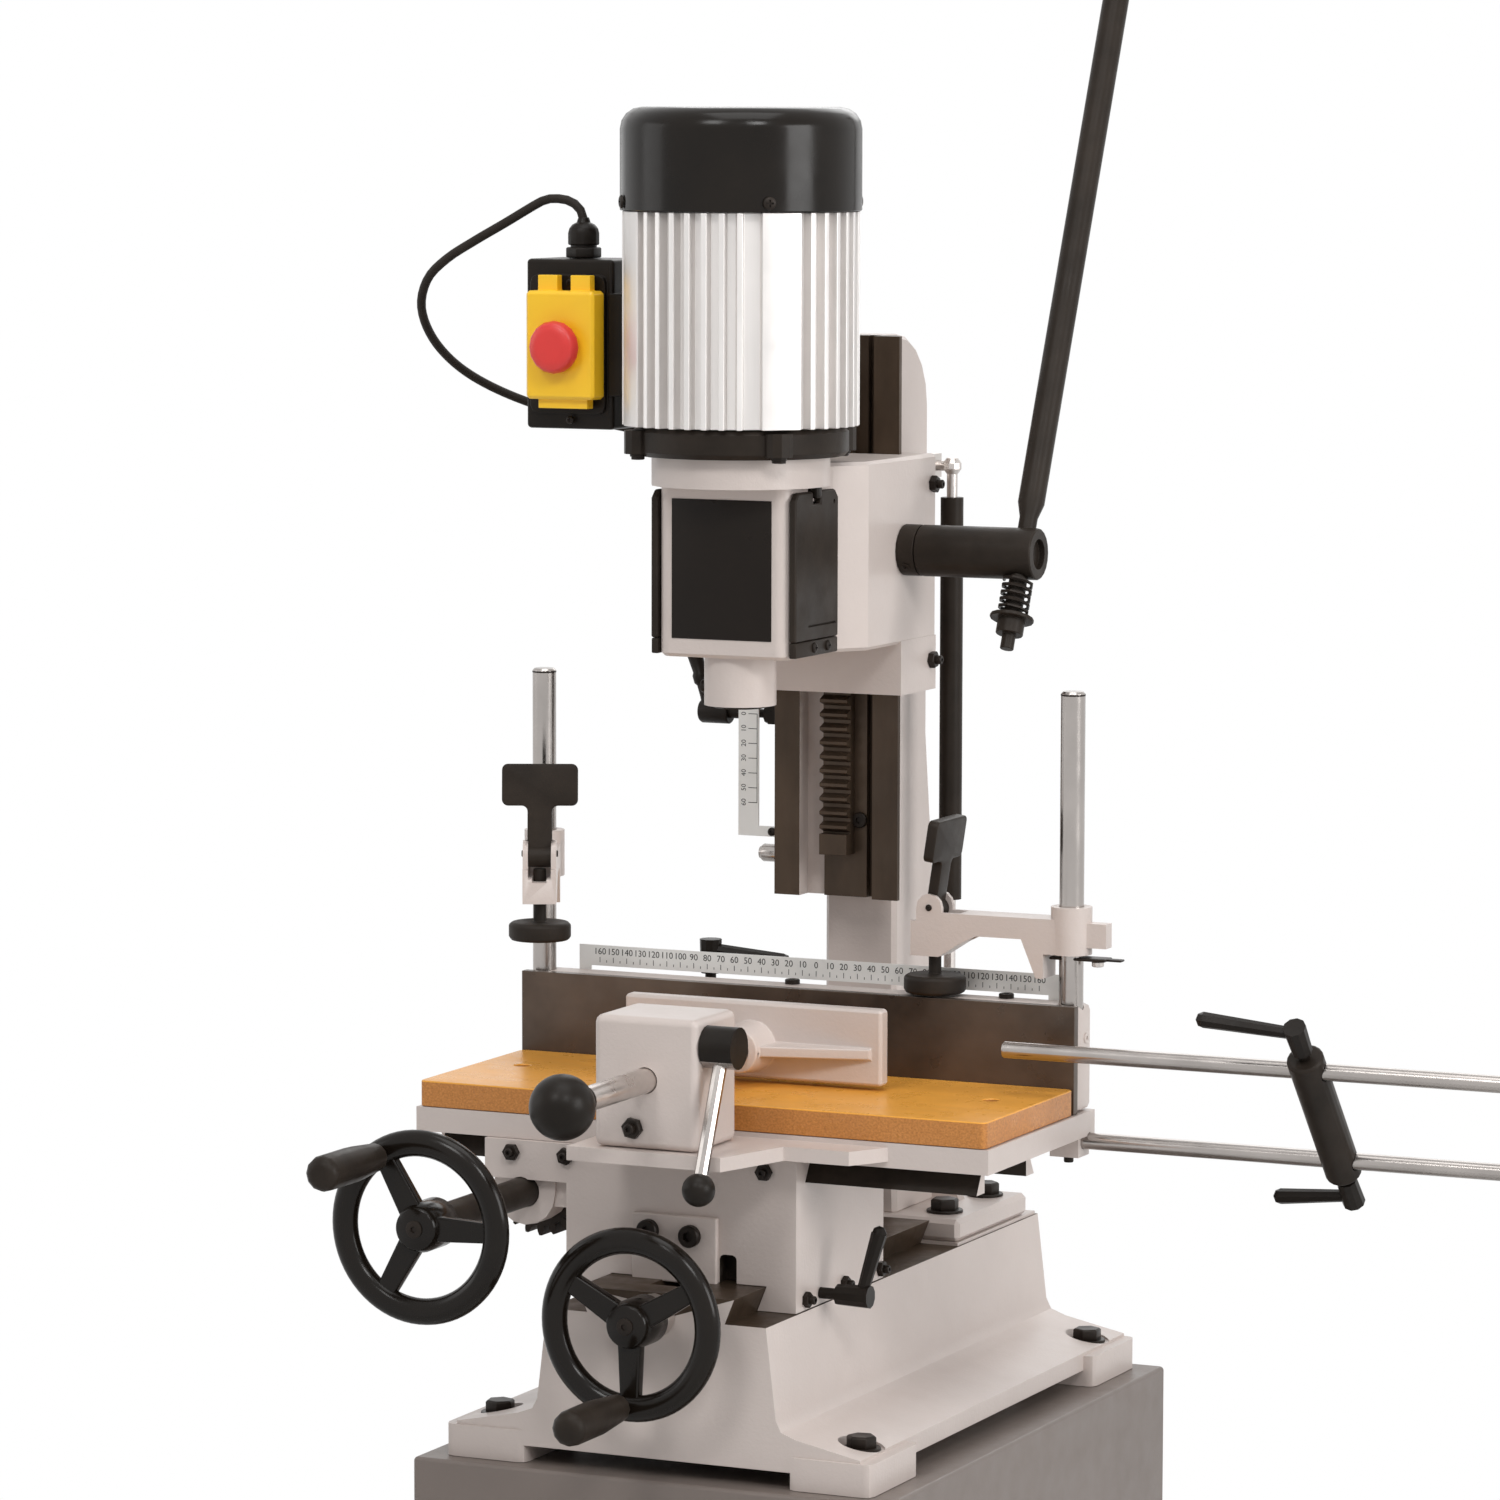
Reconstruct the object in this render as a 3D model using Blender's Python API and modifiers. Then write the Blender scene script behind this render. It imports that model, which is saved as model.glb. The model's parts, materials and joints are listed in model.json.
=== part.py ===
"""Floor-standing hollow-chisel mortiser on a sheet-steel cabinet, as separate parts.

Metres, +Z up, the front of the machine towards -Y. The origin is the centre of the
cabinet's bottom face, on the floor and on the machine's centre line.
"""
import bpy
import bmesh
from math import acos, atan2, cos, pi, radians, sin, sqrt, tan
from mathutils import Matrix, Vector

# General fits
FIT = 0.0003            # gap between pieces that touch
RUN = 0.0004            # gap round a shaft or along a slide
SPARE = 0.004           # how far a cut runs past the face it opens
ROOT_EMBED = 0.002      # how far a joined boss or rib reaches into its carrier
ROUND_STEPS = 20        # sides of an ordinary round piece
SMALL_STEPS = 10        # sides of a small round piece

# Cabinet stand
CABINET_WIDTH = 0.334
CABINET_DEPTH = 0.480
CABINET_HEIGHT = 0.640
CABINET_WALL = 0.0025
DOOR_FRAME = 0.030      # sheet left round the door opening
DOOR_GAP = 0.0008
DOOR_PAN = 0.014        # depth of the door's folded edge
DOOR_PROUD = 0.002
DOOR_SHEET = 0.002
DOOR_KNOB_RADIUS = 0.014
DOOR_KNOB_LENGTH = 0.022

# Base casting
BASE_WIDTH = 0.300
BASE_DEPTH = 0.452
BASE_HEIGHT = 0.102     # cabinet top to the ledge beside the way
BASE_TOP_WIDTH = 0.154
BASE_CREASE_WIDTH = 0.168
BASE_CREASE_HEIGHT = 0.036
BASE_FLANGE_WIDTH = 0.284
BASE_FLANGE_HEIGHT = 0.023
BASE_SKIRT_GAP = 0.011
BASE_WALL = 0.011
BASE_PAD_RISE = 0.002
FOOT_LENGTH = 0.076
FOOT_WIDTH = 0.058
FOOT_HEIGHT = 0.021
FOOT_EDGE = 0.003

# Cross way on the base, and its screw
CROSS_WAY_TOP = 0.110
CROSS_WAY_ROOT = 0.097
CROSS_WAY_HEIGHT = 0.016
TROUGH_WIDTH = 0.032
TROUGH_DEPTH = 0.032
TROUGH_END_WALL = 0.026
CROSS_SCREW_RADIUS = 0.008
CROSS_SCREW_DROP = 0.014     # screw axis below the top of the way
CROSS_SCREW_END_GAP = 0.017  # screw's end in front of the column's foot
CROSS_JOURNAL_RADIUS = 0.006
CROSS_COLLAR_RADIUS = 0.014
CROSS_COLLAR_LENGTH = 0.010

# Column
COLUMN_FOOT_WIDTH = 0.152
COLUMN_FOOT_DEPTH = 0.122
COLUMN_FOOT_HEIGHT = 0.015
COLUMN_FOOT_FRONT = 0.087    # Y of the foot's front face
COLUMN_WIDTH = 0.052
COLUMN_NECK_FRONT = 0.093
COLUMN_BACK = 0.146
COLUMN_HEEL = 0.190          # Y of the back where it meets the foot
COLUMN_WALL = 0.009
COLUMN_TOP_ROUND = 0.050
WAY_BOTTOM = 0.339
WAY_TOP = 0.715
WAY_WIDTH = 0.090
WAY_ROOT_WIDTH = 0.066
WAY_FRONT = 0.052            # Y of the machined front lands
WAY_LAND_DEPTH = 0.004
WAY_DEPTH = 0.022
WAY_CHANNEL_WIDTH = 0.053
WAY_CHANNEL_DEPTH = 0.014
RACK_PAD_LEFT = 0.012
RACK_PAD_RIGHT = 0.019
CABLE_LUG_DROP = 0.100       # lug's middle below the top of the way
CABLE_LUG_LENGTH = 0.016
CABLE_LUG_WALL = 0.003       # metal round the cord's hole
CABLE_LUG_ROOM = 0.0018      # between the cord and its hole

# Feed rack and pinion
GEAR_MODULE = 0.003
PRESSURE_ANGLE = radians(20.0)
TOOTH_PLAY = 0.0005
FEED_TEETH = 16
FEED_AXIS_Z = 0.576
FEED_RACK_WIDTH = 0.020
FEED_RACK_BACKING = 0.0065
FEED_RACK_BOTTOM = 0.368
FEED_RACK_PLAIN = 0.014
FEED_RACK_TEETH = 33
RACK_TIP_Y = 0.047

# Head casting
SPINDLE_Y = -0.100           # Y of the motor and chisel axis
HEAD_BOX_WIDTH = 0.092
HEAD_BOX_FRONT = 0.029       # in front of the spindle axis
HEAD_BOX_BACK = 0.043
HEAD_BOX_BOTTOM = 0.515
HEAD_BOX_ROUND = 0.009
HEAD_COLLAR_BOTTOM = 0.624
HEAD_COLLAR_TOP = 0.643
HEAD_COLLAR_RADIUS = 0.058
HEAD_BORE_RADIUS = 0.024
HEAD_BLOCK_WIDTH = 0.122
HEAD_BLOCK_FRONT = -0.034
HEAD_BLOCK_BACK = 0.078
HEAD_BLOCK_TOP = 0.637
HEAD_BLOCK_BOTTOM = 0.480
HEAD_STEP_Y = 0.020
HEAD_STEP_Z = 0.514
HEAD_WALL = 0.008
HEAD_WINDOW_BOTTOM = 0.528
HEAD_WINDOW_TOP = 0.614
CHISEL_BOSS_RADIUS = 0.0235
CHISEL_BOSS_LENGTH = 0.032
CHISEL_BORE_RADIUS = 0.0145
GUARD_WIDTH = 0.067
GUARD_EDGE = 0.002           # guard's front edge behind the box's front
GUARD_BOTTOM = 0.5255
GUARD_TOP = 0.621
GUARD_THICKNESS = 0.005
GUARD_NOTCH_WIDTH = 0.012
GUARD_NOTCH_DEPTH = 0.008

# Motor
MOTOR_FLANGE_RADIUS = 0.070
MOTOR_FLANGE_HEIGHT = 0.019
MOTOR_EAR_CIRCLE = 0.070
MOTOR_EAR_RADIUS = 0.009
MOTOR_RADIUS = 0.0763
MOTOR_CORE_RADIUS = 0.069
MOTOR_BODY_HEIGHT = 0.137
MOTOR_FINS_PER_QUARTER = 8
FIN_SHARE = 0.46             # share of the fin pitch that is metal
LAND_ANGLE = radians(20.0)   # smooth land between the fin groups
COWL_RADIUS = 0.078
COWL_HEIGHT = 0.066
COWL_ROUND = 0.014
COWL_WALL = 0.002
COWL_SLOTS = 8
COWL_SLOT_WIDTH = 0.004
COWL_SLOT_INNER = 0.018
COWL_SLOT_OUTER = 0.056
SHAFT_RADIUS = 0.0095
CHUCK_RADIUS = 0.0195
CHUCK_NOSE_RADIUS = 0.009
CHUCK_LENGTH = 0.044
CHUCK_NOSE_LENGTH = 0.018
CHUCK_TOP = 0.606

# Switch on the motor's left side
SWITCH_WIDTH = 0.063
SWITCH_HEIGHT = 0.110
SWITCH_DEPTH = 0.050
SWITCH_X = -0.1185
SWITCH_Z = 0.7125
SWITCH_FRONT = -0.109
SWITCH_WALL = 0.0025
PANEL_WIDTH = 0.054
PANEL_HEIGHT = 0.090
PANEL_PROUD = 0.003
COVER_WIDTH = 0.049
COVER_HEIGHT = 0.070
COVER_DEPTH = 0.018
COVER_WALL = 0.002
COVER_LIP = 0.006
COVER_TAB_WIDTH = 0.014
COVER_TAB_HEIGHT = 0.010
COVER_SHIFT = 0.003          # cover centre right of the box centre
STOP_RADIUS = 0.017
STOP_HEAD = 0.010
STOP_STEM_RADIUS = 0.009
STOP_STEM = 0.012
START_RADIUS = 0.007
START_PROUD = 0.006
START_DROP = 0.022
GLAND_RADIUS = 0.0105
GLAND_NUT_HEIGHT = 0.008
GLAND_HEIGHT = 0.023
GLAND_Y = -0.088

# Feed lever
HUB_RADIUS = 0.017
HUB_COLLAR_LENGTH = 0.012
HUB_END_X = 0.156
HUB_BORE_RADIUS = 0.010
HUB_BORE_DEPTH = 0.004
FEED_SHAFT_RADIUS = 0.011
LEVER_X = 0.1445
LEVER_LEAN = radians(23.6)   # lean back from upright at rest
LEVER_LENGTH = 0.430
LEVER_RADIUS = 0.0088
LEVER_NECK_RADIUS = 0.006
LEVER_NECK_LENGTH = 0.008
LEVER_TAPER_LENGTH = 0.010
LEVER_KNOB_RADIUS = 0.018
LEVER_STUD_RADIUS = 0.0045
LEVER_STUD_END = 0.066
SPRING_RADIUS = 0.0098
SPRING_WIRE = 0.0012
SPRING_TURNS = 5
SPRING_LENGTH = 0.024
WASHER_RADIUS = 0.0145
WASHER_THICKNESS = 0.0025
NUT_RADIUS = 0.009
NUT_HEIGHT = 0.010

# Gas strut behind the head
STRUT_X = 0.060
STRUT_Y = 0.107
STRUT_RADIUS = 0.0077
STRUT_TOP = 0.606
STRUT_BOTTOM = 0.335
STRUT_WALL = 0.002
STRUT_NECK_RADIUS = 0.0036
STRUT_BALL_RADIUS = 0.0065
STRUT_BALL_Z = 0.627
STRUT_BRACKET_THICKNESS = 0.005
STRUT_BRACKET_HEIGHT = 0.016
STRUT_ROD_RADIUS = 0.004
STRUT_ROD_TOP = 0.510
STRUT_FOOT_Z = 0.212

# Depth scale, depth stop and its clamp lever
SCALE_WIDTH = 0.015
SCALE_THICKNESS = 0.0015
SCALE_BOTTOM = 0.377
SCALE_TOP = 0.467
SCALE_LEFT = 0.0285          # left edge, measured from the way's left face
SCALE_SETBACK = 0.0035       # front face behind the way's front lands
SCALE_FOOT_HEIGHT = 0.007
STOP_BAR_WIDTH = 0.005
STOP_BAR_DEPTH = 0.012
STOP_AXIS_Z = 0.459
STOP_AXIS_Y = 0.066
STOP_BAR_TOP = 0.520
STOP_COLLAR_RADIUS = 0.0065
STOP_STUD_RADIUS = 0.003
STOP_STUD_LENGTH = 0.012

# Ratchet levers
RATCHET_HUB_RADIUS = 0.0075
RATCHET_HUB_LENGTH = 0.023
RATCHET_ARM_LENGTH = 0.052
RATCHET_SHORT_ARM = 0.042
RATCHET_ARM_RADIUS = 0.0052
RATCHET_ARM_LEAN = radians(14.0)

# Saddle
SADDLE_LEFT = 0.087
SADDLE_RIGHT = 0.076
SADDLE_FRONT = -0.178
SADDLE_BACK = -0.0395
SADDLE_ARM_LEFT = 0.146
SADDLE_ARM_DROP = 0.010      # arm's underside below the channel floor
SIDE_AXIS_X = -0.120
SIDE_AXIS_Z = 0.166
SIDE_TEETH = 20
SIDE_GEAR_WIDTH = 0.016
SIDE_BOSS_RADIUS = 0.022
SIDE_BOSS_LENGTH = 0.022
SIDE_BOSS_FRONT = -0.172
SIDE_SHAFT_RADIUS = 0.010
SIDE_WHEEL_Y = -0.317
SCREW_NUT_WIDTH = 0.026
SCREW_NUT_LENGTH = 0.036
SCREW_NUT_DEPTH = 0.024
SADDLE_CLAMP_Y = -0.1406
SADDLE_CLAMP_Z = 0.110

# Handwheels
WHEEL_RADIUS = 0.062
WHEEL_RIM_WIDTH = 0.017
WHEEL_RIM_DEPTH = 0.014
WHEEL_HUB_RADIUS = 0.016
WHEEL_HUB_FRONT = 0.008
WHEEL_HUB_BACK = 0.022
WHEEL_SPOKE_WIDTH = 0.017
WHEEL_SPOKE_DEPTH = 0.008
FRONT_WHEEL_REACH = 0.036    # wheel's middle plane in front of the base
GRIP_RADIUS = 0.0115
GRIP_TAPER_SHARE = 0.78      # radius at the wheel as a share of the grip's
GRIP_LENGTH = 0.078
GRIP_PIN_RADIUS = 0.004
GRIP_STANDOFF = 0.004

# Table casting and board
TABLE_SHIFT = 0.004          # table centre right of the machine's centre line
TABLE_TOP = 0.234
TABLE_LENGTH = 0.400
TABLE_DEPTH = 0.148
BOARD_THICKNESS = 0.017
BOARD_CORNER = 0.004
FENCE_FACE_Y = -0.026
PLATE_LENGTH = 0.404
PLATE_THICKNESS = 0.016
PLATE_BACK = 0.006
PLATE_LIP = 0.004
BULGE_LEFT = 0.052           # vise shelf, left and right of the table centre
BULGE_RIGHT = 0.055
BULGE_FRONT = -0.256
BULGE_STEP_WIDTH = 0.045     # second, shallower step right of the shelf
BULGE_STEP_FRONT = -0.200
BULGE_SLOPE = 0.018
BULGE_DROP = 0.003           # shelf's top below the plate's
TABLE_WAY_FRONT = -0.164     # Y of the dovetail's bottom edges
TABLE_WAY_BACK = -0.069
TABLE_WAY_UNDERCUT = 0.009
TABLE_WAY_HEIGHT = 0.0155
TABLE_WAY_LENGTH = 0.380
TABLE_WAY_WALL = 0.013

# Fence
FENCE_LENGTH = 0.400
FENCE_PLATE_THICKNESS = 0.007
FENCE_HEIGHT = 0.0535        # above the table top
FENCE_BODY_DEPTH = 0.025
FENCE_BODY_ROUND = 0.005
POST_SPACING = 0.382
POST_RADIUS = 0.008
POST_Y = -0.0095
POST_TOP = 0.491
POST_EDGE = 0.0015
RULER_LENGTH = 0.351
RULER_WIDTH = 0.014
RULER_THICKNESS = 0.001
RULER_STANDOFF = 0.001       # ruler's underside above the fence top
RULER_LEG_DROP = 0.022
RULER_LEG = 0.009
RULER_Y = 0.0125
FENCE_LOCK_X = -0.084
FENCE_LOCK_Y = 0.026
FENCE_LOCK_HEIGHT = 0.022    # lever's top above the fence top

# Vise
VISE_WIDTH = 0.072
VISE_FRONT = -0.250
VISE_DEPTH = 0.060
VISE_TOP = 0.298
VISE_ROUND = 0.010
VISE_BAR_RADIUS = 0.008
VISE_BAR_Z = 0.258
VISE_BALL_RADIUS = 0.0205
VISE_BALL_REACH = 0.116      # ball centre in front of the block
VISE_NECK_RADIUS = 0.010
VISE_JAW_LENGTH = 0.184
VISE_JAW_TOP = 0.287
VISE_JAW_BOTTOM = 0.237
VISE_JAW_FRONT = -0.090
VISE_JAW_THICKNESS = 0.012
VISE_RIB_HEIGHT = 0.007
VISE_RIB_REACH = 0.020
VISE_SOCKET_RADIUS = 0.017
VISE_SOCKET_LENGTH = 0.024
CAM_BARREL_RADIUS = 0.0135
CAM_BARREL_LENGTH = 0.022
CAM_STUB_RADIUS = 0.008
CAM_STUB_LENGTH = 0.020
CAM_Y = -0.235
CAM_Z = 0.280
CAM_ROD_RADIUS = 0.0045
CAM_ROD_LENGTH = 0.092
CAM_ROD_LEAN = radians(23.0)
CAM_BALL_RADIUS = 0.0105

# Hold-down clamps
CLAMP_REACH = 0.096
CLAMP_PIVOT_Z = (0.377, 0.346)      # left and right
CLAMP_TURN = (radians(24.8), radians(-90.0))
CLAMP_LEAN = radians(-8.6)
CLAMP_HUB_RADIUS = 0.0135
CLAMP_HUB_ABOVE = 0.005
CLAMP_HUB_BELOW = 0.026
CLAMP_ARM_WIDTH = 0.022
CLAMP_ARM_TOP = 0.003        # arm's top below the pivot
CLAMP_ARM_DEPTH = 0.014
CLAMP_EAR_RADIUS = 0.009
CLAMP_NOSE = 0.013
CLAMP_FORK_DROP = 0.032
CLAMP_FORK_BACK = 0.020
CLAMP_SLOT_WIDTH = 0.0095
CLAMP_SLOT_DROP = 0.018
CLAMP_SPIKE_OFFSET = 0.018
CLAMP_SPIKE_DROP = 0.042
CLAMP_LUG_REACH = 0.026
CLAMP_LUG_WIDTH = 0.010
CLAMP_BORE_RADIUS = 0.0046
CLAMP_SCREW_RADIUS = 0.0042
CLAMP_PAD_RADIUS = 0.0205
CLAMP_PAD_HEIGHT = 0.012
CLAMP_PAD_DROP = 0.051       # pad centre below the pivot
CLAMP_LEVER_LENGTH = 0.080
CLAMP_LEVER_WIDTH = 0.052
CLAMP_LEVER_HEAD = 0.029
CLAMP_LEVER_NECK = 0.017
CLAMP_LEVER_THICKNESS = 0.007
CLAMP_CAM_RADIUS = 0.007
CLAMP_CAM_OFFSET = 0.002     # cam's centre below the pivot while the lever stands up

# Length stop
STOP_LOWER_RADIUS = 0.0055
STOP_LOWER_Y = -0.003
STOP_LOWER_Z = 0.197
STOP_LOWER_END = 0.520
STOP_LOWER_START = 0.150
STOP_UPPER_RADIUS = 0.0055
STOP_UPPER_Y = -0.063
STOP_UPPER_Z = 0.263
STOP_UPPER_START = 0.170
STOP_UPPER_END = 0.520
STOP_HOLDER_X = 0.378
STOP_HOLDER_RADIUS = 0.012
STOP_HOLDER_SPARE = 0.013
STOP_LUG_DROP = 0.014

# Mains cord
CORD_RADIUS = 0.003
CORD_BEVEL_STEPS = 1
CORD_CLIP_GAP = 0.0005
PLUG_LENGTH = 0.040
PLUG_WIDTH = 0.048
PLUG_HEIGHT = 0.026
PLUG_EDGE = 0.005
PLUG_PIN_LENGTH = 0.017
PLUG_PIN_WIDTH = 0.006
PLUG_PIN_THICKNESS = 0.004
PLUG_PIN_SPACING = 0.022

# The cord's own route, chosen by hand: gland, arc, droop, back to the clip on the
# column, down behind the column and the cabinet, and along the floor to the plug.
CORD_FREE_ROUTE = [
    (-0.1187, -0.0880, 1.4331), (-0.1196, -0.0880, 1.4362), (-0.1220, -0.0880, 1.4404), (-0.1278, -0.0880, 1.4444),
    (-0.1354, -0.0885, 1.4460), (-0.1425, -0.0890, 1.4460), (-0.1502, -0.0895, 1.4434),
    (-0.1740, -0.0915, 1.4300), (-0.1960, -0.0930, 1.4180), (-0.2170, -0.0920, 1.4060),
    (-0.2340, -0.0870, 1.3920), (-0.2450, -0.0740, 1.3720), (-0.2470, -0.0500, 1.3490),
    (-0.2400, -0.0180, 1.3280), (-0.2220, 0.0200, 1.3100), (-0.1950, 0.0600, 1.2960),
    (-0.1600, 0.1000, 1.2850), (-0.1260, 0.1320, 1.2830), (-0.0930, 0.1530, 1.2880),
    (-0.0640, 0.1640, 1.2900), (-0.0500, 0.1652, 1.2790), (-0.0500, 0.1652, 1.2550),
]
CORD_TAIL_ROUTE = [
    (-0.0500, 0.1652, 1.2547), (-0.0500, 0.1652, 1.2240), (-0.0440, 0.1700, 1.1900),
    (-0.0400, 0.1800, 1.1200), (-0.0400, 0.1930, 1.0200), (-0.0400, 0.2130, 0.9000),
    (-0.0400, 0.2320, 0.7900), (-0.0400, 0.2430, 0.7100), (-0.0400, 0.2464, 0.6500),
    (-0.0400, 0.2466, 0.5600), (-0.0400, 0.2465, 0.4000), (-0.0400, 0.2468, 0.2600),
    (-0.0405, 0.2480, 0.1300), (-0.0420, 0.2540, 0.0620), (-0.0460, 0.2680, 0.0200),
    (-0.0500, 0.2900, 0.0060), (-0.0440, 0.3200, 0.0036), (-0.0180, 0.3440, 0.0036),
    (0.0120, 0.3490, 0.0060), (0.0380, 0.3440, 0.0100), (0.0540, 0.3350, 0.0130),
    (0.0840, 0.3130, 0.0130),
]

# Places worked out from the sizes above
# The machine's heights are measured from the top of its cabinet.
BASE_Z = FIT
LEDGE_Z = BASE_Z + BASE_HEIGHT
CROSS_WAY_Z = LEDGE_Z + CROSS_WAY_HEIGHT
CROSS_SCREW_Z = CROSS_WAY_Z - CROSS_SCREW_DROP
BASE_FRONT = -BASE_DEPTH / 2
FRONT_WHEEL_Y = BASE_FRONT - FRONT_WHEEL_REACH
CABLE_LUG_HEIGHT = WAY_TOP - CABLE_LUG_DROP
COLUMN_FOOT_Z = LEDGE_Z + BASE_PAD_RISE + FIT
COLUMN_FOOT_TOP = COLUMN_FOOT_Z + COLUMN_FOOT_HEIGHT
WAY_ROOT_Y = WAY_FRONT + WAY_DEPTH
RACK_PITCH_Y = RACK_TIP_Y + GEAR_MODULE
RACK_BACK_Y = RACK_PITCH_Y + 1.25 * GEAR_MODULE + FEED_RACK_BACKING
FEED_RADIUS = FEED_TEETH * GEAR_MODULE / 2
FEED_AXIS_Y = RACK_PITCH_Y - FEED_RADIUS
HEAD_X = HEAD_BLOCK_WIDTH / 2
MOTOR_FLANGE_Z = HEAD_COLLAR_TOP + FIT
MOTOR_BODY_Z = MOTOR_FLANGE_Z + MOTOR_FLANGE_HEIGHT + FIT
COWL_Z = MOTOR_BODY_Z + MOTOR_BODY_HEIGHT + FIT
COLLAR_END_X = HEAD_X + FIT + HUB_COLLAR_LENGTH
PLATE_TOP = TABLE_TOP - BOARD_THICKNESS - FIT
PLATE_BOTTOM = PLATE_TOP - PLATE_THICKNESS
TABLE_WAY_Z = PLATE_BOTTOM - TABLE_WAY_HEIGHT
SADDLE_FLOOR = TABLE_WAY_Z - FIT
SADDLE_FOOT = LEDGE_Z + FIT
SIDE_RADIUS = SIDE_TEETH * GEAR_MODULE / 2
TABLE_PITCH_Z = SIDE_AXIS_Z + SIDE_RADIUS
FENCE_TOP = TABLE_TOP + FENCE_HEIGHT
FENCE_BACK = FENCE_FACE_Y + FENCE_PLATE_THICKNESS + FIT + FENCE_BODY_DEPTH


# Helpers

def material(name, color, roughness, metallic=0.0):
    found = bpy.data.materials.get(name)
    if found:
        return found
    made = bpy.data.materials.new(name)
    made.use_nodes = True
    shader = made.node_tree.nodes["Principled BSDF"]
    shader.inputs["Base Color"].default_value = (*color, 1.0)
    shader.inputs["Roughness"].default_value = roughness
    shader.inputs["Metallic"].default_value = metallic
    made.diffuse_color = (*color, 1.0)
    return made


FINISHES = {
    "casting_paint": ((0.58, 0.55, 0.52), 0.45, 0.0),
    "cabinet_paint": ((0.10, 0.10, 0.10), 0.5, 0.0),
    "machined_iron": ((0.09, 0.07, 0.055), 0.5, 0.6),
    "gloss_black": ((0.012, 0.011, 0.011), 0.15, 0.0),
    "satin_black": ((0.03, 0.028, 0.027), 0.4, 0.0),
    "aluminium": ((0.72, 0.72, 0.72), 0.35, 0.9),
    "chrome": ((0.75, 0.74, 0.72), 0.15, 1.0),
    "bright_steel": ((0.55, 0.53, 0.50), 0.3, 1.0),
    "black_plastic": ((0.02, 0.02, 0.02), 0.5, 0.0),
    "yellow_plastic": ((0.90, 0.48, 0.02), 0.35, 0.0),
    "red_plastic": ((0.70, 0.03, 0.03), 0.35, 0.0),
    "green_plastic": ((0.03, 0.35, 0.08), 0.4, 0.0),
    "laminate": ((0.80, 0.42, 0.12), 0.3, 0.0),
    "scale_plate": ((0.70, 0.70, 0.68), 0.4, 0.3),
}


def keep(obj, finish):
    """Put a finished piece in the machine's collection with its own material."""
    machine.objects.link(obj)
    color, roughness, metallic = FINISHES[finish]
    obj.data.materials.clear()
    obj.data.materials.append(material(obj.name + "_" + finish, color, roughness, metallic))
    pieces[obj.name] = obj
    return obj


def tool(obj):
    """Put a shape that only cuts or joins another in the cutters' collection."""
    cutters.objects.link(obj)
    obj.hide_render = True
    obj.display_type = "WIRE"
    return obj


def mesh_object(name, bm):
    mesh = bpy.data.meshes.new(name)
    bm.to_mesh(mesh)
    bm.free()
    return bpy.data.objects.new(name, mesh)


def smooth(obj, angle=radians(35)):
    obj.data.shade_smooth()
    obj.data.set_sharp_from_angle(angle=angle)
    return obj


def bevel(obj, width, segments=2, angle=radians(40)):
    mod = obj.modifiers.new("Edges", "BEVEL")
    mod.width = width
    mod.segments = segments
    mod.limit_method = "ANGLE"
    mod.angle_limit = angle
    return obj


def block(name, low, high):
    """A box between two corners."""
    bm = bmesh.new()
    bmesh.ops.create_cube(bm, size=1.0)
    span = Vector(high) - Vector(low)
    bmesh.ops.scale(bm, vec=span, verts=bm.verts)
    bmesh.ops.translate(bm, vec=(Vector(high) + Vector(low)) / 2, verts=bm.verts)
    return mesh_object(name, bm)


def rod(name, start, end, radius, end_radius=None, steps=ROUND_STEPS):
    """A round bar or cone between two points."""
    start, end = Vector(start), Vector(end)
    along = end - start
    bm = bmesh.new()
    bmesh.ops.create_cone(bm, cap_ends=True, segments=steps, radius1=radius,
                          radius2=radius if end_radius is None else end_radius,
                          depth=along.length)
    turn = along.to_track_quat("Z", "Y").to_matrix().to_4x4()
    bmesh.ops.transform(bm, matrix=Matrix.Translation((start + end) / 2) @ turn, verts=bm.verts)
    return smooth(mesh_object(name, bm))


def ball(name, centre, radius, steps=16):
    bm = bmesh.new()
    bmesh.ops.create_uvsphere(bm, u_segments=steps, v_segments=steps // 2, radius=radius)
    bmesh.ops.translate(bm, vec=centre, verts=bm.verts)
    return smooth(mesh_object(name, bm))


def frame_matrix(axis):
    """Turn a flat outline's (u, v, depth) into world axes: depth runs along the axis."""
    if axis == "X":
        return Matrix(((0, 0, 1), (1, 0, 0), (0, 1, 0))).to_4x4()
    if axis == "Y":
        return Matrix(((1, 0, 0), (0, 0, -1), (0, 1, 0))).to_4x4()
    return Matrix.Identity(4)


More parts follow.
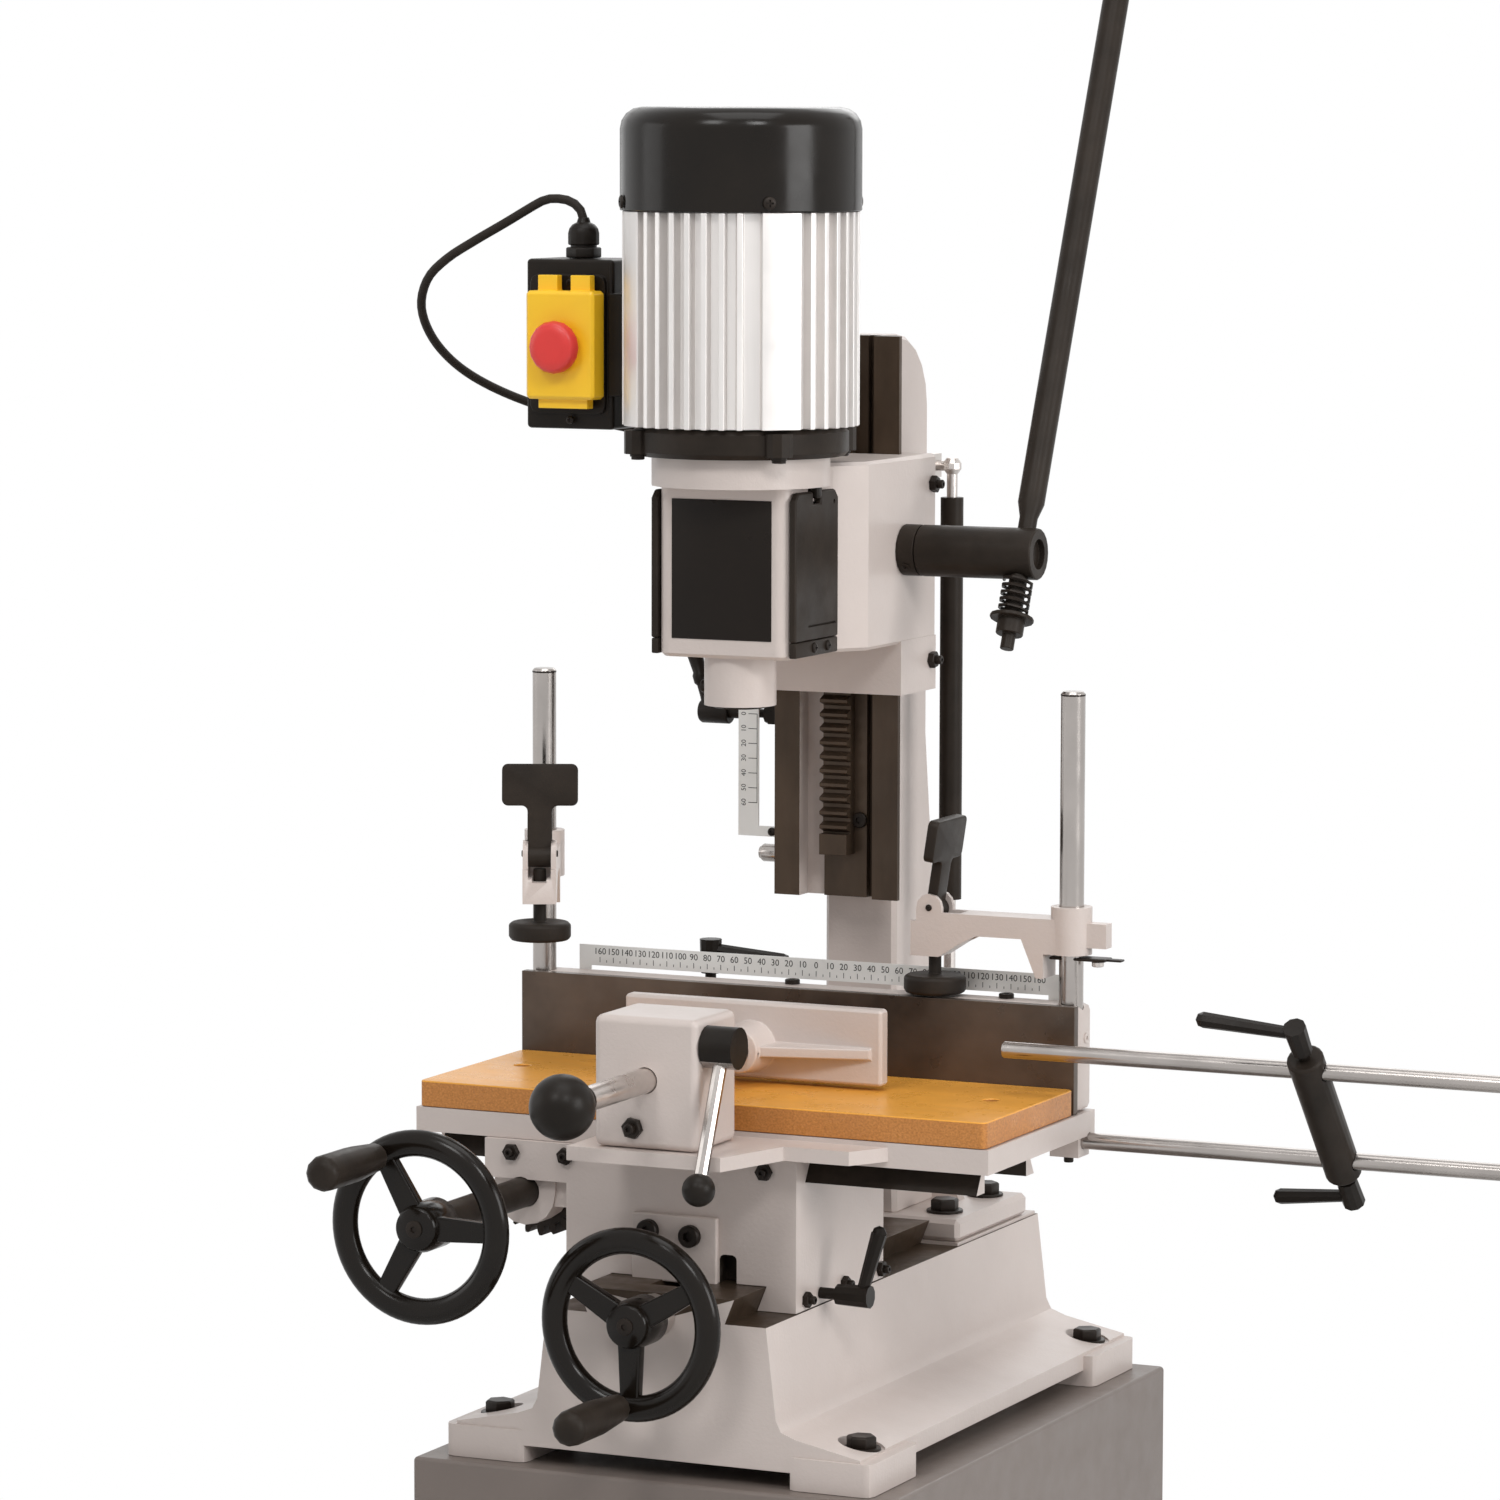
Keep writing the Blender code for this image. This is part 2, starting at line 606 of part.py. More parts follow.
def plate(name, outline, axis, low, high, holes=()):
    """A flat outline made solid between two levels of an axis.

    The outline is (y, z) for X, (x, z) for Y and (x, y) for Z.
    """
    curve = bpy.data.curves.new(name, "CURVE")
    curve.dimensions = "2D"
    curve.fill_mode = "BOTH"
    curve.extrude = (high - low) / 2
    for points in (outline, *holes):
        spline = curve.splines.new("POLY")
        spline.points.add(len(points) - 1)
        for point, (u, v) in zip(spline.points, points):
            point.co = (u, v, 0.0, 1.0)
        spline.use_cyclic_u = True
    holder = bpy.data.objects.new(name, curve)
    bpy.context.scene.collection.objects.link(holder)
    depsgraph = bpy.context.evaluated_depsgraph_get()
    mesh = bpy.data.meshes.new_from_object(holder.evaluated_get(depsgraph))
    bpy.data.objects.remove(holder)
    bm = bmesh.new()
    bm.from_mesh(mesh)
    bpy.data.meshes.remove(mesh)
    bmesh.ops.remove_doubles(bm, verts=bm.verts, dist=1e-6)
    caps = [f for f in bm.faces if abs(f.normal.z) > 0.5 or f.calc_area() < 1e-10]
    inner = [e for e in bm.edges if all(f in caps for f in e.link_faces)]
    bmesh.ops.dissolve_edges(bm, edges=inner, use_verts=False)
    middle = (low + high) / 2
    depth = -middle if axis == "Y" else middle
    place = frame_matrix(axis) @ Matrix.Translation((0, 0, depth))
    bmesh.ops.transform(bm, matrix=place, verts=bm.verts)
    bmesh.ops.recalc_face_normals(bm, faces=bm.faces)
    return smooth(mesh_object(name, bm))


def turned(name, profile, start, direction, steps=ROUND_STEPS):
    """A profile of (radius, distance) turned about the line from start along direction."""
    mesh = bpy.data.meshes.new(name)
    points = [(r, 0.0, s) for r, s in reversed(profile)]
    mesh.from_pydata(points, [(i, i + 1) for i in range(len(points) - 1)], [])
    holder = bpy.data.objects.new(name, mesh)
    mod = holder.modifiers.new("Turn", "SCREW")
    mod.axis = "Z"
    mod.steps = steps
    mod.render_steps = steps
    mod.use_merge_vertices = True
    mod.merge_threshold = 1e-6
    bpy.context.scene.collection.objects.link(holder)
    depsgraph = bpy.context.evaluated_depsgraph_get()
    made = bpy.data.meshes.new_from_object(holder.evaluated_get(depsgraph))
    bpy.data.objects.remove(holder)
    bpy.data.meshes.remove(mesh)
    bm = bmesh.new()
    bm.from_mesh(made)
    bpy.data.meshes.remove(made)
    bmesh.ops.remove_doubles(bm, verts=bm.verts, dist=1e-6)
    turn = Vector(direction).to_track_quat("Z", "Y").to_matrix().to_4x4()
    bmesh.ops.transform(bm, matrix=Matrix.Translation(start) @ turn, verts=bm.verts)
    bmesh.ops.recalc_face_normals(bm, faces=bm.faces)
    return smooth(mesh_object(name, bm))


def boolean(target, other, operation):
    mod = target.modifiers.new(operation.title(), "BOOLEAN")
    mod.object = other
    mod.operation = operation
    mod.solver = "EXACT"
    return target


def cut(target, *others):
    for other in others:
        boolean(target, tool(other), "DIFFERENCE")
    return target


def join(target, *others):
    for other in others:
        boolean(target, tool(other), "UNION")
    return target


def arc(centre, radius, start, end, steps):
    """Points of an arc, both ends included, angles in degrees."""
    points = []
    for i in range(steps + 1):
        angle = radians(start + (end - start) * i / steps)
        points.append((centre[0] + radius * cos(angle), centre[1] + radius * sin(angle)))
    return points


def rounded(low, high, radius, steps=4):
    """A rectangle's outline with round corners."""
    points = []
    for cx, cy, start in ((high[0] - radius, high[1] - radius, 0), (low[0] + radius, high[1] - radius, 90),
                          (low[0] + radius, low[1] + radius, 180), (high[0] - radius, low[1] + radius, 270)):
        points += arc((cx, cy), radius, start, start + 90, steps)
    return points


def pivot(name, place, parent=None):
    """An empty on a joint's axis, which carries the pieces that move with it."""
    empty = bpy.data.objects.new(name, None)
    empty.empty_display_size = CORD_RADIUS * 6
    empty.location = Vector(place)
    machine.objects.link(empty)
    if parent:
        empty.parent = parent
        empty.location = Vector(place) - places[parent.name]
    places[name] = Vector(place)
    return empty


def carry(parent, *objects):
    """Hang pieces on an empty, with their places kept."""
    for obj in objects:
        obj.parent = parent
        obj.matrix_parent_inverse = Matrix.Translation(-places[parent.name])


def involute(base, radius):
    """Angle that an involute from the base circle has turned at a radius."""
    grip = acos(min(1.0, base / radius))
    return tan(grip) - grip


def gear_outline(teeth, module, play, phase):
    """A spur gear's outline; phase is the angle of one tooth's middle."""
    pitch = teeth * module / 2
    base = pitch * cos(PRESSURE_ANGLE)
    tip = pitch + 0.92 * module
    foot = pitch - 1.2 * module
    half_pitch = pi / (2 * teeth) - play / (2 * pitch)
    start = max(base, foot)
    radii = [start + (tip - start) * share for share in (0.0, 0.5, 1.0)]
    offsets = [half_pitch + involute(base, pitch) - involute(base, r) for r in radii]
    points = []
    for tooth in range(teeth):
        middle = phase + 2 * pi * tooth / teeth
        flank = [(foot, offsets[0])] + list(zip(radii, offsets))
        for r, offset in flank:
            points.append((r * cos(middle - offset), r * sin(middle - offset)))
        for r, offset in reversed(flank):
            points.append((r * cos(middle + offset), r * sin(middle + offset)))
    return points


def tooth_row(name, axis, low, high, first, pitch_line, point, count):
    """A row of rack teeth along X or Z, whose tips point down (Y axis) or forwards (X axis).

    first is the middle of the first tooth, and point is the side that the tips are on.
    """
    step = pi * GEAR_MODULE
    half = (step / 2 - TOOTH_PLAY) / 2
    slope = tan(PRESSURE_ANGLE)
    tip, foot = 0.92 * GEAR_MODULE, 1.2 * GEAR_MODULE + ROOT_EMBED / 2
    side = [(first - half - foot * slope, pitch_line - point * foot), (first - half + tip * slope, pitch_line + point * tip),
            (first + half - tip * slope, pitch_line + point * tip), (first + half + foot * slope, pitch_line - point * foot)]
    if axis == "X":
        side = [(v, u) for u, v in side]
    teeth = plate(name, side, axis, low, high)
    mod = teeth.modifiers.new("Row", "ARRAY")
    mod.count = count
    mod.merge_threshold = RUN / 10
    mod.use_relative_offset = False
    mod.use_constant_offset = True
    mod.constant_offset_displace = (0.0, 0.0, step) if axis == "X" else (step, 0.0, 0.0)
    return teeth


def feed_rack_first():
    """Height of the middle of the feed rack's lowest tooth."""
    return FEED_RACK_BOTTOM + FEED_RACK_PLAIN + pi * GEAR_MODULE / 2


def pinion_phase():
    """How far the pinion is turned so that one tooth enters the rack's nearest gap."""
    step = pi * GEAR_MODULE
    first = feed_rack_first()
    gap = first + step * (round((FEED_AXIS_Z - first) / step - 0.5) + 0.5)
    return (gap - FEED_AXIS_Z) / FEED_RADIUS


def smooth_route(points, spacing):
    """Points read at an even spacing from a smooth curve through a cord's route."""
    route = [Vector(p) for p in points]
    ends = [route[0] * 2 - route[1]] + route + [route[-1] * 2 - route[-2]]
    dense = []
    for i in range(1, len(ends) - 2):
        p0, p1, p2, p3 = ends[i - 1:i + 3]
        for k in range(12):
            t = k / 12
            dense.append(0.5 * (2 * p1 + (p2 - p0) * t + (2 * p0 - 5 * p1 + 4 * p2 - p3) * t * t
                                + (3 * p1 - p0 - 3 * p2 + p3) * t ** 3))
    dense.append(route[-1])
    lengths = [0.0]
    for a, b in zip(dense, dense[1:]):
        lengths.append(lengths[-1] + (b - a).length)
    count = max(2, round(lengths[-1] / spacing))
    made, j = [], 0
    for i in range(count + 1):
        want = lengths[-1] * i / count
        while j < len(lengths) - 2 and lengths[j + 1] < want:
            j += 1
        share = (want - lengths[j]) / (lengths[j + 1] - lengths[j])
        made.append(dense[j].lerp(dense[j + 1], share))
    return made, lengths[-1]


def tube(name, points, radius, resolution):
    """A round tube along points, closed at both ends."""
    curve = bpy.data.curves.new(name, "CURVE")
    curve.dimensions = "3D"
    curve.bevel_depth = radius
    curve.bevel_resolution = resolution
    curve.render_resolution_u = 0
    curve.use_fill_caps = True
    spline = curve.splines.new("POLY")
    spline.points.add(len(points) - 1)
    for point, place in zip(spline.points, points):
        point.co = (*place, 1.0)
    return bpy.data.objects.new(name, curve)


# The pieces

def make_cabinet():
    half_x, half_y = CABINET_WIDTH / 2, CABINET_DEPTH / 2
    shell = block("cabinet_shell", (-half_x, -half_y, 0.0), (half_x, half_y, CABINET_HEIGHT))
    bevel(shell, CABINET_WALL, 2)
    inside = block("cabinet_inside", (-half_x + CABINET_WALL, -half_y + CABINET_WALL, CABINET_WALL),
                   (half_x - CABINET_WALL, half_y - CABINET_WALL, CABINET_HEIGHT - CABINET_WALL))
    doorway = block("cabinet_doorway", (-half_x + DOOR_FRAME, -half_y - SPARE, DOOR_FRAME),
                    (half_x - DOOR_FRAME, -half_y + CABINET_WALL + SPARE, CABINET_HEIGHT - DOOR_FRAME))
    keep(cut(shell, inside, doorway), "cabinet_paint")

    left, right = -half_x + DOOR_FRAME + DOOR_GAP, half_x - DOOR_FRAME - DOOR_GAP
    low, high = DOOR_FRAME + DOOR_GAP, CABINET_HEIGHT - DOOR_FRAME - DOOR_GAP
    front = -half_y - DOOR_PROUD
    door = block("cabinet_door", (left, front, low), (right, front + DOOR_PAN, high))
    bevel(door, DOOR_SHEET / 2, 1)
    cut(door, block("door_hollow", (left + DOOR_SHEET, front + DOOR_SHEET, low + DOOR_SHEET),
                    (right - DOOR_SHEET, front + DOOR_PAN + SPARE, high - DOOR_SHEET)))
    knob_x = right - DOOR_FRAME
    knob_z = CABINET_HEIGHT * 0.62
    knob = turned("door_knob", [(0.0, 0.0), (DOOR_KNOB_RADIUS * 0.5, 0.0),
                                (DOOR_KNOB_RADIUS * 0.5, DOOR_KNOB_LENGTH * 0.5),
                                (DOOR_KNOB_RADIUS, DOOR_KNOB_LENGTH * 0.62),
                                (DOOR_KNOB_RADIUS, DOOR_KNOB_LENGTH * 0.85),
                                (DOOR_KNOB_RADIUS * 0.8, DOOR_KNOB_LENGTH), (0.0, DOOR_KNOB_LENGTH)],
                  (knob_x, front + DOOR_SHEET / 2, knob_z), (0, -1, 0), SMALL_STEPS)
    join(door, knob)
    keep(door, "cabinet_paint")
    carry(pivot("door_hinge", (left, front, CABINET_HEIGHT / 2)), door)


def base_outline(inset, floor, top):
    """The base casting's end view: straight walls, then a flare to its side flanges."""
    crease = BASE_Z + BASE_CREASE_HEIGHT
    edge = BASE_Z + BASE_FLANGE_HEIGHT
    right = [(BASE_FLANGE_WIDTH / 2 - inset, floor), (BASE_FLANGE_WIDTH / 2 - inset, edge - inset),
             (BASE_CREASE_WIDTH / 2 + BASE_CREASE_HEIGHT * 0.4 - inset * 0.7, crease - BASE_CREASE_HEIGHT * 0.11 - inset),
             (BASE_CREASE_WIDTH / 2 + BASE_CREASE_HEIGHT * 0.1 - inset, crease - inset * 0.3),
             (BASE_CREASE_WIDTH / 2 - inset, crease + BASE_CREASE_HEIGHT * 0.2),
             (BASE_TOP_WIDTH / 2 - inset, top)]
    return right + [(-x, z) for x, z in reversed(right)]


def make_base():
    low = BASE_Z + BASE_SKIRT_GAP
    base = plate("base_casting", base_outline(0.0, low, LEDGE_Z), "Y", BASE_FRONT, -BASE_FRONT)
    way = [(-CROSS_WAY_ROOT / 2, LEDGE_Z - ROOT_EMBED), (CROSS_WAY_ROOT / 2, LEDGE_Z - ROOT_EMBED),
           (CROSS_WAY_ROOT / 2, LEDGE_Z), (CROSS_WAY_TOP / 2, CROSS_WAY_Z),
           (-CROSS_WAY_TOP / 2, CROSS_WAY_Z), (-CROSS_WAY_ROOT / 2, LEDGE_Z)]
    join(base, plate("cross_way", way, "Y", BASE_FRONT, COLUMN_FOOT_FRONT - FIT))
    pad_edge = BASE_TOP_WIDTH / 2 - FOOT_EDGE / 2
    pad = block("column_pad", (-pad_edge, COLUMN_FOOT_FRONT, LEDGE_Z - ROOT_EMBED),
                (pad_edge, -BASE_FRONT - FOOT_EDGE / 2, LEDGE_Z + BASE_PAD_RISE))
    join(base, pad)
    for side in (-1, 1):
        for end in (-1, 1):
            outer, inner = side * BASE_WIDTH / 2, side * (BASE_WIDTH / 2 - FOOT_WIDTH)
            front, back = end * (BASE_DEPTH / 2 + FOOT_EDGE / 2), end * (BASE_DEPTH / 2 - FOOT_LENGTH)
            foot = plate("foot", rounded((min(outer, inner), min(front, back)), (max(outer, inner), max(front, back)),
                                         FOOT_EDGE * 2, 2), "Z", BASE_Z, BASE_Z + FOOT_HEIGHT)
            join(base, foot)
    hollow = plate("base_hollow", base_outline(BASE_WALL, BASE_Z - SPARE, LEDGE_Z - BASE_WALL), "Y",
                   BASE_FRONT + BASE_WALL, -BASE_FRONT - BASE_WALL)
    feet_keep = BASE_WIDTH / 2 - FOOT_WIDTH
    middle = block("base_middle", (-feet_keep, BASE_FRONT + BASE_WALL, BASE_Z - SPARE),
                   (feet_keep, -BASE_FRONT - BASE_WALL, LEDGE_Z + SPARE))
    cut(base, boolean(hollow, tool(middle), "INTERSECT"))
    trough = block("screw_trough", (-TROUGH_WIDTH / 2, BASE_FRONT + TROUGH_END_WALL, CROSS_WAY_Z - TROUGH_DEPTH),
                   (TROUGH_WIDTH / 2, COLUMN_FOOT_FRONT + SPARE, CROSS_WAY_Z + SPARE))
    bore = rod("screw_bore", (0, BASE_FRONT - SPARE, CROSS_SCREW_Z),
               (0, BASE_FRONT + TROUGH_END_WALL + SPARE, CROSS_SCREW_Z), CROSS_JOURNAL_RADIUS + RUN)
    keep(cut(base, trough, bore), "casting_paint")


def make_column():
    half = COLUMN_WIDTH / 2
    top_bend = arc((COLUMN_BACK - COLUMN_TOP_ROUND, WAY_TOP - COLUMN_TOP_ROUND), COLUMN_TOP_ROUND, 90, 0, 5)
    side = [(WAY_ROOT_Y - ROOT_EMBED, WAY_BOTTOM), (WAY_ROOT_Y - ROOT_EMBED, WAY_TOP)] + top_bend
    side += [(COLUMN_BACK, WAY_BOTTOM + COLUMN_WIDTH * 2), (COLUMN_HEEL, COLUMN_FOOT_TOP - ROOT_EMBED),
             (COLUMN_FOOT_FRONT + COLUMN_WALL, COLUMN_FOOT_TOP - ROOT_EMBED),
             (COLUMN_NECK_FRONT, COLUMN_FOOT_TOP + COLUMN_WIDTH), (COLUMN_NECK_FRONT, WAY_BOTTOM)]
    column = plate("column_casting", side, "X", -half, half)
    bevel(column, COLUMN_WALL / 3, 1, radians(50))
    foot = block("column_foot", (-COLUMN_FOOT_WIDTH / 2, COLUMN_FOOT_FRONT, COLUMN_FOOT_Z),
                 (COLUMN_FOOT_WIDTH / 2, COLUMN_FOOT_FRONT + COLUMN_FOOT_DEPTH, COLUMN_FOOT_TOP))
    join(column, bevel(foot, FOOT_EDGE, 1))
    for turn in (-1, 1):
        gusset = [(turn * (half - ROOT_EMBED), COLUMN_FOOT_TOP + COLUMN_WIDTH * 0.8),
                  (turn * (half - ROOT_EMBED), COLUMN_FOOT_TOP - ROOT_EMBED),
                  (turn * (half + COLUMN_WIDTH * 0.42), COLUMN_FOOT_TOP - ROOT_EMBED)]
        middle = COLUMN_FOOT_FRONT + COLUMN_FOOT_DEPTH * 0.62
        join(column, plate("column_gusset", gusset, "Y", middle - COLUMN_WALL / 2, middle + COLUMN_WALL / 2))
    slab = [(-WAY_WIDTH / 2, WAY_FRONT), (WAY_WIDTH / 2, WAY_FRONT), (WAY_WIDTH / 2, WAY_FRONT + WAY_LAND_DEPTH),
            (WAY_ROOT_WIDTH / 2, WAY_ROOT_Y), (-WAY_ROOT_WIDTH / 2, WAY_ROOT_Y),
            (-WAY_WIDTH / 2, WAY_FRONT + WAY_LAND_DEPTH)]
    join(column, plate("column_way", slab, "Z", WAY_BOTTOM, WAY_TOP))
    channel = block("way_channel", (-WAY_CHANNEL_WIDTH / 2, WAY_FRONT - SPARE, WAY_BOTTOM - SPARE),
                    (WAY_CHANNEL_WIDTH / 2, WAY_FRONT + WAY_CHANNEL_DEPTH, WAY_TOP + SPARE))
    cut(column, channel)
    pad = block("rack_pad", (-RACK_PAD_LEFT, RACK_BACK_Y + FIT, WAY_BOTTOM),
                (RACK_PAD_RIGHT, WAY_FRONT + WAY_CHANNEL_DEPTH + ROOT_EMBED, WAY_TOP))
    join(column, pad)
    inner = half - COLUMN_WALL
    pocket = [(COLUMN_NECK_FRONT + COLUMN_WALL, COLUMN_FOOT_TOP + COLUMN_WALL * 2),
              (COLUMN_HEEL + SPARE * 2, COLUMN_FOOT_TOP + COLUMN_WALL * 2),
              (COLUMN_BACK + COLUMN_WIDTH, WAY_BOTTOM), (COLUMN_BACK + COLUMN_WIDTH, CABLE_LUG_HEIGHT - COLUMN_WIDTH),
              (COLUMN_NECK_FRONT + COLUMN_WALL, CABLE_LUG_HEIGHT - COLUMN_WIDTH)]
    cut(column, plate("column_pocket", pocket, "X", -inner, inner))
    cord_x, cord_y, _ = CORD_FREE_ROUTE[-1]
    hole = CORD_RADIUS + CABLE_LUG_ROOM
    lug_reach = hole + CABLE_LUG_WALL
    lug = block("cable_lug", (cord_x - lug_reach, COLUMN_BACK - COLUMN_WALL, CABLE_LUG_HEIGHT - CABLE_LUG_LENGTH / 2),
                (-half + ROOT_EMBED, cord_y + lug_reach, CABLE_LUG_HEIGHT + CABLE_LUG_LENGTH / 2))
    join(column, lug)
    cord_bore = rod("cable_bore", (cord_x, cord_y, CABLE_LUG_HEIGHT - CABLE_LUG_LENGTH),
                    (cord_x, cord_y, CABLE_LUG_HEIGHT + CABLE_LUG_LENGTH), hole, steps=SMALL_STEPS)
    cut(column, cord_bore)
    strut_lug = rod("strut_lug", (half - ROOT_EMBED, STRUT_Y, STRUT_FOOT_Z),
                    (STRUT_X - STRUT_BALL_RADIUS - FIT, STRUT_Y, STRUT_FOOT_Z), STRUT_BALL_RADIUS,
                    steps=SMALL_STEPS)
    keep(join(column, strut_lug), "casting_paint")

    step = pi * GEAR_MODULE
    first = feed_rack_first()
    top = first + step * (FEED_RACK_TEETH - 0.5)
    width = FEED_RACK_WIDTH / 2
    low = first - step / 2 - FEED_RACK_PLAIN
    rack = block("feed_rack", (-width, RACK_PITCH_Y + 1.2 * GEAR_MODULE, low), (width, RACK_BACK_Y, top))
    plain = block("rack_end", (-width, RACK_TIP_Y, low), (width, RACK_BACK_Y - ROOT_EMBED, low + FEED_RACK_PLAIN))
    teeth = tooth_row("rack_teeth", "X", -width, width, first, RACK_PITCH_Y, -1, FEED_RACK_TEETH)
    keep(join(rack, teeth, plain), "machined_iron")

    left = -WAY_WIDTH / 2 - SCALE_LEFT
    foot_high = SCALE_BOTTOM + SCALE_FOOT_HEIGHT
    shape = [(left, SCALE_BOTTOM), (-WAY_WIDTH / 2 - FIT, SCALE_BOTTOM), (-WAY_WIDTH / 2 - FIT, foot_high),
             (left + SCALE_WIDTH, foot_high), (left + SCALE_WIDTH, SCALE_TOP), (left, SCALE_TOP)]
    front = WAY_FRONT + SCALE_SETBACK
    scale = plate("depth_scale", shape, "Y", front, front + SCALE_THICKNESS)
    keep(scale, "scale_plate")


def make_head():
    half = HEAD_BOX_WIDTH / 2
    box_front, box_back = SPINDLE_Y - HEAD_BOX_FRONT, SPINDLE_Y + HEAD_BOX_BACK
    front = arc((-half + HEAD_BOX_ROUND, box_front + HEAD_BOX_ROUND), HEAD_BOX_ROUND, 180, 270, 3)
    front += arc((half - HEAD_BOX_ROUND, box_front + HEAD_BOX_ROUND), HEAD_BOX_ROUND, 270, 360, 3)
    plan = front + [(half, box_back), (HEAD_X, HEAD_BLOCK_FRONT), (HEAD_X, HEAD_BLOCK_BACK),
                    (-HEAD_X, HEAD_BLOCK_BACK), (-HEAD_X, HEAD_BLOCK_FRONT), (-half, box_back)]
    head = plate("head_casting", plan, "Z", HEAD_STEP_Z, HEAD_BLOCK_TOP)
    bevel(head, HEAD_BOX_ROUND / 4, 1, radians(60))
    lower = block("slide_lower", (-HEAD_X, HEAD_STEP_Y, HEAD_BLOCK_BOTTOM),
                  (HEAD_X, HEAD_BLOCK_BACK, HEAD_STEP_Z + ROOT_EMBED))
    collar = rod("motor_collar", (0, SPINDLE_Y, HEAD_COLLAR_BOTTOM), (0, SPINDLE_Y, HEAD_COLLAR_TOP),
                 HEAD_COLLAR_RADIUS)
    boss = rod("chisel_boss", (0, SPINDLE_Y, HEAD_STEP_Z - CHISEL_BOSS_LENGTH),
               (0, SPINDLE_Y, HEAD_STEP_Z + HEAD_WALL), CHISEL_BOSS_RADIUS)
    join(head, lower, collar, boss)

    window = block("chuck_window", (-half - SPARE, box_front + HEAD_WALL, HEAD_WINDOW_BOTTOM),
                   (half + SPARE, box_back - HEAD_WALL, HEAD_WINDOW_TOP))
    bore = rod("motor_bore", (0, SPINDLE_Y, HEAD_WINDOW_TOP - SPARE), (0, SPINDLE_Y, HEAD_COLLAR_TOP + SPARE),
               HEAD_BORE_RADIUS)
    chisel_bore = rod("chisel_bore", (0, SPINDLE_Y, HEAD_STEP_Z - CHISEL_BOSS_LENGTH - SPARE),
                      (0, SPINDLE_Y, HEAD_WINDOW_BOTTOM + SPARE), CHISEL_BORE_RADIUS, steps=SMALL_STEPS)
    low, high = HEAD_BLOCK_BOTTOM - SPARE, HEAD_COLLAR_TOP + SPARE
    side, land = WAY_WIDTH / 2 + RUN, WAY_FRONT + WAY_LAND_DEPTH
    slide = [(-side, WAY_FRONT - RUN), (side, WAY_FRONT - RUN), (side, land + RUN),
             (WAY_ROOT_WIDTH / 2 + RUN * 2, WAY_ROOT_Y + RUN), (WAY_ROOT_WIDTH / 2 + RUN * 2, HEAD_BLOCK_BACK + SPARE),
             (-WAY_ROOT_WIDTH / 2 - RUN * 2, HEAD_BLOCK_BACK + SPARE), (-WAY_ROOT_WIDTH / 2 - RUN * 2, WAY_ROOT_Y + RUN),
             (-side, land + RUN)]
    way_slot = plate("way_slot", slide, "Z", low, high)
    room = FEED_RACK_WIDTH / 2 + RUN * 2
    rack_slot = block("rack_slot", (-room, RACK_TIP_Y - RUN * 2, low), (room, WAY_FRONT + SPARE, high))
    tip = FEED_RADIUS + GEAR_MODULE + RUN * 2
    pinion_room = rod("pinion_room", (-room, FEED_AXIS_Y, FEED_AXIS_Z), (room, FEED_AXIS_Y, FEED_AXIS_Z), tip)
    shaft_bore = rod("shaft_bore", (-HEAD_X - SPARE, FEED_AXIS_Y, FEED_AXIS_Z),
                     (HEAD_X + SPARE, FEED_AXIS_Y, FEED_AXIS_Z), FEED_SHAFT_RADIUS + RUN)
    bar_x = -WAY_WIDTH / 2 - STOP_COLLAR_RADIUS
    bar_room = block("stop_bar_room", (bar_x - STOP_BAR_WIDTH / 2 - RUN, STOP_AXIS_Y - STOP_BAR_DEPTH / 2 - RUN, low),
                     (bar_x + STOP_BAR_WIDTH / 2 + RUN, STOP_AXIS_Y + STOP_BAR_DEPTH / 2 + RUN, STOP_BAR_TOP + RUN))
    scale_right = -WAY_WIDTH / 2 - SCALE_LEFT + SCALE_WIDTH
    scale_room = block("scale_room", (-HEAD_X - SPARE, WAY_FRONT + SCALE_SETBACK - RUN * 3, low),
                       (scale_right + RUN * 2, HEAD_BLOCK_BACK + SPARE, high))
    cut(head, window, bore, chisel_bore, way_slot, rack_slot, pinion_room, shaft_bore, bar_room, scale_room)
    keep(head, "casting_paint")

    for side_name, sign in (("right", 1), ("left", -1)):
        make_guard("guard_" + side_name, sign)

    shaft_start = (0, SPINDLE_Y, CHUCK_TOP - CHUCK_LENGTH)
    chuck_profile = [(0.0, -CHUCK_NOSE_LENGTH), (CHUCK_NOSE_RADIUS, -CHUCK_NOSE_LENGTH),
                     (CHUCK_RADIUS * 0.86, 0.0), (CHUCK_RADIUS, CHUCK_LENGTH * 0.12),
                     (CHUCK_RADIUS, CHUCK_LENGTH * 0.9), (CHUCK_RADIUS * 0.9, CHUCK_LENGTH),
                     (SHAFT_RADIUS, CHUCK_LENGTH), (SHAFT_RADIUS, COWL_Z + COWL_HEIGHT / 3 - shaft_start[2]),
                     (0.0, COWL_Z + COWL_HEIGHT / 3 - shaft_start[2])]
    chuck = turned("motor_shaft_chuck", chuck_profile, shaft_start, (0, 0, 1))
    keep(chuck, "bright_steel")
    return head


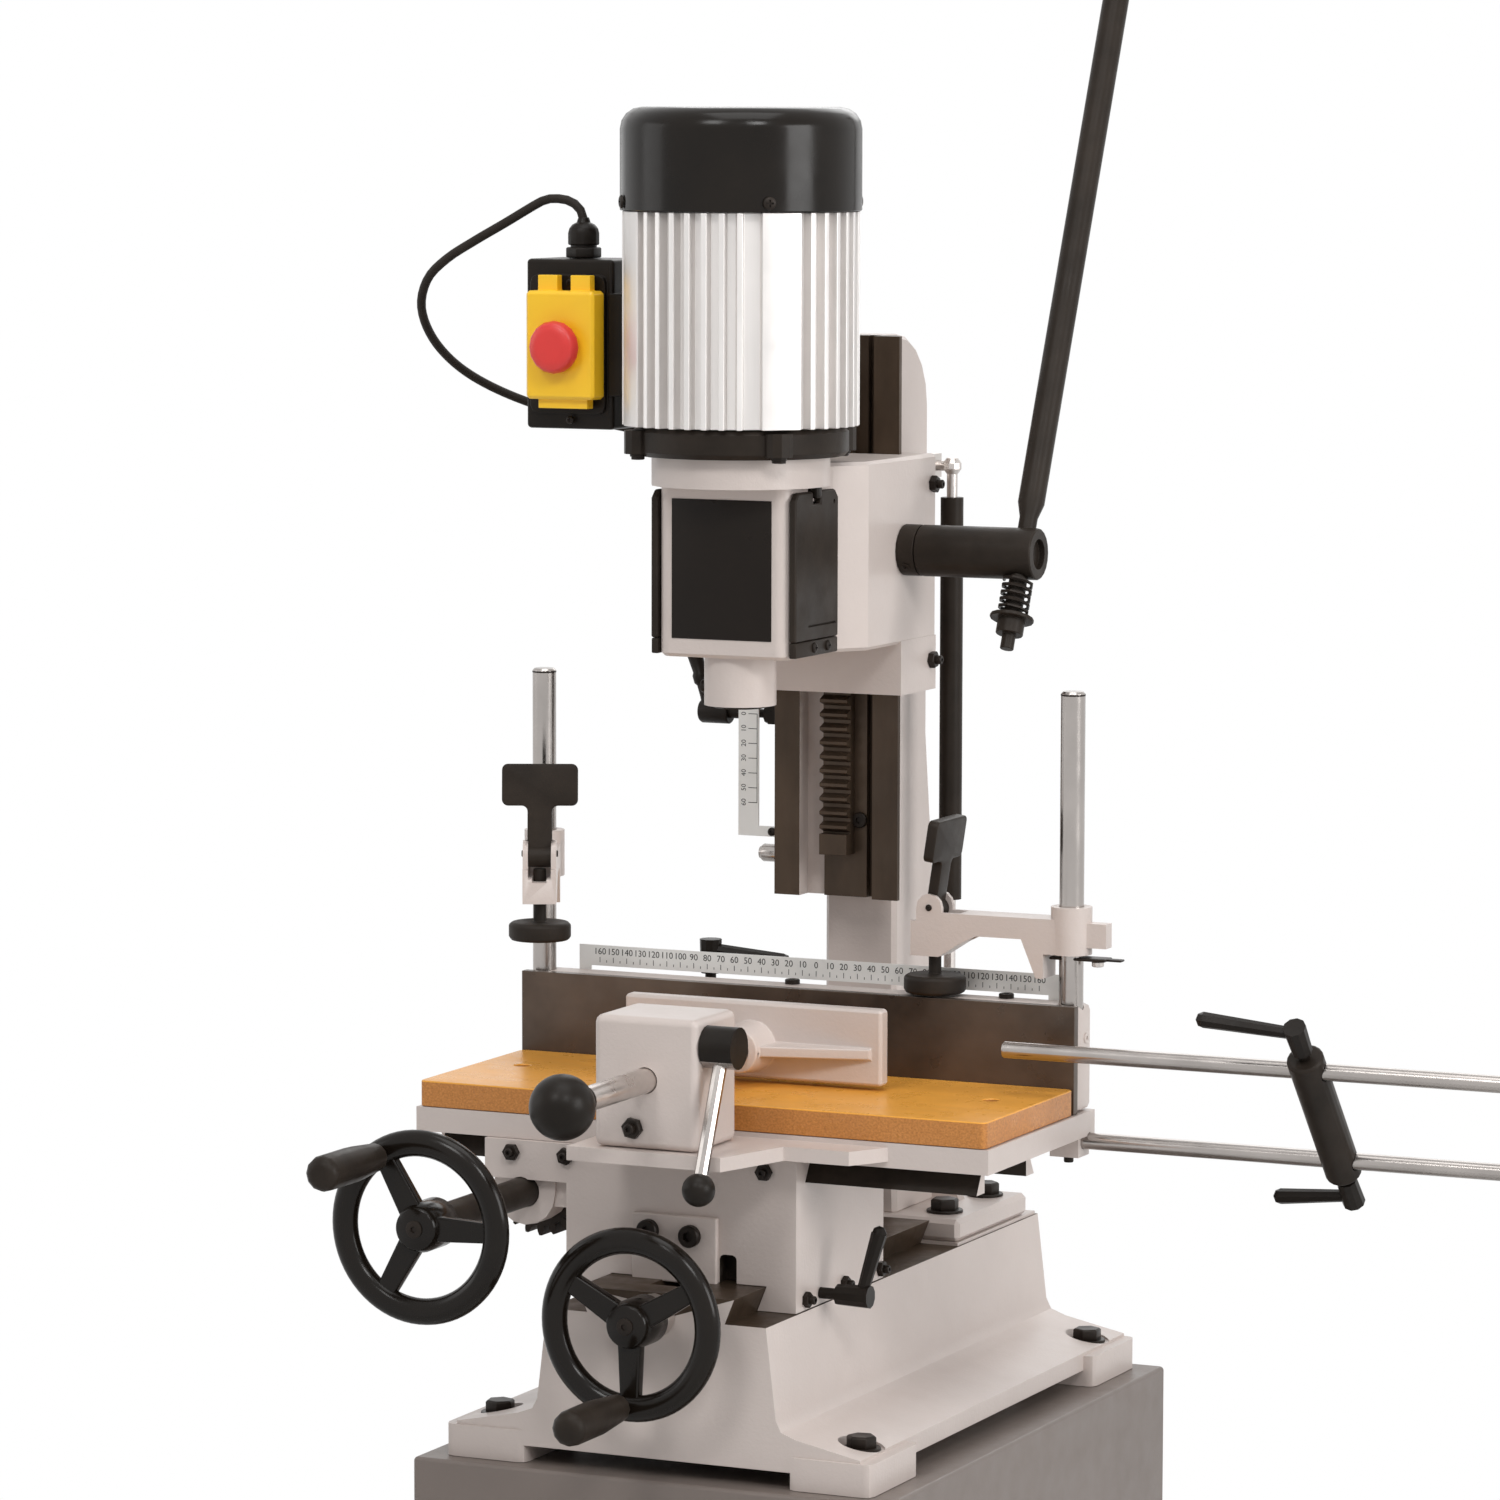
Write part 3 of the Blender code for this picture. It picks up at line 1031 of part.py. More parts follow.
def make_guard(name, sign):
    """A plastic guard flap over one side of the chuck window, hinged at its bottom edge."""
    half = HEAD_BOX_WIDTH / 2
    centre_y = SPINDLE_Y - HEAD_BOX_FRONT + GUARD_EDGE + GUARD_WIDTH / 2
    low, high = centre_y - GUARD_WIDTH / 2, centre_y + GUARD_WIDTH / 2
    notch = GUARD_NOTCH_WIDTH / 2
    shape = [(low, GUARD_BOTTOM), (high, GUARD_BOTTOM), (high, GUARD_TOP - GUARD_THICKNESS),
             (high - GUARD_THICKNESS, GUARD_TOP), (centre_y + notch, GUARD_TOP),
             (centre_y + notch, GUARD_TOP - GUARD_NOTCH_DEPTH), (centre_y - notch, GUARD_TOP - GUARD_NOTCH_DEPTH),
             (centre_y - notch, GUARD_TOP), (low + GUARD_THICKNESS, GUARD_TOP), (low, GUARD_TOP - GUARD_THICKNESS)]
    inner, outer = half + FIT, half + FIT + GUARD_THICKNESS
    ends = (inner, outer) if sign > 0 else (-outer, -inner)
    guard = bevel(plate(name, shape, "X", *ends), GUARD_THICKNESS / 5, 1)
    keep(guard, "black_plastic")
    hinge = pivot(name + "_hinge", (sign * outer, centre_y, GUARD_BOTTOM), head_slide)
    carry(hinge, guard)


def fin_outline():
    """The motor body's section: fins all round but for a smooth land in each quarter."""
    points = []
    span = pi / 2 - LAND_ANGLE
    step = span / MOTOR_FINS_PER_QUARTER
    fin = step * FIN_SHARE
    for quarter in range(4):
        land_middle = pi / 4 + quarter * pi / 2
        for k in range(4):
            angle = land_middle - LAND_ANGLE / 2 + LAND_ANGLE * k / 3
            points.append((MOTOR_RADIUS, angle))
        start = land_middle + LAND_ANGLE / 2
        for k in range(MOTOR_FINS_PER_QUARTER):
            gap_start = start + step * k
            points.append((MOTOR_CORE_RADIUS, gap_start))
            points.append((MOTOR_CORE_RADIUS, gap_start + step - fin))
            if k < MOTOR_FINS_PER_QUARTER - 1:
                points.append((MOTOR_RADIUS, gap_start + step - fin * 0.85))
                points.append((MOTOR_RADIUS, gap_start + step - fin * 0.15))
            else:
                points[-1] = (MOTOR_CORE_RADIUS, gap_start + step)
    return [(r * cos(a), SPINDLE_Y + r * sin(a)) for r, a in points]


def make_motor():
    flange = rod("motor_flange", (0, SPINDLE_Y, MOTOR_FLANGE_Z), (0, SPINDLE_Y, MOTOR_FLANGE_Z + MOTOR_FLANGE_HEIGHT),
                 MOTOR_FLANGE_RADIUS)
    bevel(flange, MOTOR_FLANGE_HEIGHT / 6, 1)
    for k in range(4):
        angle = pi / 4 + k * pi / 2
        x, y = MOTOR_EAR_CIRCLE * cos(angle), SPINDLE_Y + MOTOR_EAR_CIRCLE * sin(angle)
        join(flange, rod("flange_ear", (x, y, MOTOR_FLANGE_Z + MOTOR_FLANGE_HEIGHT * 0.1),
                         (x, y, MOTOR_FLANGE_Z + MOTOR_FLANGE_HEIGHT * 0.9), MOTOR_EAR_RADIUS, steps=SMALL_STEPS))
    cut(flange, rod("flange_bore", (0, SPINDLE_Y, MOTOR_FLANGE_Z - SPARE),
                    (0, SPINDLE_Y, MOTOR_FLANGE_Z + MOTOR_FLANGE_HEIGHT + SPARE), SHAFT_RADIUS + RUN))
    keep(flange, "satin_black")

    body = plate("motor_body", fin_outline(), "Z", MOTOR_BODY_Z, MOTOR_BODY_Z + MOTOR_BODY_HEIGHT)
    cut(body, rod("body_bore", (0, SPINDLE_Y, MOTOR_BODY_Z - SPARE),
                  (0, SPINDLE_Y, MOTOR_BODY_Z + MOTOR_BODY_HEIGHT + SPARE), HEAD_BORE_RADIUS / 2, steps=SMALL_STEPS))
    keep(body, "aluminium")

    outer = [(COWL_RADIUS, 0.0)] + [(r, z) for r, z in arc((COWL_RADIUS - COWL_ROUND, COWL_HEIGHT - COWL_ROUND),
                                                          COWL_ROUND, 0, 90, 4)] + [(0.0, COWL_HEIGHT)]
    inner_round = COWL_ROUND - COWL_WALL
    inner = [(0.0, COWL_HEIGHT - COWL_WALL)]
    inner += [(r, z) for r, z in arc((COWL_RADIUS - COWL_ROUND, COWL_HEIGHT - COWL_ROUND), inner_round, 90, 0, 3)]
    inner += [(COWL_RADIUS - COWL_WALL, 0.0)]
    profile = outer + inner + [outer[0]]
    cowl = turned("fan_cowl", profile, (0, SPINDLE_Y, COWL_Z), (0, 0, 1), 24)
    for k in range(COWL_SLOTS):
        angle = 2 * pi * k / COWL_SLOTS
        slot = block("cowl_slot", (COWL_SLOT_INNER, -COWL_SLOT_WIDTH / 2, COWL_HEIGHT - COWL_WALL - SPARE / 2),
                     (COWL_SLOT_OUTER, COWL_SLOT_WIDTH / 2, COWL_HEIGHT + SPARE))
        slot.data.transform(Matrix.Translation((0, SPINDLE_Y, COWL_Z)) @ Matrix.Rotation(angle, 4, "Z"))
        cut(cowl, slot)
    keep(cowl, "gloss_black")
    return flange, body, cowl


def make_switch():
    left, right = SWITCH_X - SWITCH_WIDTH / 2, SWITCH_X + SWITCH_WIDTH / 2
    low, high = SWITCH_Z - SWITCH_HEIGHT / 2, SWITCH_Z + SWITCH_HEIGHT / 2
    box = block("switch_box", (left, SWITCH_FRONT, low), (right, SWITCH_FRONT + SWITCH_DEPTH, high))
    bevel(box, SWITCH_WALL, 2)
    arm = SWITCH_DEPTH * 0.3
    reach = -sqrt(MOTOR_RADIUS ** 2 - arm ** 2) - FIT * 2
    join(box, block("switch_mount", (right - ROOT_EMBED, SPINDLE_Y - arm + SWITCH_WALL, low + SWITCH_HEIGHT * 0.2),
                    (reach - (MOTOR_RADIUS + reach) * 1.2, SPINDLE_Y + arm, high - SWITCH_HEIGHT * 0.2)))
    shape = rounded((SWITCH_X - PANEL_WIDTH / 2, SWITCH_Z - PANEL_HEIGHT / 2),
                    (SWITCH_X + PANEL_WIDTH / 2, SWITCH_Z + PANEL_HEIGHT / 2), SWITCH_WALL * 2, 2)
    join(box, plate("switch_panel", shape, "Y", SWITCH_FRONT - PANEL_PROUD, SWITCH_FRONT + ROOT_EMBED))
    start_z = SWITCH_Z - COVER_WALL * 0.5 + START_DROP
    cut(box, rod("start_well", (SWITCH_X + COVER_SHIFT, SWITCH_FRONT - PANEL_PROUD - SPARE, start_z),
                 (SWITCH_X + COVER_SHIFT, SWITCH_FRONT + ROOT_EMBED, start_z), START_RADIUS + RUN, steps=SMALL_STEPS))
    keep(box, "black_plastic")

    face = SWITCH_FRONT - PANEL_PROUD - FIT
    centre = SWITCH_X + COVER_SHIFT
    low, high = SWITCH_Z - COVER_HEIGHT / 2, SWITCH_Z + COVER_HEIGHT / 2
    cover = block("switch_cover", (centre - COVER_WIDTH / 2, face - COVER_DEPTH, low),
                  (centre + COVER_WIDTH / 2, face, high))
    bevel(cover, COVER_WALL, 1)
    cut(cover, block("cover_hollow", (centre - COVER_WIDTH / 2 + COVER_WALL, face - COVER_DEPTH + COVER_WALL, low + COVER_WALL),
                     (centre + COVER_WIDTH / 2 - COVER_WALL, face + SPARE, high - COVER_WALL)))
    for side in (-1, 1):
        tab_x = centre + side * COVER_WIDTH * 0.24
        join(cover, block("cover_tab", (tab_x - COVER_TAB_WIDTH / 2, face - COVER_DEPTH * 0.6, high - COVER_WALL),
                          (tab_x + COVER_TAB_WIDTH / 2, face - COVER_DEPTH * 0.2, high + COVER_TAB_HEIGHT)))
    join(cover, block("cover_lip", (centre - COVER_WIDTH * 0.36, face - COVER_DEPTH * 0.7, low - COVER_LIP),
                      (centre + COVER_WIDTH * 0.36, face - COVER_DEPTH * 0.2, low + COVER_WALL)))
    stop_z = SWITCH_Z - COVER_WALL * 0.5
    cut(cover, rod("stop_bore", (centre, face - COVER_DEPTH - SPARE, stop_z), (centre, face - SPARE, stop_z),
                   STOP_STEM_RADIUS + RUN))
    keep(cover, "yellow_plastic")

    nose = face - COVER_DEPTH - STOP_HEAD - STOP_STEM * 0.4
    stop_profile = [(0.0, 0.0), (STOP_RADIUS * 0.55, 0.0), (STOP_RADIUS * 0.9, STOP_HEAD * 0.25),
                    (STOP_RADIUS, STOP_HEAD * 0.6), (STOP_RADIUS, STOP_HEAD), (STOP_STEM_RADIUS, STOP_HEAD),
                    (STOP_STEM_RADIUS, STOP_HEAD + STOP_STEM), (0.0, STOP_HEAD + STOP_STEM)]
    stop = turned("stop_button", stop_profile, (centre, nose, stop_z), (0, 1, 0), 16)
    keep(stop, "red_plastic")
    start = rod("start_button", (centre, face - START_PROUD, start_z), (centre, face + PANEL_PROUD / 2, start_z), START_RADIUS,
                steps=SMALL_STEPS)
    keep(bevel(start, START_RADIUS / 8, 1), "green_plastic")

    gland_z = SWITCH_Z + SWITCH_HEIGHT / 2 + FIT
    profile = [(GLAND_RADIUS, 0.0), (GLAND_RADIUS, GLAND_NUT_HEIGHT), (GLAND_RADIUS * 0.82, GLAND_NUT_HEIGHT),
               (GLAND_RADIUS * 0.82, GLAND_HEIGHT * 0.75), (CORD_RADIUS * 1.5, GLAND_HEIGHT),
               (0.0, GLAND_HEIGHT)]
    gland = turned("cord_gland", [(0.0, 0.0)] + profile, (SWITCH_X, GLAND_Y, gland_z), (0, 0, 1), 12)
    keep(gland, "black_plastic")

    hinge = pivot("cover_hinge", (centre, face - COVER_DEPTH * 0.4, high + COVER_TAB_HEIGHT / 2), head_slide)
    carry(head_slide, box, gland)
    carry(hinge, cover)
    carry(pivot("stop_press", (centre, nose, stop_z), hinge), stop)
    carry(pivot("start_press", (centre, face - START_PROUD, start_z), head_slide), start)


def lever_point(distance):
    """A point on the feed lever's own line, measured from the hub's axis."""
    return Vector((LEVER_X, FEED_AXIS_Y + distance * sin(LEVER_LEAN), FEED_AXIS_Z + distance * cos(LEVER_LEAN)))


def make_feed():
    axis = (FEED_AXIS_Y, FEED_AXIS_Z)
    outline = [(axis[0] + u, axis[1] + v) for u, v in gear_outline(FEED_TEETH, GEAR_MODULE, TOOTH_PLAY, pinion_phase())]
    half = FEED_RACK_WIDTH / 2
    pinion = plate("feed_pinion_shaft", outline, "X", -half, half)
    join(pinion, rod("pinion_shaft", (-HEAD_X, *axis), (HEAD_X + FIT + HUB_COLLAR_LENGTH / 2, *axis), FEED_SHAFT_RADIUS),
         rod("hub_collar", (HEAD_X + FIT, *axis), (COLLAR_END_X, *axis), HUB_RADIUS))
    keep(pinion, "machined_iron")

    hub = rod("lever_hub", (COLLAR_END_X + FIT, *axis), (HUB_END_X, *axis), HUB_RADIUS)
    bevel(hub, HUB_RADIUS / 20, 1)
    cut(hub, rod("hub_end_bore", (HUB_END_X - HUB_BORE_DEPTH, *axis), (HUB_END_X + SPARE, *axis), HUB_BORE_RADIUS),
        rod("lever_hole", lever_point(-HUB_RADIUS - SPARE), lever_point(HUB_RADIUS + SPARE),
            LEVER_NECK_RADIUS + RUN, steps=SMALL_STEPS))
    keep(hub, "satin_black")

    start = HUB_RADIUS + LEVER_NECK_LENGTH
    spring_top = -HUB_RADIUS - SPRING_WIRE
    washer_top = spring_top - SPRING_LENGTH - SPRING_WIRE
    nut_top = washer_top - WASHER_THICKNESS
    end = LEVER_LENGTH - LEVER_KNOB_RADIUS
    knob = arc((0.0, LEVER_LENGTH), LEVER_KNOB_RADIUS, -60, 90, 7)
    profile = [(0.0, -LEVER_STUD_END), (LEVER_STUD_RADIUS, -LEVER_STUD_END),
               (LEVER_STUD_RADIUS, nut_top - NUT_HEIGHT), (NUT_RADIUS, nut_top - NUT_HEIGHT),
               (NUT_RADIUS, nut_top), (WASHER_RADIUS, nut_top), (WASHER_RADIUS, washer_top),
               (LEVER_NECK_RADIUS, washer_top), (LEVER_NECK_RADIUS, start),
               (LEVER_RADIUS, start + LEVER_TAPER_LENGTH), (LEVER_RADIUS, end)]
    profile += [(max(r, 0.0), s) for r, s in knob if s > end][:-1] + [(0.0, LEVER_LENGTH + LEVER_KNOB_RADIUS)]
    lever = turned("feed_lever", profile, lever_point(0.0), lever_point(1.0) - lever_point(0.0), 16)
    keep(lever, "satin_black")

    coil = []
    per_turn = 8
    turn = (lever_point(1.0) - lever_point(0.0)).to_track_quat("Z", "Y").to_matrix()
    for k in range(SPRING_TURNS * per_turn + 1):
        angle = 2 * pi * k / per_turn
        height = spring_top - SPRING_LENGTH * k / (SPRING_TURNS * per_turn)
        local = Vector((SPRING_RADIUS * cos(angle), SPRING_RADIUS * sin(angle), height))
        coil.append(lever_point(0.0) + turn @ local)
    print("lever spring: least gap between turns",
          round((SPRING_LENGTH / SPRING_TURNS - 2 * SPRING_WIRE) * 1000, 2), "mm")
    spring = tube("lever_spring", coil, SPRING_WIRE, 1)
    keep(spring, "bright_steel")

    spin = pivot("feed_axis", (0.0, *axis), head_slide)
    carry(spin, pinion, hub)
    pull = pivot("lever_line", lever_point(0.0), spin)
    carry(pull, lever, spring)


def make_strut():
    head_end = [(0.0, 0.0), (STRUT_RADIUS, 0.0), (STRUT_RADIUS, STRUT_TOP - STRUT_BOTTOM),
                (STRUT_NECK_RADIUS, STRUT_TOP - STRUT_BOTTOM), (STRUT_NECK_RADIUS, STRUT_BALL_Z - STRUT_BOTTOM),
                (0.0, STRUT_BALL_Z - STRUT_BOTTOM)]
    cylinder = turned("strut_cylinder", head_end, (STRUT_X, STRUT_Y, STRUT_BOTTOM), (0, 0, 1), 20)
    join(cylinder, ball("strut_ball", (STRUT_X, STRUT_Y, STRUT_BALL_Z), STRUT_BALL_RADIUS, SMALL_STEPS))
    bracket_x = STRUT_X - STRUT_BALL_RADIUS - STRUT_BRACKET_THICKNESS
    join(cylinder, rod("ball_stud", (bracket_x, STRUT_Y, STRUT_BALL_Z), (STRUT_X, STRUT_Y, STRUT_BALL_Z),
                       STRUT_NECK_RADIUS, steps=12),
         block("strut_bracket", (bracket_x - STRUT_BRACKET_THICKNESS, HEAD_BLOCK_BACK + FIT, STRUT_BALL_Z - STRUT_BRACKET_HEIGHT / 2),
               (bracket_x + ROOT_EMBED / 2, STRUT_Y + STRUT_BALL_RADIUS, STRUT_BALL_Z + STRUT_BRACKET_HEIGHT / 2)))
    cut(cylinder, rod("strut_bore", (STRUT_X, STRUT_Y, STRUT_BOTTOM - SPARE),
                      (STRUT_X, STRUT_Y, STRUT_TOP - STRUT_WALL * 4), STRUT_ROD_RADIUS + RUN, steps=SMALL_STEPS))
    keep(cylinder, "satin_black")
    carry(head_slide, cylinder)

    inner = rod("strut_rod", (STRUT_X, STRUT_Y, STRUT_FOOT_Z), (STRUT_X, STRUT_Y, STRUT_ROD_TOP), STRUT_ROD_RADIUS,
                steps=SMALL_STEPS)
    keep(join(inner, ball("strut_foot", (STRUT_X, STRUT_Y, STRUT_FOOT_Z), STRUT_BALL_RADIUS, SMALL_STEPS)),
         "bright_steel")


def ratchet(name, place, axis, up, reach, lean=None):
    """A clamping lever: a hub on its stud's axis and a tapered arm that leans outwards.

    place is the hub's near end, axis points away from the clamped piece, and up is the
    way the arm points.
    """
    axis, up = Vector(axis).normalized(), Vector(up).normalized()
    lean = RATCHET_ARM_LEAN if lean is None else lean
    start = Vector(place)
    end = start + axis * RATCHET_HUB_LENGTH
    hub = rod(name, start, end, RATCHET_HUB_RADIUS * 0.9, RATCHET_HUB_RADIUS, steps=SMALL_STEPS)
    root = start + axis * RATCHET_HUB_LENGTH * 0.72
    tip = root + (up * cos(lean) + axis * sin(lean)) * reach
    arm = rod(name + "_arm", root, tip, RATCHET_ARM_RADIUS * 0.75, RATCHET_ARM_RADIUS, steps=8)
    cap = ball(name + "_tip", tip, RATCHET_ARM_RADIUS, 8)
    return join(hub, arm, cap)


def make_depth_stop():
    bar_x = -WAY_WIDTH / 2 - STOP_COLLAR_RADIUS
    low = STOP_AXIS_Z - STOP_COLLAR_RADIUS
    bar = block("depth_stop", (bar_x - STOP_BAR_WIDTH / 2, STOP_AXIS_Y - STOP_BAR_DEPTH / 2, low),
                (bar_x + STOP_BAR_WIDTH / 2, STOP_AXIS_Y + STOP_BAR_DEPTH / 2, STOP_BAR_TOP))
    collar_end = bar_x - STOP_BAR_WIDTH / 2 - STOP_COLLAR_RADIUS / 2
    stud_end = collar_end - STOP_STUD_LENGTH
    join(bar, rod("stop_collar", (bar_x, STOP_AXIS_Y, STOP_AXIS_Z), (collar_end, STOP_AXIS_Y, STOP_AXIS_Z),
                  STOP_COLLAR_RADIUS, steps=SMALL_STEPS),
         rod("stop_stud", (bar_x, STOP_AXIS_Y, STOP_AXIS_Z), (stud_end, STOP_AXIS_Y, STOP_AXIS_Z),
             STOP_STUD_RADIUS, steps=12))
    keep(bar, "satin_black")
    lever = ratchet("depth_stop_lever", (stud_end - FIT, STOP_AXIS_Y, STOP_AXIS_Z), (-1, 0, 0), (0, -0.1, 1),
                    RATCHET_SHORT_ARM)
    keep(lever, "black_plastic")
    slide = pivot("stop_slide", (bar_x, STOP_AXIS_Y, STOP_AXIS_Z), head_slide)
    carry(slide, bar)
    carry(pivot("stop_lever_axis", (stud_end, STOP_AXIS_Y, STOP_AXIS_Z), slide), lever)


def handwheel(name, x, z, y, spoke_turn):
    """A three-spoked wheel on an axis along Y, with the grip's pin hole left plain."""
    rim_profile = []
    middle = WHEEL_RADIUS - WHEEL_RIM_WIDTH / 2
    for k in range(9):
        angle = 2 * pi * k / 8
        rim_profile.append((middle + WHEEL_RIM_WIDTH / 2 * cos(angle), WHEEL_RIM_DEPTH / 2 * sin(angle)))
    wheel = turned(name, rim_profile, (x, y, z), (0, 1, 0), 24)
    hub = turned(name + "_hub", [(0.0, -WHEEL_HUB_FRONT), (WHEEL_HUB_RADIUS * 0.85, -WHEEL_HUB_FRONT),
                                 (WHEEL_HUB_RADIUS, 0.0), (WHEEL_HUB_RADIUS, WHEEL_HUB_BACK), (0.0, WHEEL_HUB_BACK)],
                 (x, y, z), (0, 1, 0), 16)
    for k in range(3):
        angle = spoke_turn + 2 * pi * k / 3
        wide = WHEEL_SPOKE_WIDTH / 2
        reach = middle - WHEEL_RIM_WIDTH * 0.1
        shape = [(0.0, -wide), (reach, -wide * 0.7), (reach, wide * 0.7), (0.0, wide)]
        turnedshape = [(x + u * cos(angle) - v * sin(angle), z + u * sin(angle) + v * cos(angle)) for u, v in shape]
        spoke = plate(name + "_spoke", turnedshape, "Y", y - WHEEL_SPOKE_DEPTH * 0.4, y + WHEEL_SPOKE_DEPTH * 0.6)
        join(wheel, spoke)
    return join(wheel, hub)


def grip(name, x, z, y, angle):
    """A revolving grip on its pin, in front of the wheel's rim."""
    radius = WHEEL_RADIUS - WHEEL_RIM_WIDTH * 0.62
    gx, gz = x + radius * cos(angle), z + radius * sin(angle)
    start = -WHEEL_RIM_DEPTH / 2 - FIT
    base = GRIP_RADIUS * GRIP_TAPER_SHARE
    profile = [(0.0, 0.0), (GRIP_PIN_RADIUS, 0.0), (GRIP_PIN_RADIUS, GRIP_STANDOFF), (base, GRIP_STANDOFF)]
    profile += [(GRIP_RADIUS, GRIP_LENGTH * 0.45)]
    profile += arc((GRIP_RADIUS * 0.4, GRIP_LENGTH - GRIP_RADIUS * 0.6), GRIP_RADIUS * 0.6, 0, 90, 3)
    profile += [(0.0, GRIP_LENGTH)]
    made = turned(name, profile, (gx, y + start, gz), (0, -1, 0), 12)
    return made, (gx, y, gz)


def make_cross_feed():
    y, z = FRONT_WHEEL_Y, CROSS_SCREW_Z
    hub_back = y + WHEEL_HUB_BACK + FIT
    screw = rod("cross_screw", (0, BASE_FRONT + TROUGH_END_WALL + RUN, z),
                (0, COLUMN_FOOT_FRONT - CROSS_SCREW_END_GAP, z), CROSS_SCREW_RADIUS, steps=SMALL_STEPS)
    join(screw, rod("screw_journal", (0, hub_back, z), (0, BASE_FRONT + TROUGH_END_WALL + SPARE, z),
                    CROSS_JOURNAL_RADIUS, steps=SMALL_STEPS),
         rod("screw_collar", (0, BASE_FRONT - FIT - CROSS_COLLAR_LENGTH, z), (0, BASE_FRONT - FIT, z),
             CROSS_COLLAR_RADIUS, steps=20))
    keep(screw, "bright_steel")
    wheel = handwheel("front_handwheel", 0.0, z, y, radians(-90))
    keep(wheel, "satin_black")
    handle, place = grip("front_grip", 0.0, z, y, radians(-94))
    keep(handle, "satin_black")
    axis = pivot("cross_axis", (0, y, z))
    carry(axis, screw, wheel)
    carry(pivot("front_grip_axis", place, axis), handle)


def make_saddle():
    guide_top = PLATE_BOTTOM - FIT
    front_low, front_high = TABLE_WAY_FRONT - RUN, TABLE_WAY_FRONT + TABLE_WAY_UNDERCUT - RUN
    back_low, back_high = TABLE_WAY_BACK + RUN, TABLE_WAY_BACK - TABLE_WAY_UNDERCUT + RUN
    section = [(SADDLE_FRONT, SADDLE_FOOT), (SADDLE_BACK, SADDLE_FOOT), (SADDLE_BACK, guide_top),
               (back_high, guide_top), (back_low, SADDLE_FLOOR), (front_low, SADDLE_FLOOR),
               (front_high, guide_top), (SADDLE_FRONT, guide_top)]
    saddle = plate("saddle_casting", section, "X", -SADDLE_LEFT, SADDLE_RIGHT)
    arm = [(SADDLE_FRONT, SADDLE_FLOOR - SADDLE_ARM_DROP), (front_low, SADDLE_FLOOR - SADDLE_ARM_DROP),
           (front_low, SADDLE_FLOOR), (front_high, guide_top), (SADDLE_FRONT, guide_top)]
    join(saddle, plate("saddle_arm", arm, "X", -SADDLE_ARM_LEFT, -SADDLE_LEFT + ROOT_EMBED))
    boss = arc((SIDE_AXIS_X, SIDE_AXIS_Z), SIDE_BOSS_RADIUS, 180, 360, 8)
    boss += [(SIDE_AXIS_X + SIDE_BOSS_RADIUS, SADDLE_FLOOR - FIT), (SIDE_AXIS_X - SIDE_BOSS_RADIUS, SADDLE_FLOOR - FIT)]
    join(saddle, plate("side_boss", boss, "Y", SIDE_BOSS_FRONT, SIDE_BOSS_FRONT + SIDE_BOSS_LENGTH),
         block("side_boss_web", (SIDE_AXIS_X, SIDE_BOSS_FRONT + ROOT_EMBED, SIDE_AXIS_Z - SIDE_BOSS_RADIUS * 0.4),
               (-SADDLE_LEFT + ROOT_EMBED, SIDE_BOSS_FRONT + SIDE_BOSS_LENGTH - ROOT_EMBED,
                SADDLE_FLOOR - FIT * 2)))
    slot = [(-CROSS_WAY_ROOT / 2 - RUN, SADDLE_FOOT - SPARE), (CROSS_WAY_ROOT / 2 + RUN, SADDLE_FOOT - SPARE),
            (CROSS_WAY_ROOT / 2 + RUN, SADDLE_FOOT), (CROSS_WAY_TOP / 2 + RUN, CROSS_WAY_Z + RUN),
            (-CROSS_WAY_TOP / 2 - RUN, CROSS_WAY_Z + RUN), (-CROSS_WAY_ROOT / 2 - RUN, SADDLE_FOOT)]
    way_slot = plate("cross_way_slot", slot, "Y", SADDLE_FRONT - SPARE, SADDLE_BACK + SPARE)
    gear_room = rod("side_gear_room", (SIDE_AXIS_X, SIDE_BOSS_FRONT + SIDE_BOSS_LENGTH, SIDE_AXIS_Z),
                    (SIDE_AXIS_X, SADDLE_BACK + SPARE, SIDE_AXIS_Z), SIDE_RADIUS + GEAR_MODULE + RUN * 3)
    shaft_room = rod("side_shaft_room", (SIDE_AXIS_X, min(SIDE_BOSS_FRONT, SADDLE_FRONT) - SPARE, SIDE_AXIS_Z),
                     (SIDE_AXIS_X, SIDE_BOSS_FRONT + SIDE_BOSS_LENGTH + SPARE, SIDE_AXIS_Z),
                     SIDE_SHAFT_RADIUS + RUN, steps=20)
    cut(saddle, way_slot, gear_room, shaft_room)
    nut_middle = (SADDLE_FRONT + SADDLE_BACK) / 2
    nut = block("screw_nut", (-SCREW_NUT_WIDTH / 2, nut_middle - SCREW_NUT_LENGTH / 2, CROSS_WAY_Z - SCREW_NUT_DEPTH),
                (SCREW_NUT_WIDTH / 2, nut_middle + SCREW_NUT_LENGTH / 2, CROSS_WAY_Z + RUN + ROOT_EMBED))
    join(saddle, nut)
    cut(saddle, rod("nut_bore", (0, SADDLE_FRONT, CROSS_SCREW_Z), (0, SADDLE_BACK, CROSS_SCREW_Z),
                    CROSS_SCREW_RADIUS + RUN))
    keep(saddle, "casting_paint")
    carry(saddle_slide, saddle)

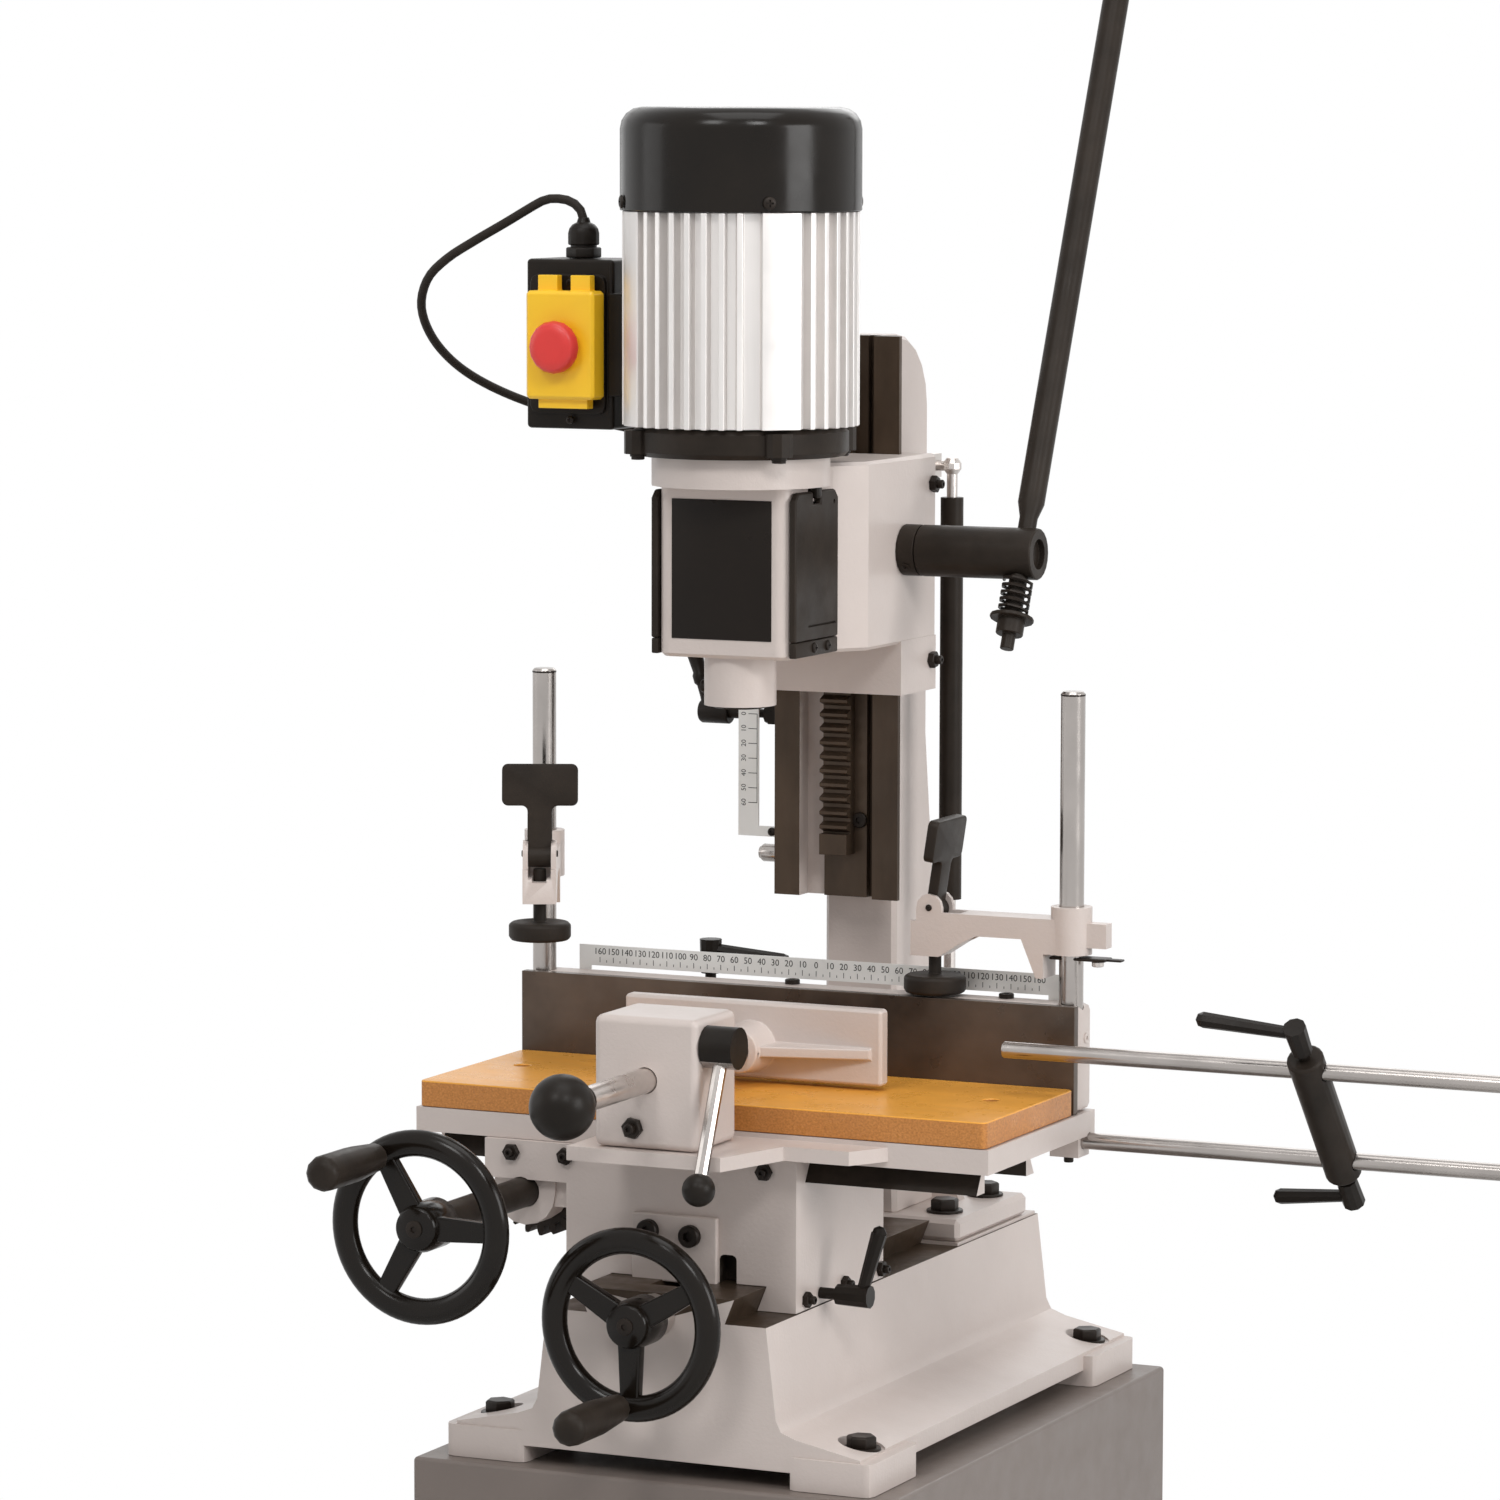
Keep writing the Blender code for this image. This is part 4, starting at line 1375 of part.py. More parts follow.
    clamp_x = SADDLE_RIGHT + FIT
    lever = ratchet("saddle_lock_lever", (clamp_x + RATCHET_HUB_RADIUS * 1.6, SADDLE_CLAMP_Y, SADDLE_CLAMP_Z),
                    (1, 0, 0), (0, 0.12, 1), RATCHET_SHORT_ARM)
    join(lever, rod("lock_stud", (clamp_x, SADDLE_CLAMP_Y, SADDLE_CLAMP_Z),
                    (clamp_x + RATCHET_HUB_LENGTH, SADDLE_CLAMP_Y, SADDLE_CLAMP_Z), RATCHET_HUB_RADIUS / 2, steps=12))
    keep(lever, "black_plastic")
    carry(pivot("saddle_lock_axis", (clamp_x, SADDLE_CLAMP_Y, SADDLE_CLAMP_Z), saddle_slide), lever)

    axis = (SIDE_AXIS_X, SIDE_AXIS_Z)
    outline = [(axis[0] + u, axis[1] + v) for u, v in gear_outline(SIDE_TEETH, GEAR_MODULE, TOOTH_PLAY, pi / 2)]
    gear_front = SIDE_BOSS_FRONT + SIDE_BOSS_LENGTH + RUN
    gear = plate("side_pinion_shaft", outline, "Y", gear_front, gear_front + SIDE_GEAR_WIDTH)
    hub_back = SIDE_WHEEL_Y + WHEEL_HUB_BACK + FIT
    join(gear, rod("side_shaft", (axis[0], hub_back, axis[1]), (axis[0], gear_front + SIDE_GEAR_WIDTH / 2, axis[1]),
                   SIDE_SHAFT_RADIUS, steps=20))
    keep(gear, "satin_black")
    wheel = handwheel("side_handwheel", axis[0], axis[1], SIDE_WHEEL_Y, 0.0)
    keep(wheel, "satin_black")
    handle, place = grip("side_grip", axis[0], axis[1], SIDE_WHEEL_Y, radians(120))
    keep(handle, "satin_black")
    spin = pivot("side_axis", (axis[0], SIDE_WHEEL_Y, axis[1]), saddle_slide)
    carry(spin, gear, wheel)
    carry(pivot("side_grip_axis", place, spin), handle)


def make_table():
    left, right = TABLE_SHIFT - PLATE_LENGTH / 2, TABLE_SHIFT + PLATE_LENGTH / 2
    front = FENCE_FACE_Y - TABLE_DEPTH - FIT
    bulge_left, bulge_right = TABLE_SHIFT - BULGE_LEFT, TABLE_SHIFT + BULGE_RIGHT
    step_right = bulge_right + BULGE_SLOPE + BULGE_STEP_WIDTH
    table = block("table_casting", (left, front, PLATE_BOTTOM), (right, PLATE_BACK, PLATE_TOP))
    root = front + ROOT_EMBED * 2
    shelf = [(bulge_left, root), (bulge_left, BULGE_FRONT), (bulge_right, BULGE_FRONT),
             (bulge_right + BULGE_SLOPE, BULGE_STEP_FRONT), (step_right, BULGE_STEP_FRONT),
             (step_right + BULGE_SLOPE, root)]
    join(table, plate("vise_shelf", shelf, "Z", PLATE_BOTTOM + PLATE_LIP, PLATE_TOP - BULGE_DROP))
    way_bottom, way_top = TABLE_WAY_Z, PLATE_BOTTOM + ROOT_EMBED
    way = [(TABLE_WAY_FRONT, way_bottom), (TABLE_WAY_BACK, way_bottom),
           (TABLE_WAY_BACK - TABLE_WAY_UNDERCUT, PLATE_BOTTOM), (TABLE_WAY_BACK - TABLE_WAY_UNDERCUT, way_top),
           (TABLE_WAY_FRONT + TABLE_WAY_UNDERCUT, way_top), (TABLE_WAY_FRONT + TABLE_WAY_UNDERCUT, PLATE_BOTTOM)]
    join(table, plate("table_way", way, "X", TABLE_SHIFT - TABLE_WAY_LENGTH / 2, TABLE_SHIFT + TABLE_WAY_LENGTH / 2))
    hollow = block("way_hollow", (left - SPARE, TABLE_WAY_FRONT + TABLE_WAY_WALL, way_bottom - SPARE),
                   (right + SPARE, TABLE_WAY_BACK - TABLE_WAY_WALL, PLATE_BOTTOM))
    foot = 1.2 * GEAR_MODULE
    rack_front = SIDE_BOSS_FRONT + SIDE_BOSS_LENGTH + RUN
    cut(table, hollow)
    step = pi * GEAR_MODULE
    count = int((PLATE_LENGTH - step * 2) / step)
    first = SIDE_AXIS_X + step / 2 - step * int((SIDE_AXIS_X + step / 2 - left - step / 2) / step)
    rack_back = rack_front + SIDE_GEAR_WIDTH + ROOT_EMBED
    join(table, block("rack_bar", (left + PLATE_LIP, rack_front + FIT, TABLE_PITCH_Z + foot),
                      (right - PLATE_LIP, rack_back, PLATE_BOTTOM + ROOT_EMBED)),
         tooth_row("table_rack", "Y", rack_front + FIT * 2, rack_back - FIT, first, TABLE_PITCH_Z, -1, count))
    lug_x = right - STOP_HOLDER_RADIUS
    join(table, block("stop_lug", (lug_x - STOP_HOLDER_RADIUS, STOP_LOWER_Y - STOP_LOWER_RADIUS * 1.7, PLATE_BOTTOM - STOP_LUG_DROP),
                      (right - PLATE_LIP, STOP_LOWER_Y + STOP_LOWER_RADIUS * 1.7, PLATE_BOTTOM + ROOT_EMBED)))
    cut(table, rod("stop_rod_bore", (STOP_LOWER_START - FIT, STOP_LOWER_Y, STOP_LOWER_Z),
                   (right + SPARE, STOP_LOWER_Y, STOP_LOWER_Z), STOP_LOWER_RADIUS + RUN, steps=SMALL_STEPS))
    keep(table, "casting_paint")

    board = plate("table_board", rounded((TABLE_SHIFT - TABLE_LENGTH / 2, FENCE_FACE_Y - FIT - TABLE_DEPTH),
                                         (TABLE_SHIFT + TABLE_LENGTH / 2, FENCE_FACE_Y - FIT), BOARD_CORNER, 2),
                  "Z", TABLE_TOP - BOARD_THICKNESS, TABLE_TOP)
    for side in (-1, 1):
        x, y = TABLE_SHIFT + side * TABLE_LENGTH * 0.42, FENCE_FACE_Y - TABLE_DEPTH * 0.42
        cut(board, rod("board_hole", (x, y, TABLE_TOP - BOARD_THICKNESS - SPARE), (x, y, TABLE_TOP + SPARE),
                       BOARD_CORNER * 1.4, steps=12))
    keep(board, "laminate")
    carry(table_slide, table, board)


def make_fence():
    left, right = TABLE_SHIFT - FENCE_LENGTH / 2, TABLE_SHIFT + FENCE_LENGTH / 2
    low = PLATE_TOP + FIT
    face = block("fence_face", (left, FENCE_FACE_Y, low), (right, FENCE_FACE_Y + FENCE_PLATE_THICKNESS, FENCE_TOP))
    keep(face, "machined_iron")
    body_front = FENCE_FACE_Y + FENCE_PLATE_THICKNESS + FIT
    body = block("fence_casting", (left, body_front, low), (right, FENCE_BACK, FENCE_TOP - FIT))
    bevel(body, FENCE_BODY_ROUND, 2, radians(60))
    wall = FENCE_PLATE_THICKNESS
    pocket_half = POST_SPACING / 2 - POST_RADIUS * 3.5
    cut(body, block("fence_pocket", (TABLE_SHIFT - pocket_half, body_front + wall, low + wall),
                    (TABLE_SHIFT + pocket_half, FENCE_BACK + SPARE, FENCE_TOP - wall)))
    for side in (-1, 1):
        x = TABLE_SHIFT + side * POST_SPACING / 2
        cut(body, rod("post_hole", (x, POST_Y, low + wall * 2), (x, POST_Y, FENCE_TOP + SPARE),
                      POST_RADIUS + FIT, steps=ROUND_STEPS))
    keep(body, "casting_paint")
    carry(table_slide, face, body)
    for side, name in ((-1, "post_left"), (1, "post_right")):
        x = TABLE_SHIFT + side * POST_SPACING / 2
        bottom = low + wall * 2 + FIT
        height = POST_TOP - bottom
        post = turned(name, [(0.0, 0.0), (POST_RADIUS, 0.0), (POST_RADIUS, height - POST_EDGE),
                             (POST_RADIUS - POST_EDGE, height), (0.0, height)], (x, POST_Y, bottom), (0, 0, 1), ROUND_STEPS)
        keep(post, "chrome")
        carry(table_slide, post)

    ruler_low, leg_low = FENCE_TOP + RULER_STANDOFF, FENCE_TOP - RULER_LEG_DROP
    ruler_left, ruler_right = TABLE_SHIFT - RULER_LENGTH / 2, TABLE_SHIFT + RULER_LENGTH / 2
    shape = [(ruler_left, leg_low), (ruler_left + RULER_LEG, leg_low), (ruler_left + RULER_LEG, ruler_low),
             (ruler_right - RULER_LEG, ruler_low), (ruler_right - RULER_LEG, leg_low - RUN),
             (ruler_right, leg_low - RUN), (ruler_right, ruler_low + RULER_WIDTH), (ruler_left, ruler_low + RULER_WIDTH)]
    ruler = plate("fence_ruler", shape, "Y", RULER_Y - RULER_THICKNESS / 2, RULER_Y + RULER_THICKNESS / 2)
    for leg in (ruler_left, ruler_right - RULER_LEG):
        join(ruler, block("ruler_spacer", (leg + RULER_THICKNESS, FENCE_BACK + FIT, leg_low + RULER_THICKNESS),
                          (leg + RULER_LEG - RULER_THICKNESS, RULER_Y, leg_low + RULER_LEG)))
    keep(ruler, "scale_plate")
    carry(table_slide, ruler)

    lock_x = TABLE_SHIFT + FENCE_LOCK_X
    lock_y = FENCE_LOCK_Y
    lock_z = FENCE_TOP + FENCE_LOCK_HEIGHT - RATCHET_HUB_LENGTH
    lever = ratchet("fence_lock_lever", (lock_x, lock_y, lock_z), (0, 0, 1), (1, 0.1, 0),
                    RATCHET_ARM_LENGTH, -RATCHET_ARM_LEAN / 2)
    join(lever, rod("lock_stud", (lock_x, lock_y, PLATE_TOP - PLATE_LIP / 2 + FIT), (lock_x, lock_y, lock_z + RATCHET_HUB_LENGTH / 2),
                    RATCHET_HUB_RADIUS / 2, steps=12))
    keep(lever, "black_plastic")
    shelf = block("lock_shelf", (lock_x - RATCHET_HUB_RADIUS * 2, PLATE_BACK - ROOT_EMBED, PLATE_BOTTOM + PLATE_LIP / 2),
                  (lock_x + RATCHET_HUB_RADIUS * 2, lock_y + RATCHET_HUB_RADIUS * 1.5, PLATE_TOP - PLATE_LIP / 2))
    join(pieces["table_casting"], shelf)
    carry(pivot("fence_lock_axis", (lock_x, lock_y, lock_z), table_slide), lever)


def make_vise():
    centre = TABLE_SHIFT
    low = PLATE_TOP + FIT
    left, right = centre - VISE_WIDTH / 2, centre + VISE_WIDTH / 2
    back = VISE_FRONT + VISE_DEPTH
    vise = block("vise_block", (left, VISE_FRONT, low - BULGE_DROP), (right, back, VISE_TOP))
    bevel(vise, VISE_ROUND / 2, 3, radians(60))
    bar_bore = rod("bar_bore", (centre, VISE_FRONT - SPARE, VISE_BAR_Z), (centre, back + SPARE, VISE_BAR_Z),
                   VISE_BAR_RADIUS + RUN, steps=ROUND_STEPS)
    cam_bore = rod("cam_bore", (right - CAM_STUB_LENGTH - FIT, CAM_Y, CAM_Z), (right + SPARE, CAM_Y, CAM_Z),
                   CAM_STUB_RADIUS + RUN, steps=20)
    keep(cut(vise, bar_bore, cam_bore), "casting_paint")
    carry(table_slide, vise)

    ball_y = VISE_FRONT - VISE_BALL_REACH
    bar_end = VISE_JAW_FRONT - VISE_SOCKET_LENGTH / 2
    bar = rod("vise_bar", (centre, ball_y, VISE_BAR_Z), (centre, bar_end, VISE_BAR_Z), VISE_BAR_RADIUS, steps=ROUND_STEPS)
    knob = ball("vise_ball", (centre, ball_y, VISE_BAR_Z), VISE_BALL_RADIUS)
    neck = rod("ball_neck", (centre, ball_y, VISE_BAR_Z), (centre, ball_y + VISE_BALL_RADIUS * 1.35, VISE_BAR_Z),
               VISE_NECK_RADIUS * 1.2, VISE_NECK_RADIUS, steps=ROUND_STEPS)
    keep(join(bar, knob, neck), "bright_steel")

    half = VISE_JAW_LENGTH / 2
    jaw_back = VISE_JAW_FRONT + VISE_JAW_THICKNESS
    jaw = block("vise_jaw", (centre - half, VISE_JAW_FRONT, VISE_JAW_BOTTOM), (centre + half, jaw_back, VISE_JAW_TOP))
    bevel(jaw, VISE_JAW_THICKNESS / 5, 2)
    rib = [(-half * 0.92, VISE_JAW_FRONT + ROOT_EMBED), (half * 0.92, VISE_JAW_FRONT + ROOT_EMBED),
           (half * 0.92, VISE_JAW_FRONT - VISE_RIB_REACH * 0.12), (VISE_SOCKET_RADIUS, VISE_JAW_FRONT - VISE_RIB_REACH),
           (-VISE_SOCKET_RADIUS, VISE_JAW_FRONT - VISE_RIB_REACH), (-half * 0.92, VISE_JAW_FRONT - VISE_RIB_REACH * 0.12)]
    rib = [(centre + x, y) for x, y in rib]
    join(jaw, plate("jaw_rib", rib, "Z", VISE_BAR_Z - VISE_RIB_HEIGHT / 2, VISE_BAR_Z + VISE_RIB_HEIGHT / 2),
         rod("jaw_socket", (centre, VISE_JAW_FRONT - VISE_SOCKET_LENGTH, VISE_BAR_Z),
             (centre, VISE_JAW_FRONT + ROOT_EMBED, VISE_BAR_Z), VISE_SOCKET_RADIUS * 0.86, VISE_SOCKET_RADIUS))
    cut(jaw, rod("jaw_bore", (centre, VISE_JAW_FRONT - VISE_SOCKET_LENGTH - SPARE, VISE_BAR_Z),
                 (centre, bar_end + FIT, VISE_BAR_Z), VISE_BAR_RADIUS + FIT, steps=ROUND_STEPS))
    keep(jaw, "casting_paint")
    slide = pivot("jaw_slide", (centre, VISE_FRONT, VISE_BAR_Z), table_slide)
    carry(slide, bar, jaw)

    barrel = rod("cam_lever", (right + FIT, CAM_Y, CAM_Z), (right + FIT + CAM_BARREL_LENGTH, CAM_Y, CAM_Z),
                 CAM_BARREL_RADIUS, steps=ROUND_STEPS)
    rod_x = right + FIT + CAM_BARREL_LENGTH / 2
    down = Vector((0, -sin(CAM_ROD_LEAN), -cos(CAM_ROD_LEAN)))
    start = Vector((rod_x, CAM_Y, CAM_Z))
    end = start + down * CAM_ROD_LENGTH
    join(barrel, rod("cam_stub", (right - CAM_STUB_LENGTH, CAM_Y, CAM_Z), (right + FIT + ROOT_EMBED, CAM_Y, CAM_Z),
                     CAM_STUB_RADIUS, steps=20),
         rod("cam_rod", start, end, CAM_ROD_RADIUS, steps=SMALL_STEPS), ball("cam_ball", end, CAM_BALL_RADIUS, 12))
    keep(barrel, "satin_black")
    carry(pivot("cam_axis", (right, CAM_Y, CAM_Z), table_slide), barrel)


def turn_about_post(obj, post_x, turn):
    """Swing a piece made with its arm along -Y round the post to its own direction."""
    place = Matrix.Translation((post_x, POST_Y, 0)) @ Matrix.Rotation(turn, 4, "Z")
    obj.data.transform(place)
    return obj


def make_clamp(side, post_x, pivot_z, turn):
    """One hold-down clamp: arm, cam lever and pad, first along -Y from the post's axis."""
    name = "clamp_" + side
    reach = -CLAMP_REACH
    top, under = pivot_z - CLAMP_ARM_TOP, pivot_z - CLAMP_ARM_TOP - CLAMP_ARM_DEPTH
    fork_low = pivot_z - CLAMP_FORK_DROP
    hub_low, hub_high = pivot_z - CLAMP_HUB_BELOW, pivot_z + CLAMP_HUB_ABOVE
    nose, fork_back = reach - CLAMP_NOSE, reach + CLAMP_FORK_BACK
    spike = -CLAMP_SPIKE_OFFSET
    ear = arc((reach, pivot_z), CLAMP_EAR_RADIUS, 0, 180, 6)
    side_view = ear + [(reach - CLAMP_EAR_RADIUS, pivot_z - CLAMP_EAR_RADIUS), (nose, pivot_z - CLAMP_EAR_RADIUS),
                       (nose, fork_low), (fork_back - CLAMP_NOSE, fork_low), (fork_back, under - CLAMP_NOSE / 2),
                       (fork_back + CLAMP_NOSE, under), (spike - CLAMP_NOSE, under),
                       (spike - CLAMP_NOSE * 0.2, pivot_z - CLAMP_SPIKE_DROP), (spike + CLAMP_NOSE * 0.2, pivot_z - CLAMP_SPIKE_DROP),
                       (spike + CLAMP_NOSE * 0.2, hub_low), (-CLAMP_HUB_RADIUS / 2, hub_low), (-CLAMP_HUB_RADIUS / 2, top),
                       (reach + CLAMP_EAR_RADIUS, top)]
    arm = plate(name + "_arm", side_view, "X", -CLAMP_ARM_WIDTH / 2, CLAMP_ARM_WIDTH / 2)
    hub = rod("clamp_hub", (0, 0, hub_low), (0, 0, hub_high), CLAMP_HUB_RADIUS, steps=ROUND_STEPS)
    lug = block("clamp_lug", (-CLAMP_LUG_WIDTH / 2, CLAMP_HUB_RADIUS / 2, hub_low + CLAMP_HUB_ABOVE),
                (CLAMP_LUG_WIDTH / 2, CLAMP_LUG_REACH, hub_high - CLAMP_LUG_WIDTH))
    slot = block("fork_slot", (-CLAMP_SLOT_WIDTH / 2, nose - SPARE, pivot_z - CLAMP_SLOT_DROP),
                 (CLAMP_SLOT_WIDTH / 2, fork_back - CLAMP_NOSE * 0.2, pivot_z + CLAMP_EAR_RADIUS + SPARE))
    inner = CLAMP_ARM_WIDTH / 2 - CLAMP_LUG_WIDTH * 0.35
    channel = block("arm_channel", (-inner, fork_back + CLAMP_NOSE * 0.3, pivot_z - CLAMP_SPIKE_DROP - SPARE),
                    (inner, spike - CLAMP_NOSE * 0.6, top - CLAMP_ARM_TOP))
    bore = rod("post_bore", (0, 0, hub_low - SPARE), (0, 0, hub_high + SPARE), POST_RADIUS + RUN, steps=ROUND_STEPS)
    plunger = rod("plunger_bore", (0, reach, fork_low - SPARE), (0, reach, pivot_z), CLAMP_BORE_RADIUS,
                  steps=SMALL_STEPS)
    made = [arm]
    for shape in (hub, lug):
        join(arm, shape)
        made.append(shape)
    for shape in (slot, channel, bore, plunger):
        cut(arm, shape)
        made.append(shape)
    keep(arm, "casting_paint")

    pad_low = pivot_z - CLAMP_PAD_DROP - CLAMP_PAD_HEIGHT / 2
    cam_low = CLAMP_CAM_RADIUS + CLAMP_CAM_OFFSET + FIT * 2
    profile = [(0.0, 0.0), (CLAMP_PAD_RADIUS * 0.93, 0.0), (CLAMP_PAD_RADIUS, CLAMP_PAD_HEIGHT * 0.2),
               (CLAMP_PAD_RADIUS, CLAMP_PAD_HEIGHT * 0.85), (CLAMP_PAD_RADIUS * 0.9, CLAMP_PAD_HEIGHT),
               (CLAMP_SCREW_RADIUS, CLAMP_PAD_HEIGHT), (CLAMP_SCREW_RADIUS, pivot_z - cam_low - pad_low),
               (0.0, pivot_z - cam_low - pad_low)]
    pad = turned(name + "_pad", profile, (0, reach, pad_low), (0, 0, 1), ROUND_STEPS)
    keep(pad, "satin_black")
    made.append(pad)

    half = CLAMP_LEVER_THICKNESS / 2
    neck = CLAMP_LEVER_NECK / 2
    head_low = CLAMP_LEVER_LENGTH - CLAMP_LEVER_HEAD
    wide = CLAMP_LEVER_WIDTH / 2
    corner = neck * 0.5
    slim = CLAMP_SLOT_WIDTH / 2 - RUN
    clear = CLAMP_EAR_RADIUS * 1.4
    paddle = [(slim, clear), (neck, head_low * 0.45), (neck * 0.85, head_low - corner), (neck * 1.5, head_low - corner * 0.2),
              (wide - corner, head_low), (wide, head_low + corner), (wide, CLAMP_LEVER_LENGTH - corner),
              (wide - corner, CLAMP_LEVER_LENGTH)]
    root = slim * 0.8
    paddle = [(-root, 0.0), (root, 0.0)] + paddle + [(-u, v) for u, v in reversed(paddle)]
    lever = plate(name + "_lever", paddle, "Y", -half, half)
    cam = rod("clamp_cam", (-slim, 0, -CLAMP_CAM_OFFSET), (slim, 0, -CLAMP_CAM_OFFSET), CLAMP_CAM_RADIUS, steps=20)
    join(lever, cam)
    lean = Matrix.Translation((0, reach, pivot_z)) @ Matrix.Rotation(CLAMP_LEAN, 4, "X")
    lever.data.transform(lean)
    cam.data.transform(lean)
    keep(lever, "black_plastic")
    made += [lever, cam]
    for obj in made:
        turn_about_post(obj, post_x, turn)
    place = Matrix.Translation((post_x, POST_Y, 0)) @ Matrix.Rotation(turn, 4, "Z") @ Vector((0, reach, pivot_z))
    slide = pivot(name + "_slide", (post_x, POST_Y, pivot_z), table_slide)
    carry(slide, arm)
    carry(pivot(name + "_cam_axis", place, slide), lever)
    carry(pivot(name + "_plunger", place, slide), pad)


def make_length_stop():
    lower = rod("stop_rod_lower", (STOP_LOWER_START, STOP_LOWER_Y, STOP_LOWER_Z),
                (STOP_LOWER_END, STOP_LOWER_Y, STOP_LOWER_Z), STOP_LOWER_RADIUS, steps=20)
    keep(bevel(lower, STOP_LOWER_RADIUS / 8, 1), "chrome")
    upper = rod("stop_rod_upper", (STOP_UPPER_START, STOP_UPPER_Y, STOP_UPPER_Z),
                (STOP_UPPER_END, STOP_UPPER_Y, STOP_UPPER_Z), STOP_UPPER_RADIUS, steps=20)
    keep(bevel(upper, STOP_UPPER_RADIUS / 8, 1), "chrome")
    low = Vector((STOP_HOLDER_X, STOP_LOWER_Y, STOP_LOWER_Z))
    high = Vector((STOP_HOLDER_X, STOP_UPPER_Y, STOP_UPPER_Z))
    along = (high - low).normalized()
    start, end = low - along * STOP_HOLDER_SPARE, high + along * STOP_HOLDER_SPARE
    holder = rod("stop_holder", start, end, STOP_HOLDER_RADIUS, steps=ROUND_STEPS)
    bevel(holder, STOP_HOLDER_RADIUS / 8, 1)
    reach = STOP_HOLDER_RADIUS + SPARE
    cut(holder, rod("holder_bore_low", low - Vector((reach, 0, 0)), low + Vector((reach, 0, 0)),
                    STOP_LOWER_RADIUS + RUN, steps=20),
        rod("holder_bore_high", high - Vector((reach, 0, 0)), high + Vector((reach, 0, 0)),
            STOP_UPPER_RADIUS + RUN, steps=20))
    keep(holder, "satin_black")
    side = Vector((-1, 0, 0)) - along * 0.12
    top_lever = ratchet("stop_lever_top", end + along * RATCHET_HUB_RADIUS * 0.9, along, side, RATCHET_ARM_LENGTH * 1.2)
    join(top_lever, rod("top_stud", end + along * FIT, end + along * RATCHET_HUB_RADIUS * 1.6, RATCHET_HUB_RADIUS / 2, steps=12))
    bottom_lever = ratchet("stop_lever_bottom", start - along * RATCHET_HUB_RADIUS * 0.9, -along, side + along * 0.24,
                           RATCHET_ARM_LENGTH)
    join(bottom_lever, rod("bottom_stud", start - along * FIT, start - along * RATCHET_HUB_RADIUS * 1.6,
                           RATCHET_HUB_RADIUS / 2, steps=12))
    keep(top_lever, "black_plastic")
    keep(bottom_lever, "black_plastic")
    rod_slide = pivot("lower_rod_slide", low, table_slide)
    carry(rod_slide, lower)
    holder_slide = pivot("holder_slide", low, rod_slide)
    carry(holder_slide, holder)
    carry(pivot("upper_rod_slide", high, holder_slide), upper)
    carry(pivot("top_lever_axis", end, holder_slide), top_lever)
    carry(pivot("bottom_lever_axis", start, holder_slide), bottom_lever)


def make_cord():
    free, free_length = smooth_route(CORD_FREE_ROUTE, CORD_RADIUS * 5)
    tail, tail_length = smooth_route(CORD_TAIL_ROUTE, CORD_RADIUS * 10)
    keep(tube("cord_free", free, CORD_RADIUS, CORD_BEVEL_STEPS), "black_plastic")
    keep(tube("cord_tail", tail, CORD_RADIUS, CORD_BEVEL_STEPS), "black_plastic")
    print("cord length", round(free_length + tail_length, 3), "m")
    end = Vector(tail[-1])
    ahead = Vector((tail[-1] - tail[-2]).to_tuple()[:2]).normalized()
    angle = atan2(ahead.y, ahead.x)
    body = block("plug", (FIT, -PLUG_WIDTH / 2, -end.z + FIT), (PLUG_LENGTH, PLUG_WIDTH / 2, -end.z + FIT + PLUG_HEIGHT))
    bevel(body, PLUG_EDGE, 2)
    pins = []
    for side in (-1, 1):
        pins.append(block("plug_pin", (PLUG_LENGTH - ROOT_EMBED, side * PLUG_PIN_SPACING / 2 - PLUG_PIN_WIDTH / 2, -end.z + PLUG_HEIGHT * 0.35),
                          (PLUG_LENGTH + PLUG_PIN_LENGTH, side * PLUG_PIN_SPACING / 2 + PLUG_PIN_WIDTH / 2,
                           -end.z + PLUG_HEIGHT * 0.35 + PLUG_PIN_THICKNESS)))
    pins.append(block("plug_earth", (PLUG_LENGTH - ROOT_EMBED, -PLUG_PIN_THICKNESS / 2, -end.z + PLUG_HEIGHT * 0.62),
                      (PLUG_LENGTH + PLUG_PIN_LENGTH * 1.2, PLUG_PIN_THICKNESS / 2,
                       -end.z + PLUG_HEIGHT * 0.62 + PLUG_PIN_WIDTH)))
    join(body, *pins)
    for obj in (body, *pins):
        obj.data.transform(Matrix.Translation(end) @ Matrix.Rotation(angle, 4, "Z"))
    keep(body, "black_plastic")


for old in list(bpy.data.objects):
    bpy.data.objects.remove(old)
machine = bpy.data.collections.new("floor_standing_mortiser")
cutters = bpy.data.collections.new("cutters")
bpy.context.scene.collection.children.link(machine)
bpy.context.scene.collection.children.link(cutters)
pieces = {}
places = {}

make_cabinet()
make_cord()
on_the_floor = set(bpy.data.objects)
make_base()
make_column()
head_slide = pivot("head_slide", (0.0, WAY_FRONT, FEED_AXIS_Z))
carry(head_slide, make_head())
carry(pivot("motor_axis", (0.0, SPINDLE_Y, CHUCK_TOP), head_slide), pieces["motor_shaft_chuck"])
carry(head_slide, *make_motor())
make_switch()
make_feed()
make_strut()
make_depth_stop()
make_cross_feed()
saddle_slide = pivot("saddle_slide", (0.0, (SADDLE_FRONT + SADDLE_BACK) / 2, CROSS_WAY_Z))
make_saddle()
table_slide = pivot("table_slide", (0.0, (TABLE_WAY_FRONT + TABLE_WAY_BACK) / 2, TABLE_WAY_Z), saddle_slide)
make_table()
make_fence()
make_vise()
for side_name, side_sign, side_z, side_turn in zip(("left", "right"), (-1, 1), CLAMP_PIVOT_Z, CLAMP_TURN):
    make_clamp(side_name, TABLE_SHIFT + side_sign * POST_SPACING / 2, side_z, side_turn)
make_length_stop()
